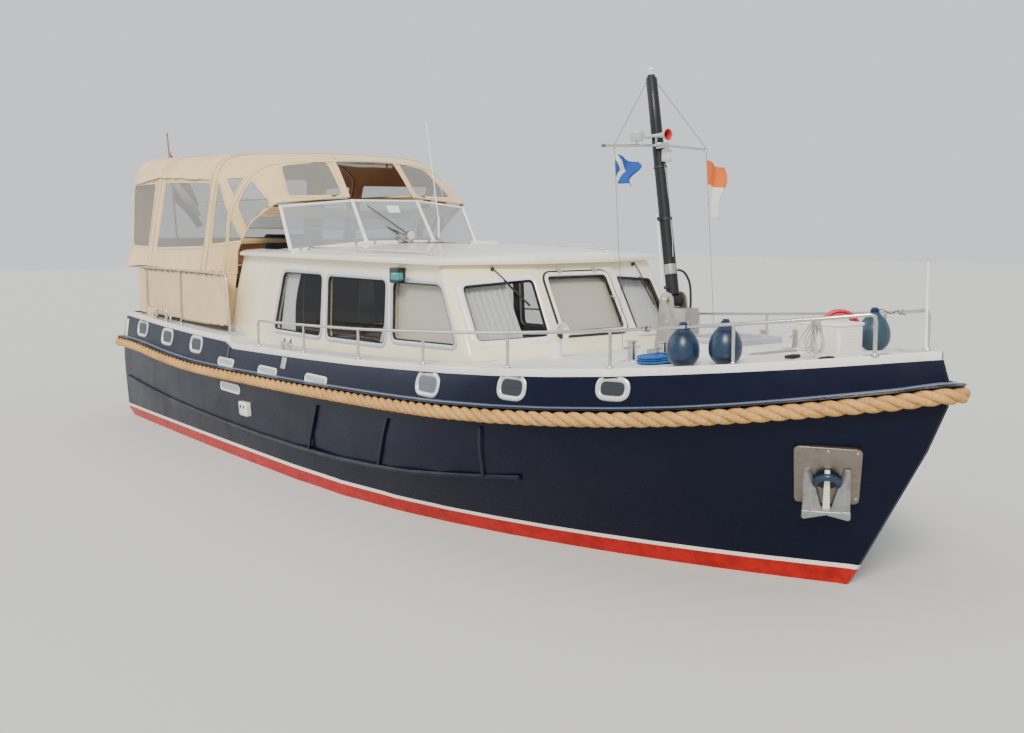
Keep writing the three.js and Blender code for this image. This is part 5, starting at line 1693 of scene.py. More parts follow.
def ribbon(
    name: str, path: Sequence[Vector], normals: Sequence[Vector], width: float, thick: float,
) -> Piece:
    """Lays a flat strip with rounded edges along a line on a surface.

    Args:
        name: The piece's name.
        path: The strip's middle.
        normals: The surface's outward normal at each point.
        width: Width of the strip.
        thick: How far it stands over the surface.

    Returns:
        The closed strip.
    """
    count = len(path)
    section = ((-0.5, -0.6), (-0.5, 0.6), (-0.42, 1.0), (0.42, 1.0), (0.5, 0.6), (0.5, -0.6))
    rows = []
    for i in range(count):
        run = (path[min(count - 1, i + 1)] - path[max(0, i - 1)]).normalized()
        across = normals[i].cross(run).normalized()
        rows.append([path[i] + across * width * a + normals[i] * thick * b for a, b in section])

    def place(u: float, v: float) -> Vector:
        return rows[round(u * (count - 1))][round(v * len(section)) % len(section)]

    piece = grid(name, len(section) + 1, count, place)
    edit(piece, lambda: weld(1e-5))
    edit(piece, close_ends)
    edit(piece, face_outwards)
    shade(piece, 45)
    return piece


def hermite(points: Sequence[Vector], mark: float, ease: float = 1.0) -> Vector:
    """Reads a smooth line through points that lie at any distance from each other.

    Args:
        points: The points, two or more of which may share a place.
        mark: A place between 0 and the number of points less one.
        ease: 1 for the smooth line, 0 for straight pieces.

    Returns:
        The point there.
    """
    last = len(points) - 1
    i = min(last - 1, int(mark))
    t = mark - i
    marks = [0.0]
    for a, b in zip(points, points[1:]):
        marks.append(marks[-1] + (b - a).length)
    span = marks[i + 1] - marks[i]
    straight = points[i].lerp(points[i + 1], t)
    if span < 1e-6:
        return straight

    def slope(k: int) -> Vector:
        low, high = max(0, k - 1), min(last, k + 1)
        reach = marks[high] - marks[low]
        return (points[high] - points[low]) / reach if reach > 1e-6 else Vector()

    curved = (
        points[i] * (2 * t**3 - 3 * t**2 + 1)
        + slope(i) * span * (t**3 - 2 * t**2 + t)
        + points[i + 1] * (3 * t**2 - 2 * t**3)
        + slope(i + 1) * span * (t**3 - t**2)
    )
    return straight.lerp(curved, ease)


@dataclass
class Canopy:
    """The folding canopy: one sheet of canvas over two hoops and corner posts, with clear windows sewn in.

    Rows are numbered from 0 at the starboard lower edge over 9 at the crown to 18 at the port lower edge.
    Columns are 0 at the front edge, 1 at the front hoop, 2 at the main hoop, 3 at the corner posts and 4 at
    the aft edge.
    """

    rows: Sequence[Sequence[Point]] = (
        (
            (-3.49, -1.3, 2.07), (-3.64, -1.42, 2.07), (-4.05, -1.487, 2.068), (-5.99, -1.478, 2.102),
            (-6.66, -1.45, 2.105),
        ),
        ((-3.34, -1.345, 2.36), (-3.5, -1.41, 2.4), (-3.9, -1.49, 2.4), (-5.88, -1.47, 2.4), (-6.62, -1.45, 2.38)),
        ((-2.93, -1.345, 2.68), (-3.35, -1.44, 2.7), (-3.77, -1.5, 2.7), (-5.76, -1.46, 2.7), (-6.57, -1.455, 2.7)),
        (
            (-2.44, -1.262, 2.895), (-3.2, -1.45, 2.88), (-3.66, -1.505, 2.95), (-5.65, -1.45, 2.95),
            (-6.52, -1.457, 2.95),
        ),
        (
            (-2.44, -1.262, 2.895), (-3.08, -1.4, 3.05), (-3.55, -1.511, 3.166), (-5.52, -1.437, 3.25),
            (-6.45, -1.457, 3.168),
        ),
        (
            (-2.44, -1.262, 2.895), (-3.04, -1.33, 3.17), (-3.55, -1.486, 3.251), (-5.52, -1.4, 3.33),
            (-6.45, -1.418, 3.317),
        ),
        (
            (-2.44, -1.262, 2.895), (-3.03, -1.26, 3.24), (-3.55, -1.376, 3.401), (-5.52, -1.294, 3.431),
            (-6.43, -1.319, 3.467),
        ),
        (
            (-2.44, -1.262, 2.895), (-3.015, -1.06, 3.346), (-3.5, -1.18, 3.468), (-5.5, -1.09, 3.525),
            (-6.42, -1.09, 3.542),
        ),
        (
            (-2.283, -0.433, 2.962), (-2.705, -0.397, 3.388), (-3.4, -0.45, 3.502), (-5.5, -0.45, 3.565),
            (-6.4, -0.45, 3.575),
        ),
        ((-2.258, 0.0, 2.967), (-2.66, 0.0, 3.396), (-3.38, 0.0, 3.506), (-5.5, 0.0, 3.57), (-6.4, 0.0, 3.58)),
    )
    side_windows: Sequence[Sequence[tuple[float, float]]] = (
        ((-6.445, 3.169), (-5.675, 3.181), (-5.98, 2.351), (-6.618, 2.362)),
        ((-5.284, 3.186), (-3.68, 3.135), (-4.0, 2.385), (-5.646, 2.343)),
        ((-3.475, 3.153), (-3.208, 2.464), (-3.804, 2.411)),
        ((-3.356, 3.185), (-3.077, 3.183), (-3.179, 2.963)),
        ((-2.967, 3.158), (-2.549, 2.898), (-3.058, 2.585), (-3.115, 2.848)),
    )
    front_window: Sequence[tuple[float, float]] = (
        (-0.969, 3.323), (-0.488, 3.381), (-0.493, 2.98), (-1.095, 2.965),
    )
    aft_window: Sequence[tuple[float, float]] = ((-1.15, 3.3), (1.15, 3.3), (1.15, 2.45), (-1.15, 2.45))
    corner_x: float = -6.2
    corner_y: float = 1.435
    open_half: float = 0.4335
    hoop_top: tuple[float, float] = (-2.705, 3.388)
    hoop_lean: float = 0.02
    inner_middle: Point = (-4.6, 0, 2.7)
    cloth: float = 0.005
    seam: float = 0.0022
    hem: float = 0.03
    hoop: float = 0.011
    columns: Sequence[int] = (8, 6, 18, 9)
    steps: Sequence[int] = (4, 4, 4, 4, 3, 4, 4, 8, 6)

    def __post_init__(self) -> None:
        """Mirrors the rows to port and spaces the sheet's lines."""
        half = [[Vector(p) for p in row] for row in self.rows]
        port = [[Vector((p.x, -p.y, p.z)) for p in row] for row in reversed(half[:-1])]
        self.all_rows = half + port
        self.across = [i + k / n for i, n in enumerate(self.columns) for k in range(n)] + [4.0]
        marks = [i + k / n for i, n in enumerate(self.steps) for k in range(n)]
        self.around = marks + [9.0] + [18.0 - m for m in reversed(marks)]

    def spot(self, u: float, v: float) -> Vector:
        """Returns a point of the sheet from a column and a row number.

        Args:
            u: Column number, 0 to 4.
            v: Row number, 0 to 18.

        Returns:
            The point.
        """
        lines = [[row[c] for row in self.all_rows] for c in range(5)]
        rises = [hermite(line, v, 0.35 if c == 0 else 0.85) for c, line in enumerate(lines)]
        spot = hermite(rises, u, 0.45)
        column = min(3, int(u))
        between_hoops = math.sin(math.pi * (u - column))
        crown = max(0.0, 1 - abs(v - 9) / 2.5)
        spot.z -= 0.014 * between_hoops * crown * (1 if column > 0 else 0)
        low = min(v, 18 - v)
        if u > 3.3 and low < 1.2:
            flare = ((u - 3.3) / 0.7) ** 2 * (1 - low / 1.2) ** 1.6
            spot.x -= 0.2 * flare
            spot.y += (-0.05 if v < 9 else 0.05) * flare
            spot.z -= 0.05 * flare
        return spot

    def normal(self, u: float, v: float) -> Vector:
        """Returns the sheet's outward normal from a column and a row number.

        Args:
            u: Column number, 0 to 4.
            v: Row number, 0 to 18.

        Returns:
            The unit normal.
        """
        step = 0.02
        along = self.spot(min(4.0, u + step), v) - self.spot(max(0.0, u - step), v)
        around = self.spot(u, min(18.0, v + step)) - self.spot(u, max(0.0, v - step))
        return around.cross(along).normalized()

    def build(self) -> None:
        """Sews the canopy and sets up its frame."""
        sheet = self._sheet()
        flat = copied(sheet, Matrix.Identity(4))
        self.skin = Solid(flat)
        bpy.data.objects.remove(flat)
        modify(sheet, "SOLIDIFY", thickness=self.cloth, offset=-1)
        self._cut(sheet)
        shade(sheet, 60)
        seat(sheet, Paint.CANOPY, replaces=("canopy",))
        self._paint_backlight_underside(sheet)
        extras = [*self._hems(), *self._seams(), self._eave(), self._piping()]
        trim = seat(join("canopy_hems_and_seams", extras), Paint.CANOPY)
        stitches = seat(join("canopy_stitches", self._stitches()), Paint.STITCH)
        self._panes()
        self._frame()
        self._rolled_panel()

    def _sheet(self) -> Piece:
        """Lays the top and sides and the aft panel as one open sheet.

        Returns:
            The sheet, without thickness.
        """
        across, around = self.across, self.around

        def fold(u: float, v: float) -> float:
            """Soft folds, strongest low down where the canvas hangs free."""
            low = max(0.0, 1 - min(v, 18 - v) / 2.2)
            wave = math.sin(9.0 * u + 2.4 * min(v, 18 - v)) + 0.6 * math.sin(21.0 * u - 3.1 * min(v, 18 - v))
            edge = math.sin(math.pi * (u - int(min(u, 3.999)))) ** 0.5 if 0 < u < 4 else 0.0
            return wave * 0.006 * low * edge

        def place(u: float, v: float) -> Vector:
            a = across[round(u * (len(across) - 1))]
            b = around[round(v * (len(around) - 1))]
            spot = self.spot(a, b)
            shift = fold(a, b)
            return spot + self.normal(a, b) * shift if shift else spot

        top = grid("canopy_top", len(around), len(across), place)
        mesh = bmesh.new()
        mesh.from_mesh(top.data)
        opening = [
            face for face in mesh.faces
            if all(abs(v.co.y) < self.open_half + 1e-4 for v in face.verts)
            and face.calc_center_median().x > self._hoop_x(face.calc_center_median().z)
        ]
        bmesh.ops.delete(mesh, geom=opening, context="FACES")
        mesh.to_mesh(top.data)
        mesh.free()
        half = around[: len(around) // 2 + 1]
        edge = [self.spot(4.0, v) for v in half]

        def end(u: float, v: float) -> Vector:
            a = edge[round(v * (len(edge) - 1))]
            b = Vector((a.x, -a.y, a.z))
            bow = 0.02 * math.sin(math.pi * u) * math.sin(math.pi * v)
            return a.lerp(b, u) - Vector((bow, 0, 0))

        aft = grid("canopy_aft", len(edge), 25, end)
        sheet = join("canopy_sheet", [top, aft])
        edit(sheet, lambda: weld(1e-4), face_outwards)
        if max(sheet.data.polygons, key=lambda face: face.center.z).normal.z < 0:
            edit(sheet, lambda: bpy.ops.mesh.flip_normals())
        return sheet

    def _hoop_x(self, z: float) -> float:
        """Station of the front hoop at a height."""
        return self.hoop_top[0] + self.hoop_lean * (self.hoop_top[1] - z)

    def _cut(self, sheet: Piece) -> None:
        """Cuts the window openings out of the thick sheet.

        Args:
            sheet: The canopy's sheet.
        """
        cutters = []
        for side in Side:
            for n, corners in enumerate(self.side_windows):
                outline = round_corners([(x, side.value * 1.72, z) for x, z in corners], 0.05, 4)
                cutters.append(plate(f"cutter_{n}", outline, (0, -side.value * 0.57, 0)))
            outline = round_corners([(-2.1, -side.value * y, z) for y, z in self.front_window], 0.05, 4)
            cutters.append(plate("cutter_front", outline, (-0.95, 0, 0)))
        outline = round_corners([(-6.9, y, z) for y, z in self.aft_window], 0.06, 4)
        cutters.append(plate("cutter_aft", outline, (0.6, 0, 0)))
        tool = join("cutters", cutters)
        modify(sheet, "BOOLEAN", object=tool, operation="DIFFERENCE", solver="EXACT", use_self=True)
        bpy.data.objects.remove(tool)

    def _paint_backlight_underside(self, sheet: Piece) -> None:
        """Gives the underside the warmer colour of canvas with light behind it.

        Args:
            sheet: The canopy's sheet.
        """
        # Painted light: faces that look inward get a warmer colour that stands for sunlight shining through the canvas.
        sheet.data.materials.append(Paint.PAINTED_BACKLIGHT_CANVAS.material())
        middle = Vector(self.inner_middle)
        for face in sheet.data.polygons:
            out = face.center - middle
            out.x *= 0.5
            if face.normal.dot(out) < 0:
                face.material_index = 1

    def _windows(self) -> list[tuple[list[Vector], Surface]]:
        """Returns the outline and the surface of each window.

        Returns:
            Pairs of an outline and the surface that it lies on.
        """
        found = []
        for side in Side:
            def beside(x: float, z: float, at: Side = side) -> tuple[Vector, Vector]:
                spot, normal = self.skin.side(x, z, at)
                while abs(spot.y) < self.corner_y and x < self.corner_x:
                    x += self.cloth
                    spot, normal = self.skin.side(x, z, at)
                return spot, normal

            for corners in self.side_windows:
                found.append((round_corners([(x, z) for x, z in corners], 0.05, 4), beside))

            def ahead(y: float, z: float) -> tuple[Vector, Vector]:
                hit = self.skin.hit((-1.5, y, z), (-1, 0, 0))
                return hit if hit else (Vector((-2.6, y, z)), Vector((1, 0, 0)))

            front = round_corners([(-side.value * y, z) for y, z in self.front_window], 0.05, 4)
            found.append((front, ahead))

        def behind(y: float, z: float) -> tuple[Vector, Vector]:
            hit = self.skin.hit((-8.5, y, z), (1, 0, 0))
            return hit if hit else (Vector((-6.6, y, z)), Vector((-1, 0, 0)))

        found.append((round_corners(self.aft_window, 0.06, 4), behind))
        return found

    def _hems(self) -> list[Piece]:
        """Sews a doubled hem round each window.

        Returns:
            One hem for each window.
        """
        section = (
            (0.0, -0.001), (0.0, self.seam), (0.1, self.seam * 1.3), (0.9, self.seam * 1.3), (1.0, 0.0), (1.0, -0.002),
        )
        hems = []
        for n, (outline, surface) in enumerate(self._windows()):
            wide = inset(dense(outline, 0.08), -self.hem)
            hems.append(band(f"hem_{n}", wide, self.hem + 0.004, section, surface))
        return hems

    def _stitches(self) -> list[Piece]:
        """Sews the thread lines round the windows and beside the hoops.

        Returns:
            The lines of thread.
        """
        section = ((0.0, 0.002), (0.3, 0.0046), (0.7, 0.0046), (1.0, 0.002))
        lines = []
        for n, (outline, surface) in enumerate(self._windows()):
            wide = inset(dense(outline, 0.08), -self.hem * 0.78)
            lines.append(band(f"stitch_{n}", wide, 0.003, section, surface))
        for hoop in (1, 2, 3):
            for side in (-0.026, 0.026):
                path, normals = self._hoop_line(hoop, side)
                lines.append(ribbon(f"stitch_hoop_{hoop}_{side}", path, normals, 0.003, 0.0042))
        return lines

    def _hoop_line(self, column: int, shift: float = 0.0) -> tuple[list[Vector], list[Vector]]:
        """Returns a line on the sheet along a hoop, moved aft or forward by a distance.

        Args:
            column: Column number of the hoop.
            shift: Distance from the hoop.

        Returns:
            The line's points and the normal at each.
        """
        path, normals = [], []
        for k in range(109):
            v = 18 * k / 108
            if column == 1 and 8 <= v <= 10 and shift > 0:
                continue
            normal = self.normal(column, v)
            path.append(self.spot(column + (-shift if shift else 0.0) / 0.55, v) + normal * 0.0005)
            normals.append(normal)
        return path, normals

    def _seams(self) -> list[Piece]:
        """Sews the doubled strips over the hoops and along the crown.

        Returns:
            The strips.
        """
        strips = []
        for hoop in (1, 2, 3):
            path, normals = self._hoop_line(hoop)
            strips.append(ribbon(f"seam_{hoop}", path, normals, 0.064, self.seam))
        for v in (6.4, 11.6):
            marks = [1 + 3 * k / 60 for k in range(61)]
            path = [self.spot(u, v) for u in marks]
            normals = [self.normal(u, v) for u in marks]
            strips.append(ribbon(f"seam_top_{v}", path, normals, 0.022, self.seam))
        return strips

    def _eave(self) -> Piece:
        """Hangs the narrow puckered flap over the aft side windows.

        Returns:
            The flaps of both sides as one piece.
        """
        flaps = []
        for side in Side:
            def place(u: float, v: float, at: Side = side) -> Vector:
                column = between(2.06, 3.97, u)
                row = between(4.9, 4.02, v)
                row = row if at is Side.STARBOARD else 18 - row
                spot, normal = self.spot(column, row), self.normal(column, row)
                pucker = 0.5 + 0.5 * math.sin(u * 46.0 + 1.7 * math.sin(u * 17.0))
                stand = 0.004 + v * v * (0.012 + 0.016 * pucker)
                ends = min(1.0, u * 14, (1 - u) * 14)
                drop = Vector((0, 0, -0.012 * v * pucker * ends))
                return spot + normal * (0.003 + stand * ends) + drop

            flaps.append(grid(f"eave_{side.word}", 9, 97, place))
        eave = join("eave", flaps)
        modify(eave, "SOLIDIFY", thickness=0.003, offset=0)
        shade(eave, 60)
        return eave

    def _piping(self) -> Piece:
        """Adds the rolled hem along the front, lower and aft edges.

        Returns:
            The rolled hem as one piece.
        """
        rolls = []
        for start, end in ((0.0, 8.0), (10.0, 18.0)):
            line = [self.spot(0.0, between(start, end, k / 60)) for k in range(61)]
            line = [p for i, p in enumerate(line) if i == 0 or (p - line[i - 1]).length > 0.004]
            rolls.append(pipe("roll_front", even(line, 0.05, False), 0.011, 8))
        for row in (0.0, 18.0):
            line = [self.spot(4 * k / 80, row) for k in range(81)]
            rolls.append(pipe("roll_low", line, 0.009, 8))
        for row in (0, 9):
            edge = [self.spot(4.0, between(0, 9, k / 50)) for k in range(51)]
            edge = [Vector((p.x, p.y if row else -p.y, p.z)) for p in edge]
            rolls.append(pipe("roll_aft", edge, 0.009, 8))
        top = [self.spot(1.0, between(8.0, 10.0, k / 20)) for k in range(21)]
        rolls.append(pipe("roll_opening", top, 0.012, 8))
        for row in (8.0, 10.0):
            rolls.append(pipe("roll_side", [self.spot(k / 12, row) for k in range(13)], 0.01, 8))
        return join("piping", rolls)

    def _panes(self) -> None:
        """Fills the window openings with clear vinyl."""
        shares = (1.0, 0.8, 0.6, 0.4, 0.2, 0.0)
        profile = [(s, -0.0022) for s in shares] + [(s, -0.0042) for s in reversed(shares)] + [(1.0, -0.0022)]
        panes = [
            overlay(f"pane_{n}", inset(dense(outline, 0.08), -0.008), profile, surface)
            for n, (outline, surface) in enumerate(self._windows())
        ]
        seat(join("canopy_windows", panes), Paint.VINYL)

    def _frame(self) -> None:
        """Bends the stainless hoops and posts under the canvas."""
        tubes = []
        for column in (1, 2, 3):
            path = []
            for k in range(91):
                v = between(0.05, 17.95, k / 90)
                path.append(self.spot(column, v) - self.normal(column, v) * (self.cloth + self.hoop + 0.002))
            tubes.append(pipe(f"hoop_{column}", even(path, 0.06, False), self.hoop, 10))
        for side in Side:
            path = [
                self.spot(between(1.0, 3.97, k / 40), 7.3 if side is Side.STARBOARD else 10.7) for k in range(41)
            ]
            lowered = [p - Vector((0, 0, self.cloth + self.hoop + 0.016)) for p in path]
            tubes.append(pipe(f"spreader_{side.word}", lowered, self.hoop * 0.8, 8))
        for side in Side:
            strut = [(-4.3, side.value * 1.44, 2.12), (-3.7, side.value * 1.44, 2.9)]
            tubes.append(pipe(f"strut_{side.word}", strut, self.hoop * 0.8, 8))
        seat(join("canopy_frame", tubes), Paint.STAINLESS)

    def _rolled_panel(self) -> None:
        """Rolls up the clear middle panel under the front hoop and straps it."""
        start, end = Vector((-2.745, -0.41, 3.372)), Vector((-2.752, 0.41, 3.352))
        run = (end - start).normalized()
        side = run.cross(Vector((0, 0, 1))).normalized()
        up = side.cross(run)
        turns, inner, pitch = 3.0, 0.012, 0.0058

        def place(u: float, v: float) -> Vector:
            angle = 2 * math.pi * turns * v
            sag = -0.012 * math.sin(math.pi * u) + 0.003 * math.sin(11 * u)
            radius = inner + pitch * turns * v + 0.0012 * math.sin(9 * u + 3 * angle / turns)
            return start.lerp(end, u) + side * math.cos(angle) * radius + up * (math.sin(angle) * radius + sag)

        roll = grid("rolled_front_panel", 90, 26, place)
        edit(roll, face_outwards)
        modify(roll, "SOLIDIFY", thickness=0.0014, offset=0)
        shade(roll, 60)
        seat(roll, Paint.ROLLED)
        straps = []
        for n, share in enumerate((0.06, 0.9)):
            middle = start.lerp(end, share) + up * (-0.012 * math.sin(math.pi * share) + 0.004)
            ring = [
                middle + side * math.cos(a) * 0.036 + up * math.sin(a) * 0.04
                for a in (2 * math.pi * k / 24 for k in range(24))
            ]
            strap = frame_ring(
                f"strap_{n}", [p - run * 0.011 for p in ring],
                [middle - run * 0.011 + (p - middle) * 0.93 for p in ring], run * 0.022, 0.0006,
            )
            straps.append(strap)
        straps = seat(join("roll_straps", straps), Paint.BLACK)


def dense(outline: Sequence[Point], step: float) -> list[tuple[float, float]]:
    """Adds points along the long straights of a closed outline of pairs.

    Args:
        outline: The outline.
        step: Rough distance between the points returned.

    Returns:
        The outline with its added points.
    """
    out = []
    for i, a in enumerate(outline):
        b = outline[(i + 1) % len(outline)]
        reach = math.hypot(b[0] - a[0], b[1] - a[1])
        parts = max(1, round(reach / step))
        out += [(between(a[0], b[0], k / parts), between(a[1], b[1], k / parts)) for k in range(parts)]
    return out


# Cabin


def two_tone(piece: Piece, finish: Finish, test: Callable[[bpy.types.MeshPolygon], bool]) -> None:
    """Gives the faces that pass a test a second finish.

    Args:
        piece: The piece.
        finish: The second finish.
        test: Tells whether a face gets it.
    """
    piece.data.materials.append(finish.material())
    last = len(piece.data.materials) - 1
    for face in piece.data.polygons:
        if test(face):
            face.material_index = last


def hang(
    name: str, corners: Sequence[Point], folds: float, depth: float, finish: Finish,
    gather: float = 0.0,
) -> None:
    """Args:
        name: The piece's name.
        corners: Top start, top end, bottom end and bottom start.
        folds: Number of pleats.
        depth: Depth of a pleat.
        finish: The cloth's finish.
        gather: How much the pleats draw together halfway down.
    """
    a, b, c, d = (Vector(p) for p in corners)
    out = (b - a).cross(d - a).normalized()

    def place(u: float, v: float) -> Vector:
        drawn = u * (1 - gather * math.sin(math.pi * v))
        spot = a.lerp(b, drawn).lerp(d.lerp(c, drawn), v)
        wave = math.sin(2 * math.pi * folds * u + 0.8 * math.sin(5 * u)) * (0.7 + 0.3 * math.sin(7 * u + 2 * v))
        return spot + out * depth * wave

    curtain = grid(name, 13, max(9, int(folds * 10)), place)
    edit(curtain, face_outwards)
    modify(curtain, "SOLIDIFY", thickness=0.0012, offset=0)
    shade(curtain, 70)
    seat(curtain, finish)
    width = length_of([place(k / 200, 0.5) for k in range(201)])
    drop = length_of([place(0.5, k / 40) for k in range(41)])


def wiper(name: str, foot: Point, tip: Point, lean: Point) -> Piece:
    """Builds a wiper: spindle cap, tapered arm and double blade.

    Args:
        name: The piece's name.
        foot: Where the spindle stands on the wall.
        tip: The blade's far end.
        lean: Outward normal of the glass.

    Returns:
        The wiper as one piece.
    """
    start, end, out = Vector(foot), Vector(tip), Vector(lean).normalized()
    run = (end - start).normalized()
    across = out.cross(run).normalized()
    middle = start.lerp(end, 0.62) + out * 0.014
    cap = turned("cap", [(0, 0), (0.017, 0), (0.017, 0.03), (0.012, 0.038), (0, 0.04)], start - out * 0.004, out, 14)
    arm = pipe("arm", smooth_path([start + out * 0.028, start.lerp(end, 0.3) + out * 0.034, middle], 0.03), 0.006, 8)
    parts = [cap, arm]
    for shift, wide in ((0.0, 0.006), (0.011, 0.0045)):
        blade = [start.lerp(end, 0.28) + across * shift + out * 0.008, end + across * shift + out * 0.008]
        parts.append(pipe(f"blade_{shift}", even(blade, 0.05, False), wide, 6))
    return join(name, parts)


@dataclass
class Cabin:
    """The raised cabin: leaning walls, framed windows, curtains and blinds, wipers and a side lamp."""

    top: float = 2.292
    side_top: float = 1.255
    side_lean: float = 0.05
    corner_x: float = 0.88
    corner_rake: float = 0.607
    front_x: float = 1.18
    front_half: float = 0.45
    front_rake: float = 0.57
    side_windows: Sequence[tuple[str, Sequence[tuple[float, float]]]] = (
        ("aft", ((-2.29, 2.14), (-1.365, 2.14), (-1.388, 1.47), (-2.52, 1.47))),
        ("middle", ((-1.256, 2.13), (-0.06, 2.13), (-0.062, 1.495), (-1.256, 1.475))),
        ("forward", ((0.052, 2.125), (0.89, 2.125), (1.177, 1.58), (0.067, 1.55))),
    )
    front_windows: Sequence[tuple[str, Sequence[tuple[float, float]]]] = (
        ("starboard", ((-1.15, 2.115), (-0.49, 2.165), (-0.515, 1.645), (-1.175, 1.62))),
        ("centre", ((-0.365, 2.18), (0.365, 2.18), (0.375, 1.675), (-0.375, 1.675))),
        ("port", ((1.15, 2.115), (0.49, 2.165), (0.515, 1.645), (1.175, 1.62))),
    )
    side_corner: float = 0.085
    front_corner: float = 0.06

    def wall(self, side: Side) -> Surface:
        """Returns one side wall as a surface of x and z."""
        normal = Vector((0, side.value, self.side_lean)).normalized()
        return lambda x, z: (Vector((x, side.value * (self.side_top + self.side_lean * (self.top - z)), z)), normal)

    def nose(self, y: float, z: float) -> tuple[Vector, Vector]:
        """Returns a point and the normal of the front wall from y and z.

        Args:
            y: Distance from the centreline.
            z: Height.

        Returns:
            The point and the outward normal.
        """

        def station(v: float, w: float) -> float:
            drop = self.top - w
            front = self.front_x + self.front_rake * drop
            if abs(v) <= self.front_half:
                return front
            corner = self.corner_x + self.corner_rake * drop
            edge = self.side_top + self.side_lean * drop
            return between(front, corner, (abs(v) - self.front_half) / (edge - self.front_half))

        step = 0.004
        slope_y = (station(y + step, z) - station(y - step, z)) / (2 * step)
        slope_z = (station(y, z + step) - station(y, z - step)) / (2 * step)
        return Vector((station(y, z), y, z)), Vector((1, -slope_y, -slope_z)).normalized()

    def build(self) -> None:
        """Builds the walls and all that is on them."""
        self._shell()
        self._side_frames()
        self._front_frames()
        self._hinged_frame()
        paint(Paint.GLASS, *(f"window_{n}_{s.word}" for n, _ in self.side_windows for s in Side))
        paint(Paint.GLASS, *(f"window_front_{n}" for n, _ in self.front_windows))
        self._curtains()
        self._blinds()
        self._wipers()
        self._side_lamps()
        self._inside()

    def _shell(self) -> None:
        """Rounds the corners of the welded walls and panels them inside."""
        shell = skin_of("cabin_shell", "cabin_walls", 20)
        mesh = bmesh.new()
        mesh.from_mesh(shell.data)

        def on_corner(spot: Vector) -> bool:
            drop = self.top - spot.z
            away_x = abs(spot.x - self.corner_x - self.corner_rake * drop)
            return away_x < 0.004 and abs(abs(spot.y) - self.side_top - self.side_lean * drop) < 0.004

        corners = [e for e in mesh.edges if e.calc_length() > 0.02 and all(on_corner(v.co) for v in e.verts)]
        if corners:
            bmesh.ops.bevel(
                mesh, geom=corners, offset=0.045, offset_type="OFFSET", segments=5, profile=0.5, affect="EDGES",
            )
        mesh.to_mesh(shell.data)
        mesh.free()
        shade(shell, 20)
        seat(shell, Paint.CABIN, replaces=("cabin_shell",))

        def inside(face: bpy.types.MeshPolygon) -> bool:
            spot = face.center
            drop = self.top - spot.z
            within_side = self.side_top + self.side_lean * drop - abs(spot.y) > 0.03
            return within_side and spot.x < self.nose(spot.y, spot.z)[0].x - 0.03 and abs(face.normal.z) < 0.7

        two_tone(shell, Paint.WOOD, inside)

    def _side_frames(self) -> None:
        """Frames the side windows in anodised mouldings with rubber inside them."""
        moulding = ((0.0, -0.003), (0.0, 0.006), (0.14, 0.011), (0.8, 0.011), (1.0, 0.005), (1.0, -0.018))
        rubber = ((0.0, -0.019), (0.0, 0.004), (0.35, 0.006), (1.0, -0.012), (1.0, -0.019))
        for side in Side:
            frames, rubbers = [], []
            for name, corners in self.side_windows:
                outline = [tuple(p) for p in round_corners([(x, z, 0) for x, z in corners], self.side_corner, 7)]
                outline = [(p[0], p[1]) for p in outline]
                frames.append(band(f"frame_{name}", inset(outline, -0.034), 0.044, moulding, self.wall(side)))
                rubbers.append(band(f"rubber_{name}", inset(outline, 0.0095), 0.015, rubber, self.wall(side)))
            seat(join(f"side_window_frames_{side.word}", frames), Paint.ALLOY)
            seat(join(f"side_window_rubbers_{side.word}", rubbers), Paint.GASKET)
            self._sliding_frame(side)

    def _sliding_frame(self, side: Side) -> None:
        """Adds the upright bars of the sliding panes in the aft and middle windows.

        Args:
            side: The side of the boat.
        """
        bars = []
        for x in (-1.86, -0.64):
            foot, _ = self.wall(side)(x, 1.485)
            head, _ = self.wall(side)(x, 2.128)
            inward = Vector((0, -side.value * 0.031, 0))
            bars.append(pipe(f"bar_{x}", [foot + inward, head + inward], 0.0035, 8))
        seat(join(f"sliding_pane_bars_{side.word}", bars), Paint.GASKET)

    def _front_frames(self) -> None:
        """Frames the outer front windows in white mouldings."""
        moulding = ((0.0, -0.003), (0.0, 0.008), (0.16, 0.014), (0.78, 0.014), (1.0, 0.006), (1.0, -0.018))
        rubber = ((0.0, -0.019), (0.0, 0.005), (0.4, 0.007), (1.0, -0.012), (1.0, -0.019))
        frames, rubbers = [], []
        for name, corners in self.front_windows:
            if name == "centre":
                continue
            outline = self.rounded(corners, self.front_corner)
            frames.append(band(f"front_frame_{name}", inset(outline, -0.04), 0.05, moulding, self.nose))
            rubbers.append(band(f"front_rubber_{name}", inset(outline, 0.0095), 0.015, rubber, self.nose))
        seat(join("front_window_frames", frames), Paint.WHITE_FRAME)
        seat(join("front_window_rubbers", rubbers), Paint.GASKET)

    @staticmethod
    def rounded(corners: Sequence[tuple[float, float]], radius: float) -> list[tuple[float, float]]:
        """Rounds the corners of a window's outline."""
        return [(p[0], p[1]) for p in round_corners([(a, b, 0) for a, b in corners], radius, 7)]

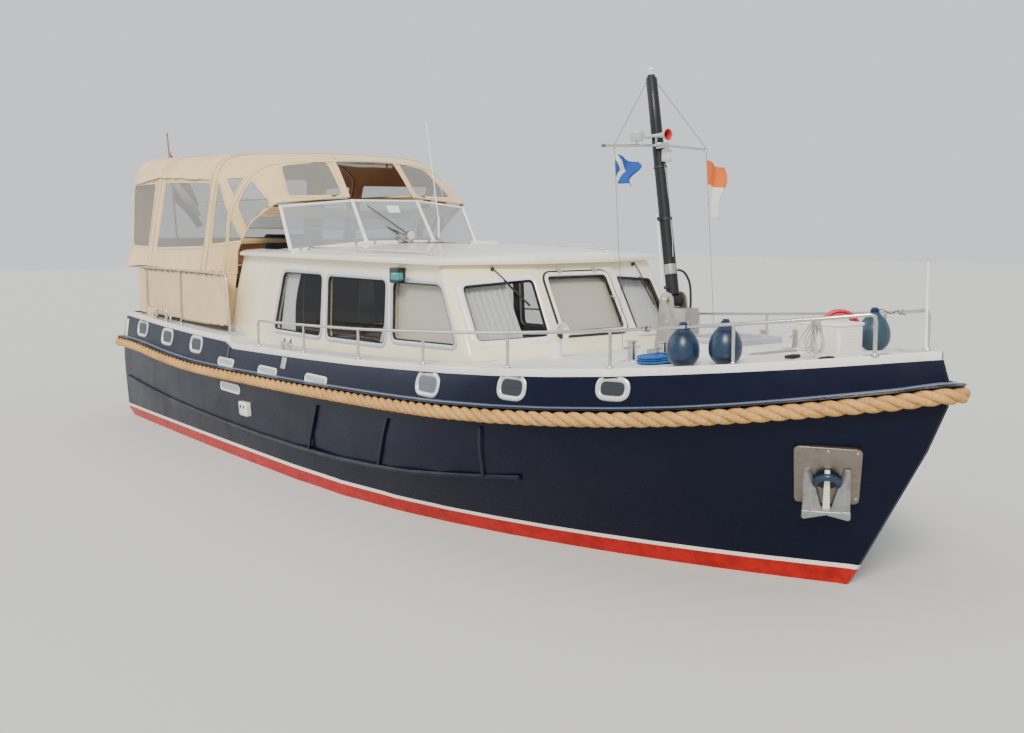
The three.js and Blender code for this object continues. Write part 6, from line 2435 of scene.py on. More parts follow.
    def _hinged_frame(self) -> None:
        """Builds the opening front window: dark seal, chromed frame, two hinges and a latch."""
        outline = self.rounded(self.front_windows[1][1], self.front_corner)
        seal = ((0.0, -0.003), (0.0, 0.012), (0.5, 0.016), (1.0, 0.012), (1.0, -0.003))
        leaf = ((0.0, 0.006), (0.0, 0.018), (0.2, 0.026), (0.8, 0.026), (1.0, 0.016), (1.0, -0.018))
        inner = ((0.0, -0.019), (0.0, 0.015), (0.4, 0.017), (1.0, -0.012), (1.0, -0.019))
        seat(band("opening_window_seal", inset(outline, -0.04), 0.022, seal, self.nose), Paint.GASKET)
        seat(
            band("opening_window_frame", inset(outline, -0.024), 0.036, leaf, self.nose), Paint.WHITE_FRAME,
        )
        seat(band("opening_window_rubber", inset(outline, 0.012), 0.01, inner, self.nose), Paint.GASKET)
        chrome = []
        for y in (-0.2, 0.22):
            spot, out = self.nose(y, 2.205)
            up = out.cross(Vector((0, 1, 0))).normalized() * -1
            corners = [(-0.024, -0.03), (0.024, -0.03), (0.024, 0.022), (-0.024, 0.022)]
            points = [spot + Vector((0, 1, 0)) * a + up * b + out * 0.018 for a, b in corners]
            chrome.append(plate(f"hinge_{y}", points, out * 0.012, 0.003))
            barrel = [spot + Vector((0, -0.026, 0)) + out * 0.03, spot + Vector((0, 0.026, 0)) + out * 0.03]
            chrome.append(pipe(f"barrel_{y}", barrel, 0.007, 10))
        spot, out = self.nose(0.352, 1.95)
        chrome.append(pipe(
            "latch_arm", [spot + out * 0.02, spot + out * 0.034, spot + out * 0.034 + Vector((0, -0.05, 0.014))], 0.006,
            8,
        ))
        chrome.append(turned("latch_base", [(0, 0), (0.015, 0), (0.013, 0.008), (0, 0.01)], spot + out * 0.02, out, 14))
        seat(join("opening_window_fittings", chrome), Paint.STAINLESS)

    def _curtains(self) -> None:
        """Hangs the net curtains behind the aft, middle and outer front windows."""
        for side in Side:
            y, low = side.value * 1.2, side.value * 1.215
            bunch = ((-2.33, y, 2.17), (-1.95, y, 2.17), (-2.12, low, 1.46), (-2.5, low, 1.46))
            hang(f"aft_curtain_{side.word}", bunch, 6, 0.014, Paint.CURTAIN, 0.2)
            corner = ((-0.2, y, 1.75), (-0.08, y, 1.8), (-0.07, low, 1.46), (-0.32, low, 1.46))
            hang(f"middle_curtain_{side.word}", corner, 3, 0.012, Paint.CURTAIN)
            net = [
                self._behind(self.nose, side.value * between(1.17, 0.5, share), z, 0.085)
                for share, z in ((0.0, 2.15), (0.66, 2.17), (0.66, 1.6), (0.0, 1.59))
            ]
            hang(f"front_curtain_{side.word}", net, 9, 0.014, Paint.CURTAIN)

    @staticmethod
    def _behind(surface: Surface, a: float, b: float, depth: float) -> Vector:
        """Returns a point at a depth behind a wall."""
        spot, out = surface(a, b)
        return spot - out * depth

    def _blinds(self) -> None:
        """Pulls the beige blinds down behind the forward side windows and the middle front one."""
        for side in Side:
            wide = ((0.02, 2.17), (0.93, 2.17), (1.2, 1.52), (0.03, 1.52))
            corners = [self._behind(self.wall(side), x, z, 0.064) for x, z in wide]
            hang(f"forward_blind_{side.word}", corners, 2, 0.002, Paint.BLIND)
        middle = ((-0.4, 2.2), (0.4, 2.2), (0.41, 1.64), (-0.41, 1.64))
        hang("front_blind", [self._behind(self.nose, y, z, 0.066) for y, z in middle], 1.5, 0.002, Paint.BLIND)

    def _wipers(self) -> None:
        """Adds the two wipers of the front windows."""
        for name, foot, tip in (
            ("front_wiper_starboard", (-0.83, 2.244), (-0.61, 1.917)), ("front_wiper_port", (0.9, 2.25), (1.01, 1.85)),
        ):
            start, out = self.nose(*foot)
            end, _ = self.nose(*tip)
            seat(wiper(name, start, end, out), Paint.BLACK)

    def _side_lamps(self) -> None:
        """Adds the housed lamp over the forward window on each side."""
        for side in Side:
            spot, out = self.wall(side)(0.22, 2.18)
            low = (0.125, min(spot.y, spot.y + side.value * 0.09), 2.105)
            high = (0.285, max(spot.y, spot.y + side.value * 0.09), 2.25)
            housing = slab(f"lamp_housing_{side.word}", low, high, 0.012, 3)
            seat(housing, Paint.BLACK)
            y0, y1 = spot.y + side.value * 0.03, spot.y + side.value * 0.1
            lens = slab(f"lamp_lens_{side.word}", (0.16, min(y0, y1), 2.13), (0.298, max(y0, y1), 2.208), 0.02, 4)
            seat(lens, Paint.LENS if side is Side.STARBOARD else Paint.RED_PLASTIC)

    def _inside(self) -> None:
        """Finishes the salon's joinery and cushions the settee."""
        for node in ("salon_settee_port", "galley_counter", "salon_table"):
            smoothed(node, Paint.WOOD, angle=30, edge=0.008)
        door = smoothed("companionway_door", Paint.WOOD, Body.DOOR, 30, 0.002)
        two_tone(door, Paint.STAINLESS, lambda face: face.center.x < -2.667)
        shelf = slab("window_shelf_starboard", (-2.4, -1.19, 1.5), (0.8, -1.05, 1.525), 0.004)
        seat(shelf, Paint.WOOD)


# Roof and windscreen


@dataclass
class Roof:
    """The crowned roof with its rails, aerial, searchlight and the raked windscreen at its aft end."""

    crown: Solid
    grab_y: float = 1.08
    grab_z: float = 2.394
    grab_tube: float = 0.0125
    grab_posts: Sequence[float] = (-2.05, -0.8, 0.46)
    foot: Sequence[tuple[float, float]] = ((-2.141, 1.245), (-1.874, 0.447))
    head: Sequence[Point] = ((-2.425, 1.222, 2.846), (-2.219, 0.431, 2.915))
    foot_rise: float = 0.012

    def build(self) -> None:
        """Builds the roof's pieces."""
        roof = smoothed("cabin_roof", Paint.ROOF, angle=30, edge=0.006)
        two_tone(roof, Paint.CABIN, lambda face: face.normal.z < 0.2)
        self._grab_rails()
        self._windscreen()
        self._screen_fittings()
        self._aerial()
        self._searchlight()
        self._box_and_cables()

    def _flange(self, x: float, y: float, radius: float) -> Piece:
        """Makes a round foot that stands on the roof.

        Args:
            x: Its station.
            y: Its distance from the centreline.
            radius: Its radius.

        Returns:
            The foot.
        """
        base = self.crown.top(x, y) - Vector((0, 0, 0.001))
        profile = [(0, 0), (radius, 0), (radius, 0.003), (radius * 0.55, 0.008), (radius * 0.45, 0.014), (0, 0.014)]
        return turned(f"flange_{x}", profile, base, (0, 0, 1), 20)

    def _grab_rails(self) -> None:
        """Bends the two low rails along the roof's edges."""
        for side in Side:
            y = side.value * self.grab_y
            aft, middle, fore = self.grab_posts
            ends = [self.crown.top(x, y).z - 0.004 for x in (aft, fore)]
            z = self.grab_z
            path = [
                Vector((aft, y, ends[0])), Vector((aft, y, z - 0.03)), Vector((aft + 0.012, y, z - 0.008)),
                Vector((aft + 0.04, y, z)), *[Vector((x, y, z + 0.003)) for x in (-1.5, -0.9, -0.2, 0.2)],
                Vector((fore - 0.04, y, z - 0.003)), Vector((fore - 0.012, y, z - 0.011)), Vector((fore, y, z - 0.035)),
                Vector((fore, y, ends[1])),
            ]
            parts = [pipe("grab", path, self.grab_tube, 12)]
            foot = self.crown.top(middle, y).z - 0.004
            parts.append(pipe("grab_post", [(middle, y, foot), (middle, y, z)], self.grab_tube * 0.8, 10))
            parts += [self._flange(x, y, 0.026) for x in self.grab_posts]
            rail = join(f"roof_rail_{side.word}_tube", parts)
            seat(rail, Paint.STAINLESS, replaces=(f"roof_rail_{side.word}",))

    def _corners(self) -> tuple[list[Vector], list[Vector]]:
        """Returns the windscreen's foot and head corners from starboard to port.

        Returns:
            The feet and the heads.
        """
        half = [Vector((x, y, self.roof_z(x, y) + self.foot_rise)) for x, y in self.foot]
        feet = [Vector((p.x, -p.y, p.z)) for p in half] + list(reversed(half))
        tops = [Vector(p) for p in self.head]
        heads = [Vector((p.x, -p.y, p.z)) for p in tops] + list(reversed(tops))
        return feet, heads

    @staticmethod
    def roof_z(x: float, y: float) -> float:
        """Height of the crowned roof."""
        ahead = max(0.0, (x - 0.2) / 1.25)
        return 2.337 + 0.108 * (1 - (y / 1.33) ** 2) * (1 - 0.75 * ahead * ahead)

    def _windscreen(self) -> None:
        """Builds the white posts and rails of the windscreen and glazes it."""
        feet, heads = self._corners()
        parts = [pipe("sill", feet, 0.021, 12), pipe("head", heads, 0.016, 12)]
        for n, (a, b) in enumerate(zip(feet, heads)):
            parts.append(pipe(f"post_{n}", [a, b], [0.024, 0.02], 12))
            parts.append(turned(
                f"cap_{n}", [(0, -0.02), (0.021, -0.018), (0.023, 0.0), (0.021, 0.016), (0, 0.02)], b, (0, 0, 1), 14,
            ))
        seat(join("windscreen_posts", parts), Paint.CAP, replaces=("windscreen_frame",))
        paint(Paint.SMOKED, "windscreen_pane_starboard", "windscreen_pane_centre", "windscreen_pane_port")

    def _screen_fittings(self) -> None:
        """Adds the small clamps at the windscreen's foot and its wiper."""
        feet, heads = self._corners()
        clamps = []
        for a, b, share in ((0, 1, 0.12), (0, 1, 0.85), (1, 2, 0.1), (1, 2, 0.9), (2, 3, 0.15), (2, 3, 0.88)):
            spot = feet[a].lerp(feet[b], share)
            run = (feet[b] - feet[a]).normalized()
            out = run.cross(Vector((0, 0, 1))).normalized()
            if out.x < 0:
                out = -out
            low = spot + out * 0.012 - Vector((0, 0, 0.012))
            points = [
                low - run * 0.016, low + run * 0.016, low + run * 0.016 + Vector((0, 0, 0.05)),
                low - run * 0.016 + Vector((0, 0, 0.05)),
            ]
            clamps.append(plate(f"clamp_{a}_{share}", points, out * 0.014, 0.003))
        seat(join("windscreen_clamps", clamps), Paint.STAINLESS)
        glass = (heads[1] - feet[1]).cross(Vector((0, -1, 0))).normalized()
        if glass.x < 0:
            glass = -glass
        foot = Vector((-1.84, 0.02, self.roof_z(-1.84, 0.02) + 0.03))
        tip = Vector((-2.05, -0.11, 2.62)) + glass * 0.02
        block = slab("wiper_motor", (-1.9, -0.06, foot.z - 0.03), (-1.76, 0.1, foot.z + 0.035), 0.01, 3)
        seat(block, Paint.SATIN)
        seat(wiper("windscreen_wiper", foot + Vector((0, 0, 0.02)), tip, glass), Paint.BLACK)
        a = Vector((-2.11, -0.30, 2.86))
        b = Vector((-1.9, 0.19, 2.49))
        arm = pipe("long_wiper_arm", even([a, b], 0.1, False), [0.006] * len(even([a, b], 0.1, False)), 6)
        seat(arm, Paint.BLACK)
        across = (heads[2] - heads[1]).normalized()
        down = (feet[1] - heads[1]).normalized()
        corner = heads[1] + across * 0.42 + down * 0.07 + glass * 0.006
        paper = [corner, corner + across * 0.16, corner + across * 0.158 + down * 0.1, corner + down * 0.1]
        seat(plate("paper_in_the_screen", paper, glass * 0.0006), Paint.PAPER)

    def _aerial(self) -> None:
        """Builds the whip aerial on its ratchet foot."""
        base = self.crown.top(-1.777, 0.45)
        line = [Vector((-1.777, 0.45, 2.48)), Vector((-1.778, 0.45, 2.714)), Vector((-2.025, 0.45, 3.823))]
        whip = pipe("whip", even(line, 0.08, False), 0.006, 8)
        profile = [(0, 0), (0.012, 0), (0.012, 0.24), (0.009, 0.27), (0, 0.27)]
        sleeve = turned("sleeve", profile, (-1.777, 0.45, 2.47), (0, 0, 1), 12)
        seat(join("aerial_whip", [whip, sleeve]), Paint.WHITE_PLASTIC, replaces=("antenna",))
        foot = turned(
            "ratchet",
            [(0, -0.002), (0.045, -0.002), (0.045, 0.006), (0.024, 0.012), (0.02, 0.03), (0.03, 0.036), (0.03, 0.062),
             (0.018, 0.07), (0, 0.07)],
            base, (0, 0, 1), 20,
        )
        lever = pipe("lever", [base + Vector((0, 0, 0.05)), base + Vector((0.06, -0.03, 0.055))], 0.005, 8)
        seat(join("aerial_foot", [foot, lever]), Paint.STAINLESS)

    def _searchlight(self) -> None:
        """Builds the small chromed searchlight behind the windscreen's middle."""
        base = self.crown.top(-1.7, 0.0)
        stem = turned(
            "stem", [
                (0, -0.002), (0.045, -0.002), (0.045, 0.006), (0.02, 0.016), (0.015, 0.04), (0, 0.04),
            ], base, (0, 0, 1), 20,
        )
        lamp = [
            (0, -0.07), (0.02, -0.068), (0.042, -0.05), (0.055, -0.01), (0.06, 0.05), (0.062, 0.06), (0.056, 0.06),
            (0.05, 0.045), (0, 0.04),
        ]
        body = turned("body", lamp, base + Vector((0, 0, 0.095)), (1, 0, 0), 28)
        yoke = pipe(
            "yoke",
            smooth_path([
                base + Vector(p)
                for p in ((0, -0.062, 0.1), (0, -0.06, 0.05), (0, 0, 0.03), (0, 0.06, 0.05), (0, 0.062, 0.1))
            ], 0.02),
            0.006, 8,
        )
        seat(join("searchlight_body", [stem, body, yoke]), Paint.STAINLESS, replaces=("searchlight",))
        lens = turned(
            "searchlight_lens", [(0, 0.046), (0.048, 0.048), (0.05, 0.053), (0.03, 0.058), (0, 0.06)],
            base + Vector((0, 0, 0.095)), (1, 0, 0), 28,
        )
        seat(lens, Paint.CLEAR_LENS)

    def _box_and_cables(self) -> None:
        """Adds the white junction box and the cables that lie on the roof by it."""
        x, y = -1.3, 0.78
        z = self.crown.top(x, y).z
        box = slab("roof_junction_box", (x - 0.11, y - 0.14, z - 0.012), (x + 0.09, y + 0.12, z + 0.05), 0.012, 3)
        seat(box, Paint.WHITE_PLASTIC)
        radius = 0.005
        for n, bends in enumerate((
            ((-1.8, 0.42), (-1.72, 0.5), (-1.6, 0.52), (-1.52, 0.62), (-1.42, 0.68)),
            ((-1.82, 0.06), (-1.74, 0.2), (-1.62, 0.3), (-1.55, 0.5), (-1.42, 0.74)),
        )):
            flat = smooth_path([Vector((a, b, 0)) for a, b in bends], 0.03)
            route = [Vector((p.x, p.y, self.crown.top(p.x, p.y).z + radius + 0.0006)) for p in flat]
            cable = pipe(f"roof_cable_{n}", route, radius, 8)
            seat(cable, Paint.BLACK)
            round(length_of(route), 2)


# Decks, rails and weather cloth


def cap_half(x: float) -> float:
    """Half-breadth of the boat at the cap.

    Args:
        x: The station.

    Returns:
        The distance from the centreline.
    """
    ahead = max(0.0, (x - 1.27) / (5.116 - 1.27))
    aft = max(0.0, (-1.5 - x) / 5.0)
    return 1.69 * (1 - ahead**2.47) - 0.07 * aft * aft


@dataclass
class Deck:
    """The welded decks with their rounded toe rail, sanded panels and bulwark fittings."""

    deck: Solid
    lift: float = 0.0009
    radius: float = 0.07
    chain_x: float = -2.86
    seam_x: float = 1.135
    strip_x: Sequence[float] = (3.62, 3.72)

    def build(self) -> None:
        """Builds the decks' pieces."""
        for node in ("foredeck", "deck_starboard", "deck_port"):
            smoothed(node, Paint.CAP, angle=30, edge=0.009, end=self.seam_x)
        for side in Side:
            self._panel(
                f"side_deck_panel_{side.word}", -2.92, 1.02,
                lambda x, s=side: s.value * 1.345, lambda x, s=side: s.value * (cap_half(x) - 0.115), Paint.NON_SKID,
            )
        self._panel(
            "aft_deck_panel", -6.28, -3.08, lambda x: -(cap_half(x) - 0.115), lambda x: cap_half(x) - 0.115,
            Paint.NON_SKID,
        )
        self._panel(
            "foredeck_panel", 1.76, 4.6, lambda x: -(cap_half(x) - 0.13), lambda x: cap_half(x) - 0.13, Paint.FORE_SAND,
        )
        self._weld_beads()
        self._hatch_strips()
        self._small_bollards()
        self._aft_fairleads()
        self._chain()

    def _panel(
        self, name: str, aft: float, fore: float, low: Callable[[float], float], high: Callable[[float], float],
        finish: Finish,
    ) -> None:
        """Rolls sanded paint onto a part of the deck, with rounded corners.

        Args:
            name: The piece's name.
            aft: Its aft station.
            fore: Its fore station.
            low: Gives one edge's Y at a station.
            high: Gives the other edge's Y.
            finish: The sanded paint.
        """
        columns = max(3, round((fore - aft) / 0.045))
        rows = max(4, round((high((aft + fore) / 2) - low((aft + fore) / 2)) / 0.07)) if high(fore) > low(fore) else 5

        def place(u: float, v: float) -> Vector:
            x = between(aft, fore, u)
            near = min(x - aft, fore - x)
            pull = self.radius - math.sqrt(max(0.0, self.radius**2 - max(0.0, self.radius - near) ** 2))
            a, b = low(x), high(x)
            sign = 1 if b > a else -1
            y = between(a + sign * pull, b - sign * pull, v)
            return self.deck.top(x, y) + Vector((0, 0, self.lift))

        panel = grid(name, rows, columns, place)
        if panel.data.polygons[0].normal.z < 0:
            edit(panel, lambda: bpy.ops.mesh.flip_normals())
        modify(panel, "SOLIDIFY", thickness=0.0007, offset=-1)
        shade(panel, 30)
        seat(panel, finish)

    def _weld_beads(self) -> None:
        """Fills the groove between each side deck and the foredeck with a ground weld."""
        beads = []
        for side in Side:
            line = [self.deck.top(self.seam_x - 0.015, side.value * between(1.3, 1.684, k / 24)) for k in range(25)]
            path = [Vector((self.seam_x, p.y, p.z - 0.0085)) for p in line]
            beads.append(pipe(f"bead_{side.word}", path, 0.011, 12))
        seat(join("deck_weld_beads", beads), Paint.CAP)

    def _hatch_strips(self) -> None:
        """Lays the two stainless strips across the deck ahead of the hatch."""
        for n, x in enumerate(self.strip_x):
            z = self.deck.top(x, 0.0).z
            strip = slab(f"deck_strip_{n}", (x, -0.24, z + 0.0008), (x + 0.035, 0.24, z + 0.012), 0.003)
            seat(strip, Paint.SATIN)

    def _post(self, x: float, y: float, height: float, radius: float) -> Piece:
        """Makes a small capped bollard post on a pad.

        Args:
            x: Its station.
            y: Its distance from the centreline.
            height: Its height.
            radius: Its radius.

        Returns:
            The post.
        """
        base = self.deck.top(x, y) - Vector((0, 0, 0.001))
        profile = [
            (0, 0), (radius * 1.5, 0), (radius * 1.5, 0.006), (radius, 0.01), (radius, height),
            (radius * 0.8, height + 0.008), (0, height + 0.009),
        ]
        return turned("post", profile, base, (0, 0, 1), 20)

    def _small_bollards(self) -> None:
        """Builds the midship twin bollards on the cap with their cross pins."""
        for side in Side:
            y = side.value * 1.575
            parts = [self._post(x, y, 0.125, 0.027) for x in (-1.71, -1.56)]
            z = self.deck.top(-1.63, y).z + 0.075
            parts.append(pipe("pin", [(-1.79, y, z), (-1.48, y, z)], 0.01, 10))
            seat(join(f"midship_bollard_{side.word}", parts), Paint.STAINLESS)

    def _aft_fairleads(self) -> None:
        """Builds the aft bollard, its frame and the small canvas pocket beside it."""
        for side in Side:
            y = side.value * 1.6
            parts = [self._post(x, y, 0.13, 0.022) for x in (-5.42, -5.05)]
            z = self.deck.top(-5.2, y).z
            hoop = smooth_path(
                [Vector(p) for p in (
                    (-5.76, y, z + 0.1), (-5.7, y, z + 0.16), (-5.3, y, z + 0.15), (-4.95, y, z + 0.1),
                    (-4.9, y, z - 0.002),
                )], 0.04,
            )
            parts.append(pipe("hoop", hoop, 0.011, 10))
            parts.append(pipe("leg", [(-5.74, y, z - 0.002), (-5.76, y, z + 0.1)], 0.011, 10))
            seat(join(f"aft_fairlead_{side.word}", parts), Paint.STAINLESS)
            self._pocket(side, z)

    def _pocket(self, side: Side, z: float) -> None:
        """Sews the small canvas pocket that hangs on the aft frame.

        Args:
            side: The side of the boat.
            z: Height of its foot.
        """
        y = side.value * 1.622

        def place(u: float, v: float) -> Vector:
            belly = 0.022 * math.sin(math.pi * u) ** 0.7 * math.sin(math.pi * min(1.0, v * 1.1)) ** 0.6
            return Vector((between(-5.68, -5.46, u), y + side.value * belly, between(z + 0.15, z + 0.012, v)))

        pocket = grid(f"canvas_pocket_{side.word}", 12, 14, place)
        modify(pocket, "SOLIDIFY", thickness=0.004, offset=0)
        shade(pocket, 60)
        seat(pocket, Paint.APRON)

    def _chain(self) -> None:
        """Hangs the short chain from the starboard rail's foot into the freeing port below it."""
        outer = Solid("hull", "deck_starboard")
        links = []
        for k in range(16):
            z = 1.352 - k * 0.0155
            hit = outer.hit((self.chain_x, -4.0, z), (0, 1, 0))
            y = hit[0].y - 0.009 if hit else -1.74
            a, b = (0.0045, 0.0105)
            flat = k % 2 == 0
            ring = []
            for n in range(10):
                t = 2 * math.pi * n / 10
                wide, tall = a * math.cos(t), b * math.sin(t)
                ring.append((self.chain_x + (wide if flat else 0), y + (0 if flat else wide), z + tall))
            links.append(pipe(f"link_{k}", ring, 0.0017, 5, loop=True))
        seat(join("rail_foot_chain", links), Paint.SATIN)


@dataclass
class Rails:
    """The side rails on their posts, the rail round the stern and the jackstaff."""

    deck: Solid
    tube: float = 0.014
    rise: float = 0.28
    inset_y: float = 0.06
    bow_y: float = 0.303
    starboard: Sequence[float] = (4.816, 4.048, 3.232, 2.301, 1.155, 0.014, -1.114, -2.207)
    port: Sequence[float] = (4.816, 4.03, 3.2, 2.2, 1.25, 0.014, -1.114, -2.207)
    stern_z: float = 2.075
    stern_y: float = 1.5
    stern_fore: float = -3.35
    stern_foot: float = -3.18
    stern_aft: float = -6.33
    stern_posts: Sequence[Point] = ((-4.8, 1.5), (-6.02, 1.5), (-6.33, 0.7))

    def build(self) -> None:
        """Builds the rails."""
        for side in Side:
            self._side_rail(side)
        self._stern_rail()
        self._jackstaff()

    def _flange(self, x: float, y: float, radius: float = 0.036) -> Piece:
        """Makes a welded foot plate on the cap.

        Args:
            x: Its station.
            y: Its distance from the centreline.
            radius: Its radius.

        Returns:
            The foot plate.
        """
        base = self.deck.top(x, y) - Vector((0, 0, 0.001))
        profile = [
            (0, 0), (radius, 0), (radius, 0.004), (radius * 0.92, 0.006), (self.tube * 1.25, 0.007),
            (self.tube * 1.05, 0.014), (0, 0.014),
        ]
        return turned("flange", profile, base, (0, 0, 1), 18)

    def _cap_z(self, x: float, y: float) -> float:
        """Height of the cap under the rail."""
        return self.deck.top(x, y).z

    def _side_rail(self, side: Side) -> None:
        """Bends one side rail and welds its posts.

        Args:
            side: The side of the boat.
        """
        posts = self.starboard if side is Side.STARBOARD else self.port
        bow, aft = posts[0], posts[-1]

        def at(x: float, up: float) -> Vector:
            y = side.value * (self.bow_y if x == bow else cap_half(x) - self.inset_y)
            return Vector((x, y, self._cap_z(x, y) + up))

        top = [at(bow + (aft - bow) * k / 24, self.rise) for k in range(1, 24)]
        fore_top = Vector((bow - 0.03, side.value * (self.bow_y + 0.02), at(bow, self.rise).z))
        aft_top = at(aft, self.rise) + Vector((0.03, 0, 0))
        bend = [at(bow, self.rise - 0.045), at(bow, self.rise - 0.012) + Vector((-0.008, 0, 0)), fore_top]
        back = [aft_top, at(aft, self.rise - 0.012) + Vector((0.008, 0, 0)), at(aft, self.rise - 0.045)]
        path = [at(bow, -0.003), *bend, *top, *back, at(aft, -0.003)]
        parts = [pipe("rail", path, self.tube, 12)]
        for x in posts[1:-1]:
            parts.append(pipe("post", [at(x, -0.003), at(x, self.rise)], self.tube * 0.92, 12))
        parts += [self._flange(x, at(x, 0).y) for x in posts]
        rail = join(f"side_rail_{side.word}", parts)
        seat(rail, Paint.STAINLESS, replaces=(f"rail_{side.word}",))

    def stern_path(self, y: float, fore: float, aft: float, corner: float = 0.26) -> list[Vector]:
        """Returns the level line round the stern from starboard to port.

        Args:
            y: Distance from the centreline on the straights.
            fore: Station of both ends.
            aft: Station across the stern.
            corner: Size of the two corners.

        Returns:
            The line, at height zero.
        """
        points = [
            (fore, -y), (between(fore, aft, 0.5), -y), (aft + corner, -y), (aft + corner * 0.3, -y + corner * 0.3),
            (aft, -y + corner), (aft, 0.0), (aft, y - corner), (aft + corner * 0.3, y - corner * 0.3),
            (aft + corner, y), (between(fore, aft, 0.5), y), (fore, y),
        ]
        return smooth_path([Vector((a, b, 0)) for a, b in points], 0.06)

    def _stern_rail(self) -> None:
        """Bends the rail round the stern."""
        level = [
            Vector((p.x, p.y, self.stern_z)) for p in self.stern_path(self.stern_y, self.stern_fore, self.stern_aft)
        ]
        ends = []
        for sign in (-1, 1):
            y = sign * (self.stern_y + 0.04)
            ends.append(Vector((self.stern_foot, y, self._cap_z(self.stern_foot, y) - 0.003)))
        first, last = level[0], level[-1]
        round_in = [ends[0], ends[0].lerp(first, 0.9), ends[0].lerp(first, 0.97) + Vector((-0.006, 0, 0))]
        round_out = [ends[1].lerp(last, 0.97) + Vector((-0.006, 0, 0)), ends[1].lerp(last, 0.9), ends[1]]
        path = [*round_in, *[p for p in level if p.x < self.stern_fore - 0.02], *round_out]
        parts = [pipe("stern_rail", path, self.tube, 12)]
        for x, y in self.stern_posts:
            for sign in (-1, 1):
                foot = self._cap_z(x, sign * y)
                parts.append(pipe(
                    "stern_post", [(x, sign * y, foot - 0.003), (x, sign * y, self.stern_z)], self.tube * 0.85, 12,
                ))
                parts.append(self._flange(x, sign * y))
        parts += [self._flange(p.x, p.y) for p in ends]
        seat(join("stern_rail_tube", parts), Paint.STAINLESS, replaces=("aft_rail",))

    def _jackstaff(self) -> None:
        """Raises the thin white staff with its grey cap at the port bow."""
        staff = pipe(
            "jackstaff", [(4.816, 0.284, 1.735), (4.812, 0.282, 2.0), (4.808, 0.28, 2.4)], [0.012, 0.011, 0.009], 10,
        )
        seat(staff, Paint.WHITE_PLASTIC)
        cap = turned(
            "jackstaff_cap", [(0, 0), (0.012, 0.002), (0.013, 0.012), (0.008, 0.024), (0, 0.026)], (4.808, 0.28, 2.398),
            (0, 0, 1), 14,
        )
        seat(cap, Paint.GREY_PLASTIC)


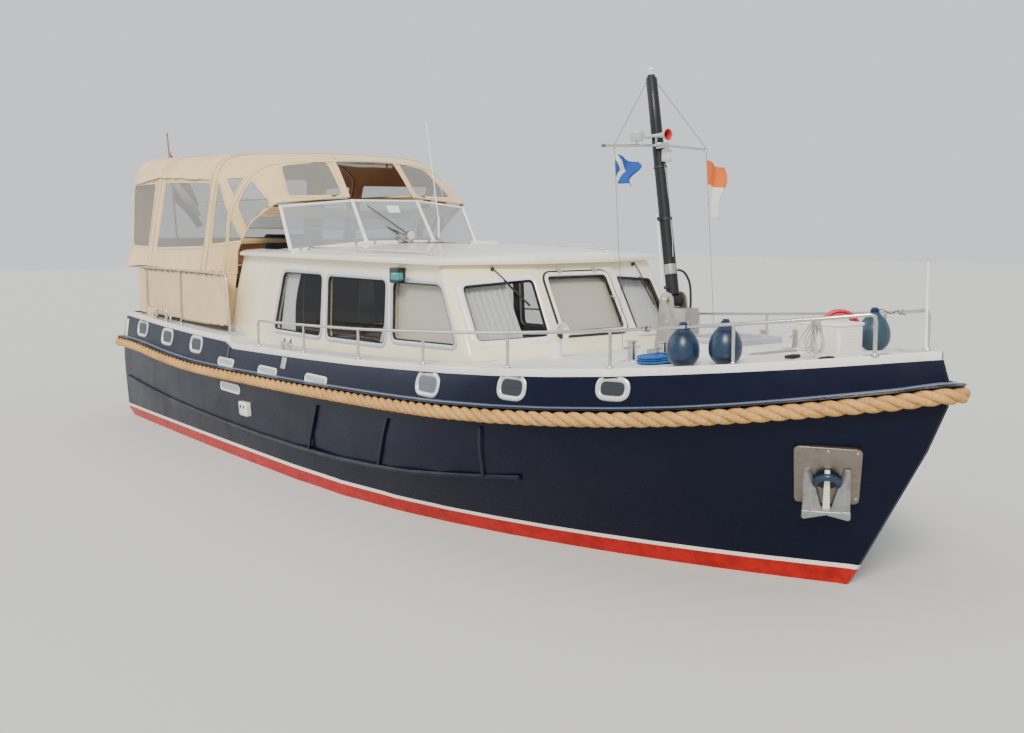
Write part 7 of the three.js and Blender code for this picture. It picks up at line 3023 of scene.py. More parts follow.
@dataclass
class WeatherCloth:
    """The canvas laced under the stern rail, and the canopy's skirts beside the cabin."""

    rails: Rails
    canopy: Canopy
    stand: float = 0.0227
    low: float = 1.465
    high: float = 2.05
    aft: float = -6.455
    cloth: float = 0.003
    lace_step: float = 0.21

    def build(self) -> None:
        """Sews the cloth, its lacing and the skirts."""
        rails = self.rails
        y = rails.stern_y - self.stand
        fore = rails.stern_fore - 0.06
        path = even(rails.stern_path(y, fore, self.aft, 0.14), 0.045, False)
        reach = length_of(path)
        count = len(path)

        def place(u: float, v: float) -> Vector:
            i = min(count - 1, round(u * (count - 1)))
            run = (path[min(count - 1, i + 1)] - path[max(0, i - 1)]).normalized()
            out = run.cross(Vector((0, 0, 1))).normalized()
            mark = u * reach
            lace = math.cos(2 * math.pi * mark / self.lace_step)
            end = min(mark, reach - mark)
            crinkle = math.exp(-end / 0.35)
            z = between(self.low, self.high, v)
            z -= 0.007 * (1 - lace) / 2 * v**6
            z += 0.018 * crinkle * (1 - v) * math.sin(mark * 31)
            lean = (
                0.004 * math.sin(mark * 3.1 + 2.2 * v) * math.sin(math.pi * v)
                + 0.004 * (1 - lace) / 2 * v**4
                + 0.016 * crinkle * math.sin(mark * 34 + 6.5 * v) * math.sin(math.pi * min(1.0, v * 0.96 + 0.04))
            )
            return path[i] + out * lean * 0.9 + Vector((0, 0, z))

        cloth = grid("weather_cloth_canvas", 15, count, place)
        modify(cloth, "SOLIDIFY", thickness=self.cloth, offset=0)
        shade(cloth, 60)
        seat(cloth, Paint.APRON, replaces=("weather_cloth",))
        hems = []
        for v, radius in ((0.0, 0.006), (1.0, 0.006)):
            hems.append(pipe(f"hem_{v}", [place(k / (count - 1), v) for k in range(count)], radius, 7))
        hem = seat(join("weather_cloth_hems", hems), Paint.APRON)
        laces = self._laces(path, reach)
        for side in Side:
            self._skirt(side)

    def _laces(self, path: Sequence[Vector], reach: float) -> Piece:
        """Ties the cloth to the rail with short loops.

        Args:
            path: The cloth's line.
            reach: Its length.

        Returns:
            The loops as one piece.
        """
        rings = []
        mark, passed = self.lace_step, 0.0
        for a, b in zip(path, path[1:]):
            passed += (b - a).length
            if passed < mark or mark > reach - 0.1:
                continue
            mark += self.lace_step
            if a.x < self.rails.stern_aft + 0.2:
                continue
            run = (b - a).normalized()
            out = run.cross(Vector((0, 0, 1))).normalized()
            middle = a + out * (self.stand * 0.5) + Vector((0, 0, self.rails.stern_z - 0.014))
            lean = 0.02 * math.sin(mark * 9.0)
            ring = []
            for k in range(14):
                t = 2 * math.pi * k / 14
                rise = Vector((0, 0, 0.034 * math.sin(t)))
                ring.append(middle + out * 0.0265 * math.cos(t) + rise + run * lean * math.sin(t))
            rings.append(pipe("lace", ring, 0.0032, 6, loop=True))
        return seat(join("weather_cloth_laces", rings), Paint.TWINE)

    def _skirt(self, side: Side) -> None:
        """Hangs the canopy's skirt from its lower edge to the deck, from the cabin's edge aft.

        Args:
            side: The side of the boat.
        """
        row = 0.0 if side is Side.STARBOARD else 18.0

        def place(u: float, v: float) -> Vector:
            top = self.canopy.spot(between(0.0, 2.45, u), row)
            foot_x = top.x + 0.02 - 0.215 * (1 - u) ** 1.5
            bottom = Vector((foot_x, side.value * max(1.3, abs(top.y) * 0.985), 1.44))
            wave = math.sin(13 * u + 1.5 * v) * 0.007 + math.sin(31 * u + 2.0 * v) * 0.003
            spot = top.lerp(bottom, v)
            spot.y = side.value * min(abs(spot.y) + wave * math.sin(math.pi * min(1, u * 1.3)) * v, 1.462)
            return spot

        skirt = grid(f"canopy_skirt_{side.word}", 17, 40, place)
        modify(skirt, "SOLIDIFY", thickness=0.003, offset=0)
        shade(skirt, 60)
        seat(skirt, Paint.CANOPY)


# Helm, seats and saloon cushions


@dataclass
class Cushion:
    """A stuffed cushion, crowned and pulled in between its corners."""

    name: str
    low: Point
    high: Point
    finish: Finish = Paint.SEAT
    crown: float = 0.018
    pull: float = 0.014
    fill: float = 0.7
    cell: float = 0.035
    pressure: float = 4.0
    tension: float = 30.0
    bending: float = 1.5
    frames: int = 20

    def build(self) -> Piece:
        """Returns:
            The cushion.
        """
        low, high = Vector(self.low), Vector(self.high)
        piece = slab(self.name, low, high, 0.02, 3)
        self._inflate(piece, low, high)
        seat(piece, self.finish)
        return piece

    def _inflate(self, piece: Piece, low: Vector, high: Vector) -> None:
        """Fills the cover as cloth under pressure, limits how far it swells, crowns it and pulls in its sides, then
        smooths it.

        Args:
            piece: The cover.
            low: Its lowest corner.
            high: Its highest corner.
        """
        modify(piece, "REMESH", mode="VOXEL", voxel_size=self.cell, adaptivity=0.0)
        start = [v.co.copy() for v in piece.data.vertices]
        cloth = piece.modifiers.new("fill", "CLOTH")
        cloth.settings.use_pressure = True
        cloth.settings.uniform_pressure_force = self.pressure
        cloth.settings.effector_weights.gravity = 0.0
        cloth.settings.tension_stiffness = self.tension
        cloth.settings.bending_stiffness = self.bending
        for frame_number in range(1, self.frames + 1):
            bpy.context.scene.frame_set(frame_number)
        select_only(piece)
        bpy.ops.object.modifier_apply(modifier="fill")
        bpy.context.scene.frame_set(1)
        for vertex, first in zip(piece.data.vertices, start):
            step = vertex.co - first
            if step.length > self.crown:
                vertex.co = first + step.normalized() * self.crown
        middle, half = (low + high) / 2, (high - low) / 2
        thin = min(range(3), key=lambda k: half[k])
        wide = [k for k in range(3) if k != thin]
        for vertex, first in zip(piece.data.vertices, start):
            a, b = ((first[k] - middle[k]) / half[k] for k in wide)
            c = (first[thin] - middle[thin]) / half[thin]
            dome = max(0.0, 1 - a * a) ** 0.5 * max(0.0, 1 - b * b) ** 0.5
            free = 1.0 if c > 0 else 0.15
            vertex.co[thin] += self.crown * 0.6 * dome * (1 if c > 0 else -1) * min(1.0, abs(c)) * free
            for k, own, other in ((wide[0], a, b), (wide[1], b, a)):
                vertex.co[k] -= self.pull * (1 - other * other) * own * max(0.0, abs(own) - 0.6)
        modify(piece, "SUBSURF", levels=1, render_levels=1)
        shade(piece, 60)


@dataclass
class Cockpit:
    """The helm console with its wheel, the helm seat and the bench across the stern."""

    deck: Solid
    wheel_spot: Point = (-2.982, -0.51, 2.01)
    wheel_radius: float = 0.225
    console_y: tuple[float, float] = (-0.96, -0.06)
    seat_spot: Point = (-3.62, -0.51, 1.8)
    bench_low: Point = (-6.2, -1.15, 1.43)
    bench_high: Point = (-5.62, 1.15, 1.83)

    def build(self) -> None:
        """Builds the helm and the seats."""
        self._console()
        self._wheel()
        self._helm_seat()
        self._bench()

    def _console(self) -> None:
        """Dresses the console and sets its dash, gauges and levers."""
        smoothed("helm_console", Paint.WOOD, angle=30, edge=0.006)
        a, b = self.console_y
        slope = Vector((0.16, 0, 0.105)).normalized()
        normal = Vector((-0.105, 0, 0.16)).normalized()
        foot = Vector((-2.9, 0, 2.18))

        def on_dash(y: float, up: float, out: float) -> Vector:
            return foot + slope * up + normal * out + Vector((0, y, 0))

        corners = round_corners([(a + 0.05, 0.02), (b - 0.05, 0.02), (b - 0.05, 0.17), (a + 0.05, 0.17)], 0.02, 3)
        panel = plate("dash_panel", [on_dash(p[0], p[1], -0.001) for p in corners], normal * 0.006, 0.0015)
        seat(panel, Paint.BLACK)
        rims, faces = [], []
        for y, up, radius in (
            (-0.84, 0.1, 0.042), (-0.73, 0.1, 0.042), (-0.62, 0.095, 0.034), (-0.4, 0.1, 0.042), (-0.28, 0.1, 0.034),
            (-0.18, 0.1, 0.034),
        ):
            spot = on_dash(y, up, 0.004)
            rims.append(turned("rim", [
                (radius * 0.78, 0), (radius, 0), (radius, 0.009), (radius * 0.86, 0.013), (radius * 0.78, 0.008),
                (radius * 0.78, 0),
            ], spot, normal, 24))
            faces.append(turned(
                "face", [(0, 0), (radius * 0.79, 0), (radius * 0.79, 0.005), (0, 0.005)], spot, normal, 20,
            ))
        seat(join("gauge_rims", rims), Paint.RIM)
        seat(join("gauge_faces", faces), Paint.PAPER)
        lever_foot = Vector((-2.86, -0.14, 2.2))
        lever = join("throttle_lever", [
            slab("base", lever_foot - Vector((0.03, 0.03, 0.02)), lever_foot + Vector((0.05, 0.03, 0.02)), 0.006),
            pipe("arm", [lever_foot + Vector((0.01, 0, 0.01)), lever_foot + Vector((-0.015, 0, 0.12))], 0.006, 8),
            turned(
                "knob", [(0, 0), (0.016, 0.004), (0.02, 0.018), (0.014, 0.034), (0, 0.038)],
                lever_foot + Vector((-0.018, 0, 0.11)), (0, 0, 1), 14,
            ),
        ])
        seat(lever, Paint.BLACK)

    def _wheel(self) -> None:
        """Builds the wheel: a padded rim, four curved spokes and a hub on its shaft."""
        middle = Vector(self.wheel_spot)
        ring, lacing = [], []
        for k in range(56):
            t = 2 * math.pi * k / 56
            ring.append(middle + Vector((0, math.cos(t), math.sin(t))) * self.wheel_radius)
        rim = pipe("wheel_rim", ring, 0.015, 12, loop=True)
        seat(rim, Paint.LEATHER, Body.WHEEL, ("steering_wheel",))
        for k in range(28):
            t = 2 * math.pi * (k + 0.5) / 28
            spot = middle + Vector((0, math.cos(t), math.sin(t))) * (self.wheel_radius - 0.0148)
            run = Vector((0, -math.sin(t), math.cos(t)))
            lacing.append(pipe(
                "stitch", [spot - run * 0.007 + Vector((0.003, 0, 0)), spot + run * 0.007 - Vector((0.003, 0, 0))],
                0.0012, 5,
            ))
        seat(join("wheel_stitches", lacing), Paint.STITCH, Body.WHEEL)
        parts = []
        for k in range(4):
            t = math.pi / 4 + k * math.pi / 2
            out = Vector((0, math.cos(t), math.sin(t)))
            spine = [
                middle + out * r + Vector((x, 0, 0)) for r,
                x in ((0.02, 0.012), (0.08, 0.016), (0.16, 0.008), (self.wheel_radius - 0.004, 0))
            ]
            parts.append(pipe("spoke", spine, [0.013, 0.011, 0.009, 0.008], 10))
        hub = [(0, -0.022), (0.03, -0.02), (0.04, -0.008), (0.04, 0.02), (0.03, 0.03), (0.028, 0.08), (0, 0.08)]
        parts.append(turned("hub", hub, middle, (1, 0, 0), 24))
        seat(join("wheel_spokes", parts), Paint.STAINLESS, Body.WHEEL)

    def _helm_seat(self) -> None:
        """Stands the helm seat on its post and pads it."""
        x, y, z = self.seat_spot
        floor = self.deck.top(x, y)
        post = turned(
            "helm_seat_post",
            [
                (0, -0.001), (0.13, -0.001), (0.13, 0.008), (0.115, 0.014), (0.05, 0.02), (0.045, 0.36), (0.1, 0.375),
                (0.1, 0.395), (0, 0.395),
            ],
            floor, (0, 0, 1), 28,
        )
        seat(post, Paint.STAINLESS, replaces=("helm_seat",))
        pan = slab("helm_seat_pan", (x - 0.215, y - 0.265, 1.79), (x + 0.215, y + 0.265, 1.815), 0.008)
        seat(pan, Paint.BLACK)
        Cushion("helm_seat_cushion", (x - 0.23, y - 0.28, 1.812), (x + 0.23, y + 0.28, 1.915)).build()
        Cushion("helm_seat_back", (x - 0.26, y - 0.28, 1.9), (x - 0.15, y + 0.28, 2.55)).build()

    def _bench(self) -> None:
        """Builds the bench's locker and its cushions."""
        (x0, y0, _), (x1, y1, z1) = self.bench_low, self.bench_high
        floor = max(self.deck.top(x, y).z for x in (x0, x1) for y in (y0, 0, y1))
        locker = slab("stern_bench_locker", (x0, y0, floor - 0.002), (x1 - 0.02, y1, floor + 0.33), 0.012, 2)
        seat(locker, Paint.CAP, replaces=("stern_bench",))
        for n in range(2):
            a = between(y0, y1, n / 2) + 0.006
            b = between(y0, y1, (n + 1) / 2) - 0.006
            Cushion(f"stern_bench_cushion_{n + 1}", (x0 + 0.005, a, floor + 0.332), (x1, b, floor + 0.42)).build()
            door = plate(
                f"bench_locker_door_{n + 1}",
                [(x1 - 0.021, p[0], p[1]) for p in round_corners([
                    (a + 0.12, floor + 0.05), (b - 0.12, floor + 0.05), (b - 0.12, floor + 0.28),
                    (a + 0.12, floor + 0.28),
                ], 0.02, 3)],
                (0.008, 0, 0), 0.002,
            )
            seat(door, Paint.CAP)


@dataclass
class Saloon:
    """The saloon settee's cushions, which show through the windows."""

    fore: float = 0.68
    aft: float = -1.68
    near: float = 0.625
    wall: float = 1.17
    seat_z: float = 0.782

    def build(self) -> None:
        """Lays the settee's seat and back cushions."""
        span = (self.fore - self.aft) / 3
        for n in range(3):
            a, b = self.aft + span * n + 0.005, self.aft + span * (n + 1) - 0.005
            Cushion(
                f"settee_cushion_{n + 1}", (a, self.near, self.seat_z), (b, self.wall - 0.13, self.seat_z + 0.11),
                Paint.SETTEE,
            ).build()
            Cushion(
                f"settee_back_{n + 1}", (a, self.wall - 0.125, self.seat_z), (b, self.wall, self.seat_z + 0.47),
                Paint.SETTEE,
            ).build()


# Mast and its gear


@dataclass
class Mast:
    """The lowering mast with its lamps, crosstree, horn, dome and rigging, all on the mast's body except the cable
    loom, which is given no body.
    """

    pivot: Point = (2.55, 0.0, 2.015)
    rake: float = 9.3
    foot_radius: float = 0.055
    top: float = 3.89
    crosstree_z: float = 3.3
    starboard_end: float = -0.683
    port_end: float = 0.512
    dome_y: float = -0.312
    horn_y: float = -0.092
    lantern: tuple[float, float] = (3.175, 3.28)

    def at(self, z: float, ahead: float = 0.0, y: float = 0.0) -> Vector:
        """Returns a point on the mast's line at a height."""
        x, _, z0 = self.pivot
        return Vector((x - (z - z0) * math.tan(math.radians(self.rake)) + ahead, y, z))

    @property
    def lean(self) -> Vector:
        """Direction up the mast."""
        return (self.at(3.0) - self.at(2.0)).normalized()

    def build(self) -> None:
        """Builds the mast."""
        self._spar()
        self._top_lamp()
        self._lantern()
        self._crosstree()
        self._rigging()
        self._strut()
        self._tabernacle()

    def _ride(self, piece: Piece, finish: Finish, slot: str, *nodes: str) -> Piece:
        """Finishes a piece on the mast's body."""
        return seat(piece, finish, Body.MAST, nodes)

    def _radius(self, z: float) -> float:
        """Radius of the tapered spar at a height."""
        return self.foot_radius * between(1, 0.87, (z - self.pivot[2]) / (self.top - self.pivot[2]))

    def _spar(self) -> None:
        """Turns the spar, its heel barrel, collars and bands."""
        levels = [self.pivot[2] + 0.045, 2.4, 3.0, 3.5, self.top - 0.012, self.top]
        radii = [self._radius(z) for z in levels]
        radii[-1] *= 0.8
        spar = pipe("mast_spar", [self.at(z) for z in levels], radii, 32)
        half = Vector((0, 0.068, 0))
        bore = 0.0175
        barrel = turned(
            "mast_heel",
            [
                (bore, 0), (self.foot_radius - 0.003, 0), (self.foot_radius, 0.003), (self.foot_radius, 0.133),
                (self.foot_radius - 0.003, 0.136), (bore, 0.136), (bore, 0),
            ],
            Vector(self.pivot) - half, (0, 1, 0), 32,
        )
        self._ride(join("mast_spar", [spar, barrel]), Paint.MAST, "mast_paint", "mast")
        band = turned("mast_tape_band", [
            (0.052, 0), (0.0565, 0.001), (0.0575, 0.03), (0.0565, 0.05), (0.0572, 0.07), (0.0565, 0.085),
            (0.052, 0.086), (0.052, 0),
        ], self.at(2.23), self.lean, 28)
        self._ride(band, Paint.SATIN, "stainless")
        collars = []
        for z, tall in ((2.68, 0.03), (3.12, 0.02)):
            r = self._radius(z)
            collars.append(turned(
                "collar",
                [(r - 0.004, 0), (r + 0.006, 0.002), (r + 0.006, tall - 0.002), (r - 0.004, tall), (r - 0.004, 0)],
                self.at(z), self.lean, 28,
            ))
        self._ride(join("mast_collars", collars), Paint.BLACK, "mast_paint")

    def _top_lamp(self) -> None:
        """Sets the round masthead lamp on its collar."""
        base = self.at(self.top - 0.006)
        lamp = turned(
            "masthead_lamp_case", [(0, 0), (0.034, 0.002), (0.034, 0.022), (0.03, 0.026), (0, 0.026)], base, self.lean,
            28,
        )
        self._ride(lamp, Paint.BLACK, "mast_paint")
        cap = turned(
            "masthead_lamp_cap", [(0, 0.06), (0.031, 0.06), (0.034, 0.064), (0.034, 0.076), (0.026, 0.084), (0, 0.086)],
            base, self.lean, 28,
        )
        self._ride(cap, Paint.WHITE_PLASTIC, "stainless")
        lens = turned(
            "masthead_lamp_lens",
            [(0, 0.024), (0.029, 0.025), (0.031, 0.034), (0.031, 0.054), (0.029, 0.063), (0, 0.064)], base, self.lean,
            28,
        )
        self._ride(lens, Paint.CLEAR_LENS, "clear_pane")

    def _lantern(self) -> None:
        """Builds the steaming lantern on its arm ahead of the mast."""
        low, high = self.lantern
        ahead = self.foot_radius + 0.038
        base = self.at(low, ahead)
        base.x, top = self.at((low + high) / 2, ahead).x, high - low
        case = [
            turned(
                "foot", [(0, 0), (0.036, 0), (0.042, 0.006), (0.042, 0.024), (0.036, 0.03), (0, 0.03)], base, (0, 0, 1),
                28,
            ),
            turned("cap", [
                (0, top - 0.028), (0.036, top - 0.028), (0.042, top - 0.022), (0.042, top - 0.01), (0.03, top),
                (0, top + 0.002),
            ], base, (0, 0, 1), 28),
            slab("arm", self.at(3.205, 0.03, -0.018), (base.x - 0.01, 0.018, 3.228), 0.004),
            slab(
                "back", self.at(low, self._radius(3.2) - 0.008, -0.024), Vector((base.x - 0.02, 0.024, high - 0.004)),
                0.006,
            ),
        ]
        self._ride(join("steaming_lantern_case", case), Paint.GREY_PLASTIC, "stainless")
        lens = turned(
            "steaming_lantern_lens",
            [(0, 0.028), (0.035, 0.029), (0.037, 0.04), (0.037, top - 0.038), (0.035, top - 0.027), (0, top - 0.026)],
            base, (0, 0, 1), 28,
        )
        self._ride(lens, Paint.CLEAR_LENS, "clear_pane")

    def _crosstree(self) -> None:
        """Builds the crosstree with its horn, aerial dome and lamp tips."""
        z = self.crosstree_z
        front = self.at(z, self.foot_radius + 0.016)

        def on_bar(y: float, up: float = 0.0) -> Vector:
            drop = 0.026 * abs(y) / 0.683 if y < 0 else 0.02 * y / 0.512
            return Vector((front.x, y, z + 0.012 - drop + up))

        ys = [between(self.starboard_end, self.port_end, k / 12) for k in range(13)]
        parts = [pipe("bar", [on_bar(y) for y in ys], 0.011, 14)]
        half = 0.046
        clamp = [
            (front.x + 0.012, -half), (front.x + 0.012, half), (front.x - 0.05, half), (front.x - 0.05, half - 0.004),
            (front.x - 0.012, half - 0.012), (front.x - 0.012, -half + 0.012), (front.x - 0.05, -half + 0.004),
            (front.x - 0.05, -half),
        ]
        parts.append(plate("clamp", [(a, b, z - 0.014) for a, b in clamp], (0, 0, 0.05), 0.002))
        parts.append(pipe("dome_foot", [on_bar(self.dome_y, -0.002), on_bar(self.dome_y, 0.045)], 0.01, 12))
        parts.append(pipe("horn_foot", [on_bar(self.horn_y, -0.002), on_bar(self.horn_y, 0.07)], 0.009, 12))
        for y in (self.starboard_end + 0.13, self.port_end - 0.02):
            parts.append(pipe("eye", [
                on_bar(y, 0.004) + Vector((0.012 * math.cos(t), 0, -0.018 + 0.012 * math.sin(t)))
                for t in (k * math.pi / 6 for k in range(12))
            ], 0.0025, 6, loop=True))
        self._ride(join("crosstree_bar", parts), Paint.STAINLESS, "stainless", "crosstree")
        tip = turned(
            "crosstree_green_tip", [(0, -0.003), (0.0125, 0), (0.0125, 0.03), (0.008, 0.036), (0, 0.037)],
            on_bar(self.starboard_end + 0.025), (0, -1, 0), 16,
        )
        self._ride(tip, Paint.GREEN_PLASTIC, "stainless")
        dome = turned(
            "aerial_dome",
            [
                (0, 0.03), (0.05, 0.032), (0.053, 0.038), (0.061, 0.078), (0.0615, 0.083), (0.057, 0.086), (0.06, 0.09),
                (0.058, 0.108), (0.048, 0.12), (0.025, 0.127), (0, 0.128),
            ],
            on_bar(self.dome_y, 0.004), (0, 0, 1), 36,
        )
        self._ride(dome, Paint.GREY_PLASTIC, "stainless")
        start = Vector((self.at(z).x - 0.07, self.horn_y, z + 0.09))
        bell = [
            (0, 0), (0.018, 0.001), (0.022, 0.008), (0.022, 0.05), (0.017, 0.058), (0.012, 0.075), (0.016, 0.17),
            (0.026, 0.235), (0.041, 0.27), (0.05, 0.284), (0.05, 0.287), (0.047, 0.286), (0.038, 0.268), (0.022, 0.235),
            (0.012, 0.2), (0, 0.2),
        ]
        self._ride(turned("horn_trumpet", bell, start, (1, 0, 0), 36), Paint.GREY_PLASTIC, "stainless")
        throat = [
            (0, 0.2004), (0.0115, 0.2008), (0.0212, 0.2362), (0.0365, 0.2686), (0.0445, 0.2838), (0.0452, 0.2846),
            (0.0372, 0.2680), (0.0222, 0.2344), (0.0125, 0.1996), (0, 0.1996),
        ]
        self._ride(turned("horn_throat", throat, start, (1, 0, 0), 36), Paint.RED_PLASTIC, "stainless")

    def _rigging(self) -> None:
        """Strings the stays, the halyards and the lamp's cables."""
        head = self.at(3.865)
        lines = []
        for y, foot in ((self.starboard_end + 0.127, (2.73, -0.73, 1.65)), (self.port_end - 0.007, (2.58, 0.47, 1.66))):
            sign = -1 if y < 0 else 1
            outer = Vector((self.at(self.crosstree_z, self.foot_radius + 0.016).x, y, self.crosstree_z))
            lines.append(pipe("stay", [head + Vector((0, sign * 0.044, 0)), outer], 0.0028, 6))
            lines.append(pipe("halyard", [outer - Vector((0, 0, 0.02)), Vector(foot)], 0.0022, 6))
        self._ride(join("mast_stays", lines), Paint.STAY, "line_white")
        cable = [self.at(z, 0.0, 0.0) + Vector((
            self._radius(z) + 0.004 + 0.003 * math.sin(z * 23), 0.012 * math.sin(z * 5), 0,
        )) for z in [3.16 - k * 0.06 for k in range(14)]]
        self._ride(pipe("lantern_cable", smooth_path(cable, 0.03), 0.0035, 7), Paint.WHITE_LINE, "line_white")
        loom = smooth_path([Vector(p) for p in (
            (2.565, 0.03, 2.27), (2.6, 0.075, 2.245), (2.625, 0.115, 2.15), (2.632, 0.122, 2.0), (2.628, 0.118, 1.86),
            (2.625, 0.116, 1.705),
        )], 0.012)
        piece = pipe("mast_cable_loom", loom, 0.0105, 12)
        piece.data.materials.append(Paint.GASKET.material())
        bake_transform(piece)
        round(length_of(loom), 2)

    def _strut(self) -> None:
        """Builds the white strut and its clamp low on the mast."""
        strut = pipe("mast_strut", [(2.408, -0.07, 2.733), (2.455, -0.07, 2.4), (2.5, -0.07, 2.085)], 0.009, 12)
        self._ride(strut, Paint.WHITE_PLASTIC, "stainless")
        holders = []
        for z in (2.7, 2.12):
            spot = self.at(z)
            holders.append(slab(
                "holder", spot + Vector((-0.02, -0.084, -0.014)),
                spot + Vector((0.02, -self._radius(z) + 0.012, 0.014)), 0.005,
            ))
        self._ride(join("mast_strut_holders", holders), Paint.BLACK, "mast_paint")

    def _tabernacle(self) -> None:
        """Dresses the tabernacle and sets its pin and bolts."""
        smoothed("mast_tabernacle", Paint.TABLE, angle=30, edge=0.004)
        x, _, z = self.pivot
        bolts = []
        for side in Side:
            for dz, radius in ((0.0, 0.022), (-0.19, 0.016)):
                base = Vector((x + (0.0 if dz == 0 else 0.01), side.value * (0.104 if dz == 0 else 0.0855), z + dz))
                bolts.append(turned("bolt", [
                    (0, -0.001), (radius * 1.3, -0.001), (radius * 1.3, 0.003), (radius, 0.004), (radius, 0.013),
                    (radius * 0.8, 0.016), (0, 0.016),
                ], base, (0, side.value, 0), 6 if dz else 18))
        seat(join("tabernacle_bolts", bolts), Paint.STAINLESS)


# Foredeck gear and the bow anchor


@dataclass
class Foredeck:
    """The hatch, fenders, bollards, locker and cowl on the foredeck."""

    deck: Solid
    fenders: Sequence[tuple[str, float, float]] = (
        ("fender_starboard_aft", 3.64, -0.96), ("fender_starboard_fore", 3.905, -0.8), ("fender_port", 4.235, 0.47),
    )
    bollard_x: Sequence[float] = (2.88, 3.24)
    bollard_y: float = 0.77
    locker_low: Point = (3.985, -0.118, 0.0)
    locker_high: Point = (4.373, 0.152, 0.215)
    cowl_spot: tuple[float, float] = (1.9, -0.75)

    def build(self) -> None:
        """Builds the foredeck's gear."""
        self._hatch()
        for name, x, y in self.fenders:
            self._fender(name, x, y)
        for side in Side:
            self._bollards(side)
        self._locker()
        self._cowl()
        self._snubbers()

    def _hatch(self) -> None:
        """Builds the foredeck hatch: its rim, the lid's frame and smoked pane, hinges and catches."""
        smoothed("foredeck_hatch_frame", Paint.CAP, angle=30, edge=0.004)
        low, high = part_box("foredeck_hatch_lid")
        low, high = Vector(low), Vector(high)
        pane_edge = 0.045

        def square(shrink: float, corner: float) -> list[Vector]:
            points = [
                (low.x + shrink, low.y + shrink), (high.x - shrink, low.y + shrink), (high.x - shrink, high.y - shrink),
                (low.x + shrink, high.y - shrink),
            ]
            return round_corners(points, corner, 5)

        outer = [(p[0], p[1], low.z) for p in square(0.0, 0.045)]
        inner = [(p[0], p[1], low.z) for p in square(pane_edge, 0.03)]
        lid = frame_ring("foredeck_hatch_lid_frame", outer, inner, (0, 0, high.z - low.z), 0.005)
        seat(lid, Paint.ALLOY, Body.HATCH, ("foredeck_hatch_lid",))
        pane = plate(
            "foredeck_hatch_pane", [(p[0], p[1], high.z - 0.016) for p in square(pane_edge - 0.006, 0.034)],
            (0, 0, 0.012), 0.002,
        )
        seat(pane, Paint.HATCH_PANE, Body.HATCH)
        grips = []
        for y in (-0.14, 0.14):
            grips.append(slab(
                "catch", (high.x - 0.075, y - 0.02, high.z - 0.006), (high.x - 0.045, y + 0.02, high.z + 0.004), 0.003,
            ))
        for y in (-0.2, 0.2):
            grips.append(pipe(
                "hinge", [(low.x - 0.004, y - 0.035, low.z + 0.004), (low.x - 0.004, y + 0.035, low.z + 0.004)], 0.009,
                12,
            ))
        seat(join("foredeck_hatch_fittings", grips), Paint.ALLOY, Body.HATCH)

    def _fender(self, name: str, x: float, y: float) -> None:
        """Blows up a ball fender with its eye, collar and lashing.

        Args:
            name: The fender's name.
            x: Its station.
            y: Its distance from the centreline.
        """
        grey = name == "fender_port"
        base = self.deck.top(x, y) - Vector((0, 0, 0.004))
        profile = [
            (0, 0), (0.03, 0.002), (0.066, 0.012), (0.1, 0.042), (0.117, 0.078), (0.1225, 0.12), (0.118, 0.165),
            (0.104, 0.206), (0.084, 0.24), (0.062, 0.266), (0.045, 0.282), (0.036, 0.291), (0.034, 0.298), (0.0, 0.3),
        ]
        ball = turned(f"{name}_ball", profile, base, (0, 0, 1), 40)
        seat(ball, Paint.GREY_FENDER if grey else Paint.FENDER, replaces=(name,))
        neck = [
            (0, 0.285), (0.036, 0.287), (0.038, 0.297), (0.03, 0.302), (0.026, 0.31), (0.026, 0.326), (0.02, 0.333),
            (0, 0.334),
        ]
        seat(turned(f"{name}_eye", neck, base, (0, 0, 1), 24), Paint.EYE_BLUE)
        self._lashing(name, base)

    def _lashing(self, name: str, base: Vector) -> None:
        """Lashes a fender to the rail with its line, wrapped round the neck and drawn taut.

        Args:
            name: The fender's name.
            base: Where the fender stands.
        """
        side = -1 if base.y < 0 else 1
        x = base.x - 0.14 if side < 0 else base.x + 0.12
        rail_y = side * ((cap_half(x) - 0.06) if x < 4.7 else 0.32)
        rail = Vector((x, rail_y, self.deck.top(x, rail_y).z + 0.28))
        neck = base + Vector((0, 0, 0.307))
        points = []
        for k in range(17):
            t = 2 * math.pi * k / 8
            points.append(neck + Vector((0.031 * math.cos(t), 0.031 * math.sin(t), 0.0011 * k - 0.006)))
        out = (rail - points[-1]).normalized()
        points += [points[-1] + out * 0.04, points[-1].lerp(rail, 0.5) - Vector((0, 0, 0.02))]
        for k in range(1, 14):
            t = math.pi * 0.5 + 2 * math.pi * k / 6.5
            points.append(rail + Vector((0.006 * (k - 7) * 0.8, 0.0185 * math.cos(t), 0.0185 * math.sin(t))))
        path = smooth_path(points, 0.008)
        line = pipe(f"{name}_line", path, 0.0038, 7)
        seat(line, Paint.NAVY_LINE)
        round(length_of(path), 2)

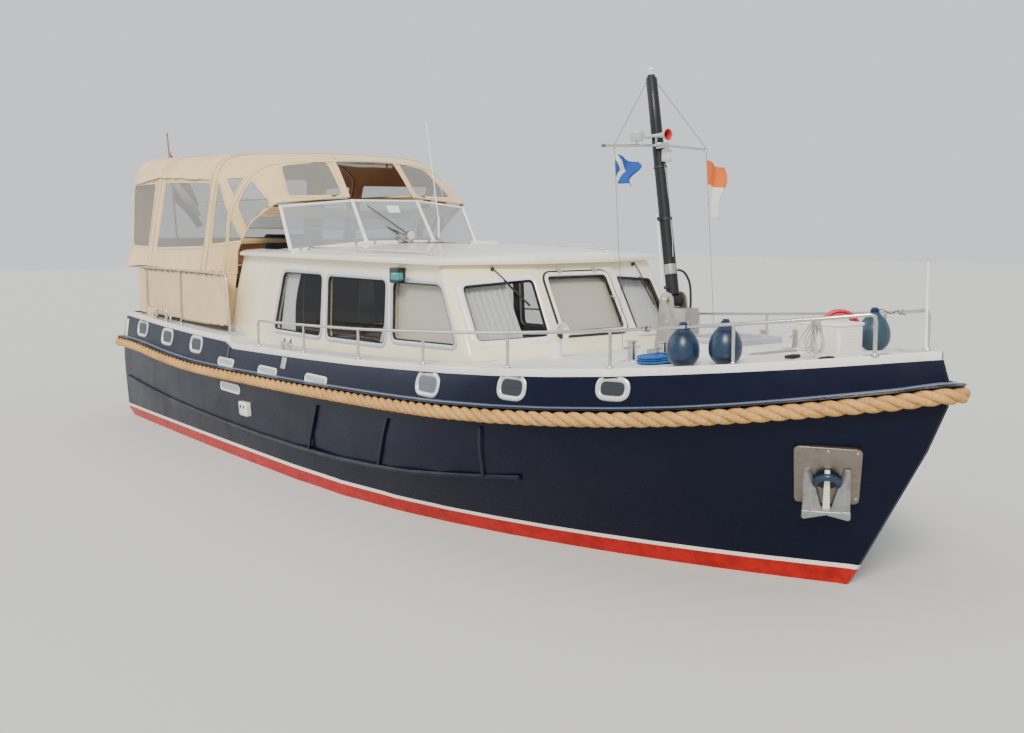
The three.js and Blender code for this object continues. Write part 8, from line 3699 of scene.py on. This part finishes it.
    def _bollards(self, side: Side) -> None:
        """Builds a pair of foredeck bollards with their cross pins on one plate.

        Args:
            side: The side of the boat.
        """
        y = side.value * self.bollard_y
        x0, x1 = self.bollard_x
        base = [self.deck.top(x, y) for x in (x0, x1)]
        outline = round_corners(
            [(x0 - 0.08, y - 0.075), (x1 + 0.08, y - 0.075), (x1 + 0.08, y + 0.075), (x0 - 0.08, y + 0.075)], 0.03, 4,
        )
        slope = (base[1].z - base[0].z) / (x1 - x0)
        corners = [(p[0], p[1], base[0].z + slope * (p[0] - x0) - 0.002) for p in outline]
        parts = [plate("pad", corners, (0, 0, 0.01), 0.003)]
        for spot in base:
            profile = [
                (0, 0.006), (0.052, 0.006), (0.05, 0.011), (0.041, 0.016), (0.0375, 0.03), (0.0365, 0.145),
                (0.043, 0.15), (0.0435, 0.158), (0.036, 0.164), (0.01, 0.166), (0, 0.166),
            ]
            parts.append(turned("post", profile, spot, (0, 0, 1), 32))
            z = spot.z + 0.11
            parts.append(pipe(
                "pin", [(spot.x, y - 0.085, z), (spot.x, y - 0.08, z), (spot.x, y + 0.08, z), (spot.x, y + 0.085, z)],
                [0.006, 0.009, 0.009, 0.006], 12,
            ))
        seat(
            join(f"foredeck_bollards_{side.word}", parts), Paint.STAINLESS,
            replaces=(f"bollards_{side.word}",),
        )

    def _locker(self) -> None:
        """Builds the deck box: a white box with a lid, a beige panel on its starboard face and air holes in its forward
        face.
        """
        (x0, y0, _), (x1, y1, height) = self.locker_low, self.locker_high
        floor = max(self.deck.top(x, y).z for x in (x0, x1) for y in (y0, 0.0, y1))
        low = min(self.deck.top(x, y).z for x in (x0, x1) for y in (y0, y1)) - 0.003
        shell = slab("deck_box", (x0, y0, low), (x1, y1, floor + height - 0.02), 0.012, 3)
        seat(shell, Paint.CAP, replaces=("foredeck_locker",))
        lid = slab(
            "deck_box_lid", (x0 - 0.008, y0 - 0.008, floor + height - 0.022), (x1 + 0.008, y1 + 0.008, floor + height),
            0.006, 3,
        )
        seat(lid, Paint.WHITE_PLASTIC)
        panel = slab(
            "deck_box_panel", (x0 + 0.012, y0 - 0.006, low + 0.03), (x1 - 0.03, y0 + 0.001, floor + height - 0.03),
            0.003, 2,
        )
        seat(panel, Paint.BLIND)
        # Each air hole is a grey disc laid on the face: painted shade of the hole.
        holes = []
        for row in range(7):
            for column in range(8):
                spot = (
                    x1 - 0.0005, between(y0 + 0.03, y1 - 0.03, column / 7),
                    between(floor + 0.03, floor + height - 0.045, row / 6),
                )
                holes.append(turned("hole", [(0, 0), (0.005, 0), (0.0045, 0.0012), (0, 0.0013)], spot, (1, 0, 0), 8))
        seat(join("deck_box_air_hole_shades", holes), Paint.PAINTED_HOLE_SHADE)

    def _cowl(self) -> None:
        """Builds the white vent cowl with its turned mouth."""
        x, y = self.cowl_spot
        z = self.deck.top(x, y).z - 0.002
        bend = [
            (0, 0.0, 0.062), (0, 0.01, 0.062), (0, 0.014, 0.05), (0, 0.13, 0.047), (0.004, 0.17, 0.05),
            (0.018, 0.2, 0.056), (0.042, 0.222, 0.064), (0.07, 0.233, 0.071), (0.083, 0.236, 0.0755),
            (0.0865, 0.2365, 0.0755),
        ]
        outer = [Vector((x + dx, y, z + dz)) for dx, dz, _ in bend]
        inner = [Vector((x + dx, y, z + dz)) for dx, dz, _ in reversed(bend[5:])]
        radii = [r for _, _, r in bend] + [r - 0.005 for _, _, r in reversed(bend[5:])]
        cowl = self._lip("vent_cowl_shell", outer + inner, radii)
        seat(cowl, Paint.WHITE_PLASTIC, replaces=("vent_cowl",))
        # Painted shade: a black disc closes the cowl's throat and stands for the dark inside of the vent.
        throat = turned(
            "vent_cowl_throat_shade", [(0, 0), (0.051, 0), (0.051, 0.004), (0, 0.004)], Vector((x + 0.02, y, z + 0.203)),
            (0.8, 0, 0.35), 24,
        )
        seat(throat, Paint.GASKET)

    @staticmethod
    def _lip(name: str, line: Sequence[Vector], radii: Sequence[float]) -> Piece:
        """Lofts rings that turn back inside themselves at the mouth.

        Args:
            name: The piece's name.
            line: The rings' centres.
            radii: The rings' radii.

        Returns:
            The shell.
        """
        turns = len(line) - 5
        facing = []
        for k, _ in enumerate(line):
            i = k if k < turns else len(line) - 1 - (k - turns)
            i = min(i, turns - 1)
            a, b = line[max(0, i - 1)], line[min(turns - 1, i + 1)]
            facing.append((b - a).normalized())

        def place(u: float, v: float) -> Vector:
            i = round(v * (len(line) - 1))
            up = Vector((0, 1, 0))
            across = facing[i].cross(up).normalized()
            t = 2 * math.pi * u
            return line[i] + (up * math.cos(t) + across * math.sin(t)) * radii[i]

        piece = grid(name, len(line), 33, place)
        edit(piece, weld, close_ends, face_outwards)
        shade(piece, 50)
        return piece

    def _snubbers(self) -> None:
        """Lays the black rubber snubbers beside the deck box."""
        parts = []
        for n in range(2):
            x = 4.22 + n * 0.3
            z = self.deck.top(x, -0.45).z
            parts.append(pipe(
                "snubber", [(x, -0.52, z + 0.018), (x + 0.02, -0.45, z + 0.019), (x + 0.01, -0.38, z + 0.018)],
                [0.012, 0.018, 0.012], 12,
            ))
        seat(join("mooring_snubbers", parts), Paint.GASKET)


@dataclass
class Anchor:
    """The bow anchor on its plate under the starboard hawse."""

    skin: Solid
    spot_x: float = 4.508
    spot_z: float = 0.905
    face: float = 0.03

    def build(self) -> None:
        """Builds the plate and the anchor."""
        at = self._frame()
        outline = round_corners([(-0.225, -0.25), (0.225, -0.25), (0.235, 0.23), (-0.235, 0.245)], 0.04, 5)
        self._plate(at, outline)
        self._hawse(at)
        shank = self._wedge(
            "anchor_shank", at, [(-0.018, 0.06), (0.018, 0.06), (0.026, -0.29), (-0.026, -0.29)], 0.04, 0.075, 0.005,
        )
        seat(shank, Paint.CAP)
        parts = [self._crown(at), *[self._fluke(at, s) for s in (-1, 1)]]
        seat(join("stowed_anchor", parts), Paint.ZINC, replaces=("bow_anchor",))
        self._bolts(at)

    def _frame(self) -> Callable[[float, float, float], Vector]:
        """Returns a function that places points along the skin, up it and out from it.

        Returns:
            The function.
        """
        def spot(dx: float, dz: float) -> Vector:
            return self.skin.side(self.spot_x + dx, self.spot_z + dz, Side.STARBOARD)[0]

        origin = spot(0, 0)
        u = (spot(0.1, 0) - spot(-0.1, 0)).normalized()
        v = (spot(0, 0.1) - spot(0, -0.1)).normalized()
        n = u.cross(v).normalized()
        n = -n if n.y > 0 else n
        v = n.cross(u).normalized()
        v = -v if v.z < 0 else v
        return lambda a, b, w: origin + u * a + v * b + n * w

    def _plate(self, at: Callable[[float, float, float], Vector], outline: Sequence[Point]) -> None:
        """Forms the stainless plate, its back on the hull and its face flat.

        Args:
            at: Places a point along the skin, up it and out from it.
            outline: The plate's outline.
        """
        depth = at(0, 0, 1) - at(0, 0, 0)
        corners = [at(p[0], p[1], self.face) for p in outline]
        back = []
        for corner in corners:
            hit = self.skin.hit(corner + depth * 0.4, -depth)
            back.append(hit[0] + depth * 0.0008 if hit else corner - depth * 0.03)
        count = len(corners)
        middle_front = at(0, 0, self.face)
        middle_back = at(0, 0, 0.012)
        rows = [middle_back, back, corners, middle_front]

        def place(u: float, v: float) -> Vector:
            i = round(u * count) % count
            row = rows[round(v * 3)]
            return row if isinstance(row, Vector) else row[i]

        piece = grid("bow_anchor_plate", 4, count + 1, place)
        edit(piece, weld, face_outwards)
        bevel(piece, 0.004, 3, 40)
        shade(piece, 35)
        seat(piece, Paint.PLATE, replaces=("anchor_plate",))

    def _wedge(
        self, name: str, at: Callable[[float, float, float], Vector], outline: Sequence[Point], low: float, high: float,
        edge: float,
    ) -> Piece:
        """Cuts a thick bar with rounded edges out of an outline on the plate."""
        base = [at(p[0], p[1], low) for p in outline]
        return plate(name, base, at(0, 0, high) - at(0, 0, low), edge, 3)

    def _crown(self, at: Callable[[float, float, float], Vector]) -> Piece:
        """Casts the crown: a shallow bar that drops toward its middle.

        Args:
            at: Places a point along the skin, up it and out from it.

        Returns:
            The crown.
        """
        outline = [
            (-0.168, -0.262), (0, -0.268), (0.168, -0.262), (0.172, -0.325), (0.156, -0.342), (0, -0.298),
            (-0.156, -0.342), (-0.172, -0.325),
        ]
        return self._wedge("anchor_crown", at, outline, 0.031, 0.112, 0.008)

    def _hawse(self, at: Callable[[float, float, float], Vector]) -> None:
        """Builds the hawse pipe's mouth, a black disc of painted shade, and the blue bumper ring round the shank.

        Args:
            at: Places a point along the skin, up it and out from it.
        """
        normal = at(0, 0, 1) - at(0, 0, 0)
        # Painted shade: the black disc stands for the dark opening of the hawse pipe.
        mouth = turned(
            "hawse_mouth_shade", [(0, 0), (0.088, 0), (0.088, 0.0035), (0.08, 0.0045), (0, 0.004)],
            at(0, -0.03, self.face - 0.001), normal, 36,
        )
        seat(mouth, Paint.GASKET)
        arch = [
            at(0.082 * math.cos(t), -0.075 + 0.1 * math.sin(t), 0.036 + 0.048 * math.sin(t))
            for t in (math.pi * k / 24 for k in range(25))
        ]
        seat(pipe("hawse_bumper_ring", arch, 0.027, 16), Paint.FENDER)

    def _fluke(self, at: Callable[[float, float, float], Vector], s: int) -> Piece:
        """Forges one fluke: a tall tapering blade with a fold along it.

        Args:
            at: Places a point along the skin, up it and out from it.
            s: -1 or 1, for the two flukes.

        Returns:
            The fluke.
        """
        rows = (
            (-0.285, 0.032, 0.166, 0.105), (-0.18, 0.056, 0.165, 0.095), (-0.06, 0.084, 0.164, 0.08),
            (0.03, 0.106, 0.163, 0.068), (0.068, 0.116, 0.161, 0.062),
        )
        loops = []
        for b, inner, outer, out in rows:
            fold = between(inner, outer, 0.55)
            loops.append([
                at(s * inner, b, 0.034), at(s * inner, b, out - 0.028), at(s * fold, b, out + 0.008),
                at(s * outer, b, out - 0.02), at(s * outer, b, 0.036),
            ])

        def place(u: float, v: float) -> Vector:
            return loops[round(v * (len(loops) - 1))][round(u * 5) % 5]

        piece = grid(f"anchor_fluke_{s}", len(loops), 6, place)
        edit(piece, weld, close_ends, face_outwards)
        bevel(piece, 0.003, 2, 30)
        shade(piece, 35)
        return piece

    def _bolts(self, at: Callable[[float, float, float], Vector]) -> None:
        """Sets the plate's round bolt heads.

        Args:
            at: Places a point along the skin, up it and out from it.
        """
        normal = at(0, 0, 1) - at(0, 0, 0)
        heads = []
        for a in (0.0, 0.2):
            for b in (0.21,) if a == 0.0 else (-0.2, 0.2):
                heads.append(turned(
                    "bolt", [(0, -0.002), (0.012, -0.002), (0.012, 0.003), (0.008, 0.007), (0, 0.008)],
                    at(a, b, self.face), normal, 16,
                ))
        seat(join("anchor_plate_bolts", heads), Paint.SATIN)


# Flags and their staffs


@dataclass
class Flags:
    """The burgee, the port courtesy flag and the drooping ensign on its staff."""

    staff_foot: Point = (-6.58, -0.76, 1.18)
    staff_head: Point = (-7.04, -0.76, 3.97)

    def build(self) -> None:
        """Raises the flags."""
        self._staff()
        self._ensign()
        self._bunting(
            "club_burgee", ((2.4, -0.556, 3.28), (2.73, -0.73, 1.65)), 3.225, 2.985, 0.25,
            (Paint.FLAG_BLUE, Paint.FLAG_WHITE), self._burgee_cut,
        )
        self._bunting(
            "courtesy_flag", ((2.4, 0.505, 3.28), (2.58, 0.47, 1.66)), 3.205, 2.713, 0.2,
            (Paint.FLAG_ORANGE, Paint.FLAG_WHITE), self._half_cut,
        )

    @staticmethod
    def _burgee_cut(u: float, v: float) -> int:
        """Paints a white chevron on the blue field."""
        return 1 if 0.3 < u + 0.9 * abs(v - 0.5) < 0.56 else 0

    @staticmethod
    def _half_cut(u: float, v: float) -> int:
        """Paints an upper and a lower half."""
        return 0 if v < 0.42 else 1

    def _bunting(
        self, name: str, hoist: tuple[Point, Point], top: float, foot: float, fly: float, paints: Sequence[Finish],
        cut: Callable[[float, float], int],
    ) -> None:
        """Hangs a small flag on a halyard so that it flies a little and folds.

        Args:
            name: The flag's name.
            hoist: Head and tail of its halyard.
            top: Height of its upper corner.
            foot: Height of its lower corner.
            fly: Its length.
            paints: Its two dyes.
            cut: Picks a dye from two shares.
        """
        head, tail = Vector(hoist[0]), Vector(hoist[1])
        columns, rows = 26, 22

        def place(u: float, v: float) -> Vector:
            z = between(top, foot, v)
            line = head.lerp(tail, (head.z - z) / (head.z - tail.z))
            fold = math.sin(6.5 * u + 3.4 * v + 0.6)
            reach = fly * u * (0.78 + 0.22 * math.sin(5.5 * v + 0.5))
            droop = 0.07 * u**1.3 * (1 - 0.8 * v)
            return line + Vector((0.004 + 0.034 * fold * u + 0.02 * u, 0.003 + reach, -droop + 0.012 * fold * u))

        flag = grid(name, rows, columns, place)
        modify(flag, "SOLIDIFY", thickness=0.0012, offset=0)
        shade(flag, 60)
        seat(flag, paints[0], Body.MAST)
        flag.data.materials.append(paints[1].material())
        self._dye(flag, cut)

    @staticmethod
    def _dye(flag: Piece, pick: Callable[[float, float], int]) -> None:
        """Picks each face's dye by its place on the cloth.

        Args:
            flag: The flag.
            pick: Picks a material's number from two shares.
        """
        layer = flag.data.uv_layers.active.data
        for face in flag.data.polygons:
            u = sum(layer[k].uv.x for k in face.loop_indices) / len(face.loop_indices)
            v = sum(layer[k].uv.y for k in face.loop_indices) / len(face.loop_indices)
            face.material_index = pick(u, v)

    def _staff(self) -> None:
        """Sets the ensign staff in its socket with its cap."""
        foot, head = Vector(self.staff_foot), Vector(self.staff_head)
        staff = pipe("ensign_staff", [foot.lerp(head, t) for t in (0, 0.3, 0.6, 1)], [0.016, 0.015, 0.013, 0.011], 16)
        seat(staff, Paint.STAFF, replaces=("stern_flagstaff",))
        up = (head - foot).normalized()
        sleeve = turned(
            "ensign_staff_socket",
            [(0.0155, 0), (0.024, 0), (0.024, 0.15), (0.021, 0.155), (0.0155, 0.155), (0.0155, 0)], foot + up * 0.002,
            up, 24,
        )
        bracket = slab("socket_bracket", (-6.66, -0.792, 1.2), (-6.5, -0.728, 1.225), 0.004)
        upper = slab("socket_bracket_upper", (-6.67, -0.792, 1.29), (-6.5, -0.728, 1.31), 0.004)
        seat(join("ensign_staff_socket", [sleeve, bracket, upper]), Paint.STAINLESS)
        knob = turned(
            "ensign_staff_knob", [(0, -0.004), (0.013, -0.002), (0.016, 0.006), (0.012, 0.016), (0, 0.018)],
            head - up * 0.016, up, 20,
        )
        seat(knob, Paint.WHITE_PLASTIC)

    def _ensign(self) -> None:
        """Hangs the plain tricolour ensign drooping from the staff."""
        foot, head = Vector(self.staff_foot), Vector(self.staff_head)

        def place(u: float, v: float) -> Vector:
            hoist = foot.lerp(head, between(0.9, 0.64, v))
            phase = 2 * math.pi * (2.3 * v + 0.25 * u)
            deep = 0.08 * min(1.0, u * 1.6)
            rise = 0.4 * u**0.8 * (v - 0.5)
            return hoist + Vector((
                0.08 * u + deep * math.sin(phase),
                0.018 + 0.44 * u * (1 - 0.25 * u) + 0.45 * deep * math.sin(phase + 1.2),
                rise - 0.58 * u**0.85,
            ))

        flag = grid("ensign", 46, 30, place)
        modify(flag, "SOLIDIFY", thickness=0.0014, offset=0)
        shade(flag, 60)
        seat(flag, Paint.FLAG_RED)
        for finish in (Paint.FLAG_WHITE, Paint.FLAG_DARK_BLUE):
            flag.data.materials.append(finish.material())
        self._dye(flag, lambda u, v: min(2, int(v * 3)))
        reach = length_of([place(k / 40, 0.5) for k in range(41)])


def main() -> None:
    """Builds the scene."""
    logging.basicConfig(level=logging.INFO, format="%(name)s %(message)s")
    PhotoCamera().build()
    Lines(Solid("foredeck")).build()
    Studio().build()
    Hull(Solid("hull")).build()
    canopy = Canopy()
    canopy.build()
    Cabin().build()
    Roof(Solid("cabin_roof")).build()
    decks = Solid("foredeck", "deck_starboard", "deck_port")
    Deck(decks).build()
    rails = Rails(decks)
    rails.build()
    WeatherCloth(rails, canopy).build()
    Cockpit(decks).build()
    Saloon().build()
    Mast().build()
    Foredeck(decks).build()
    Anchor(Solid("hull")).build()
    Flags().build()


if __name__ == "__main__":
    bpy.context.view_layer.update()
    main()
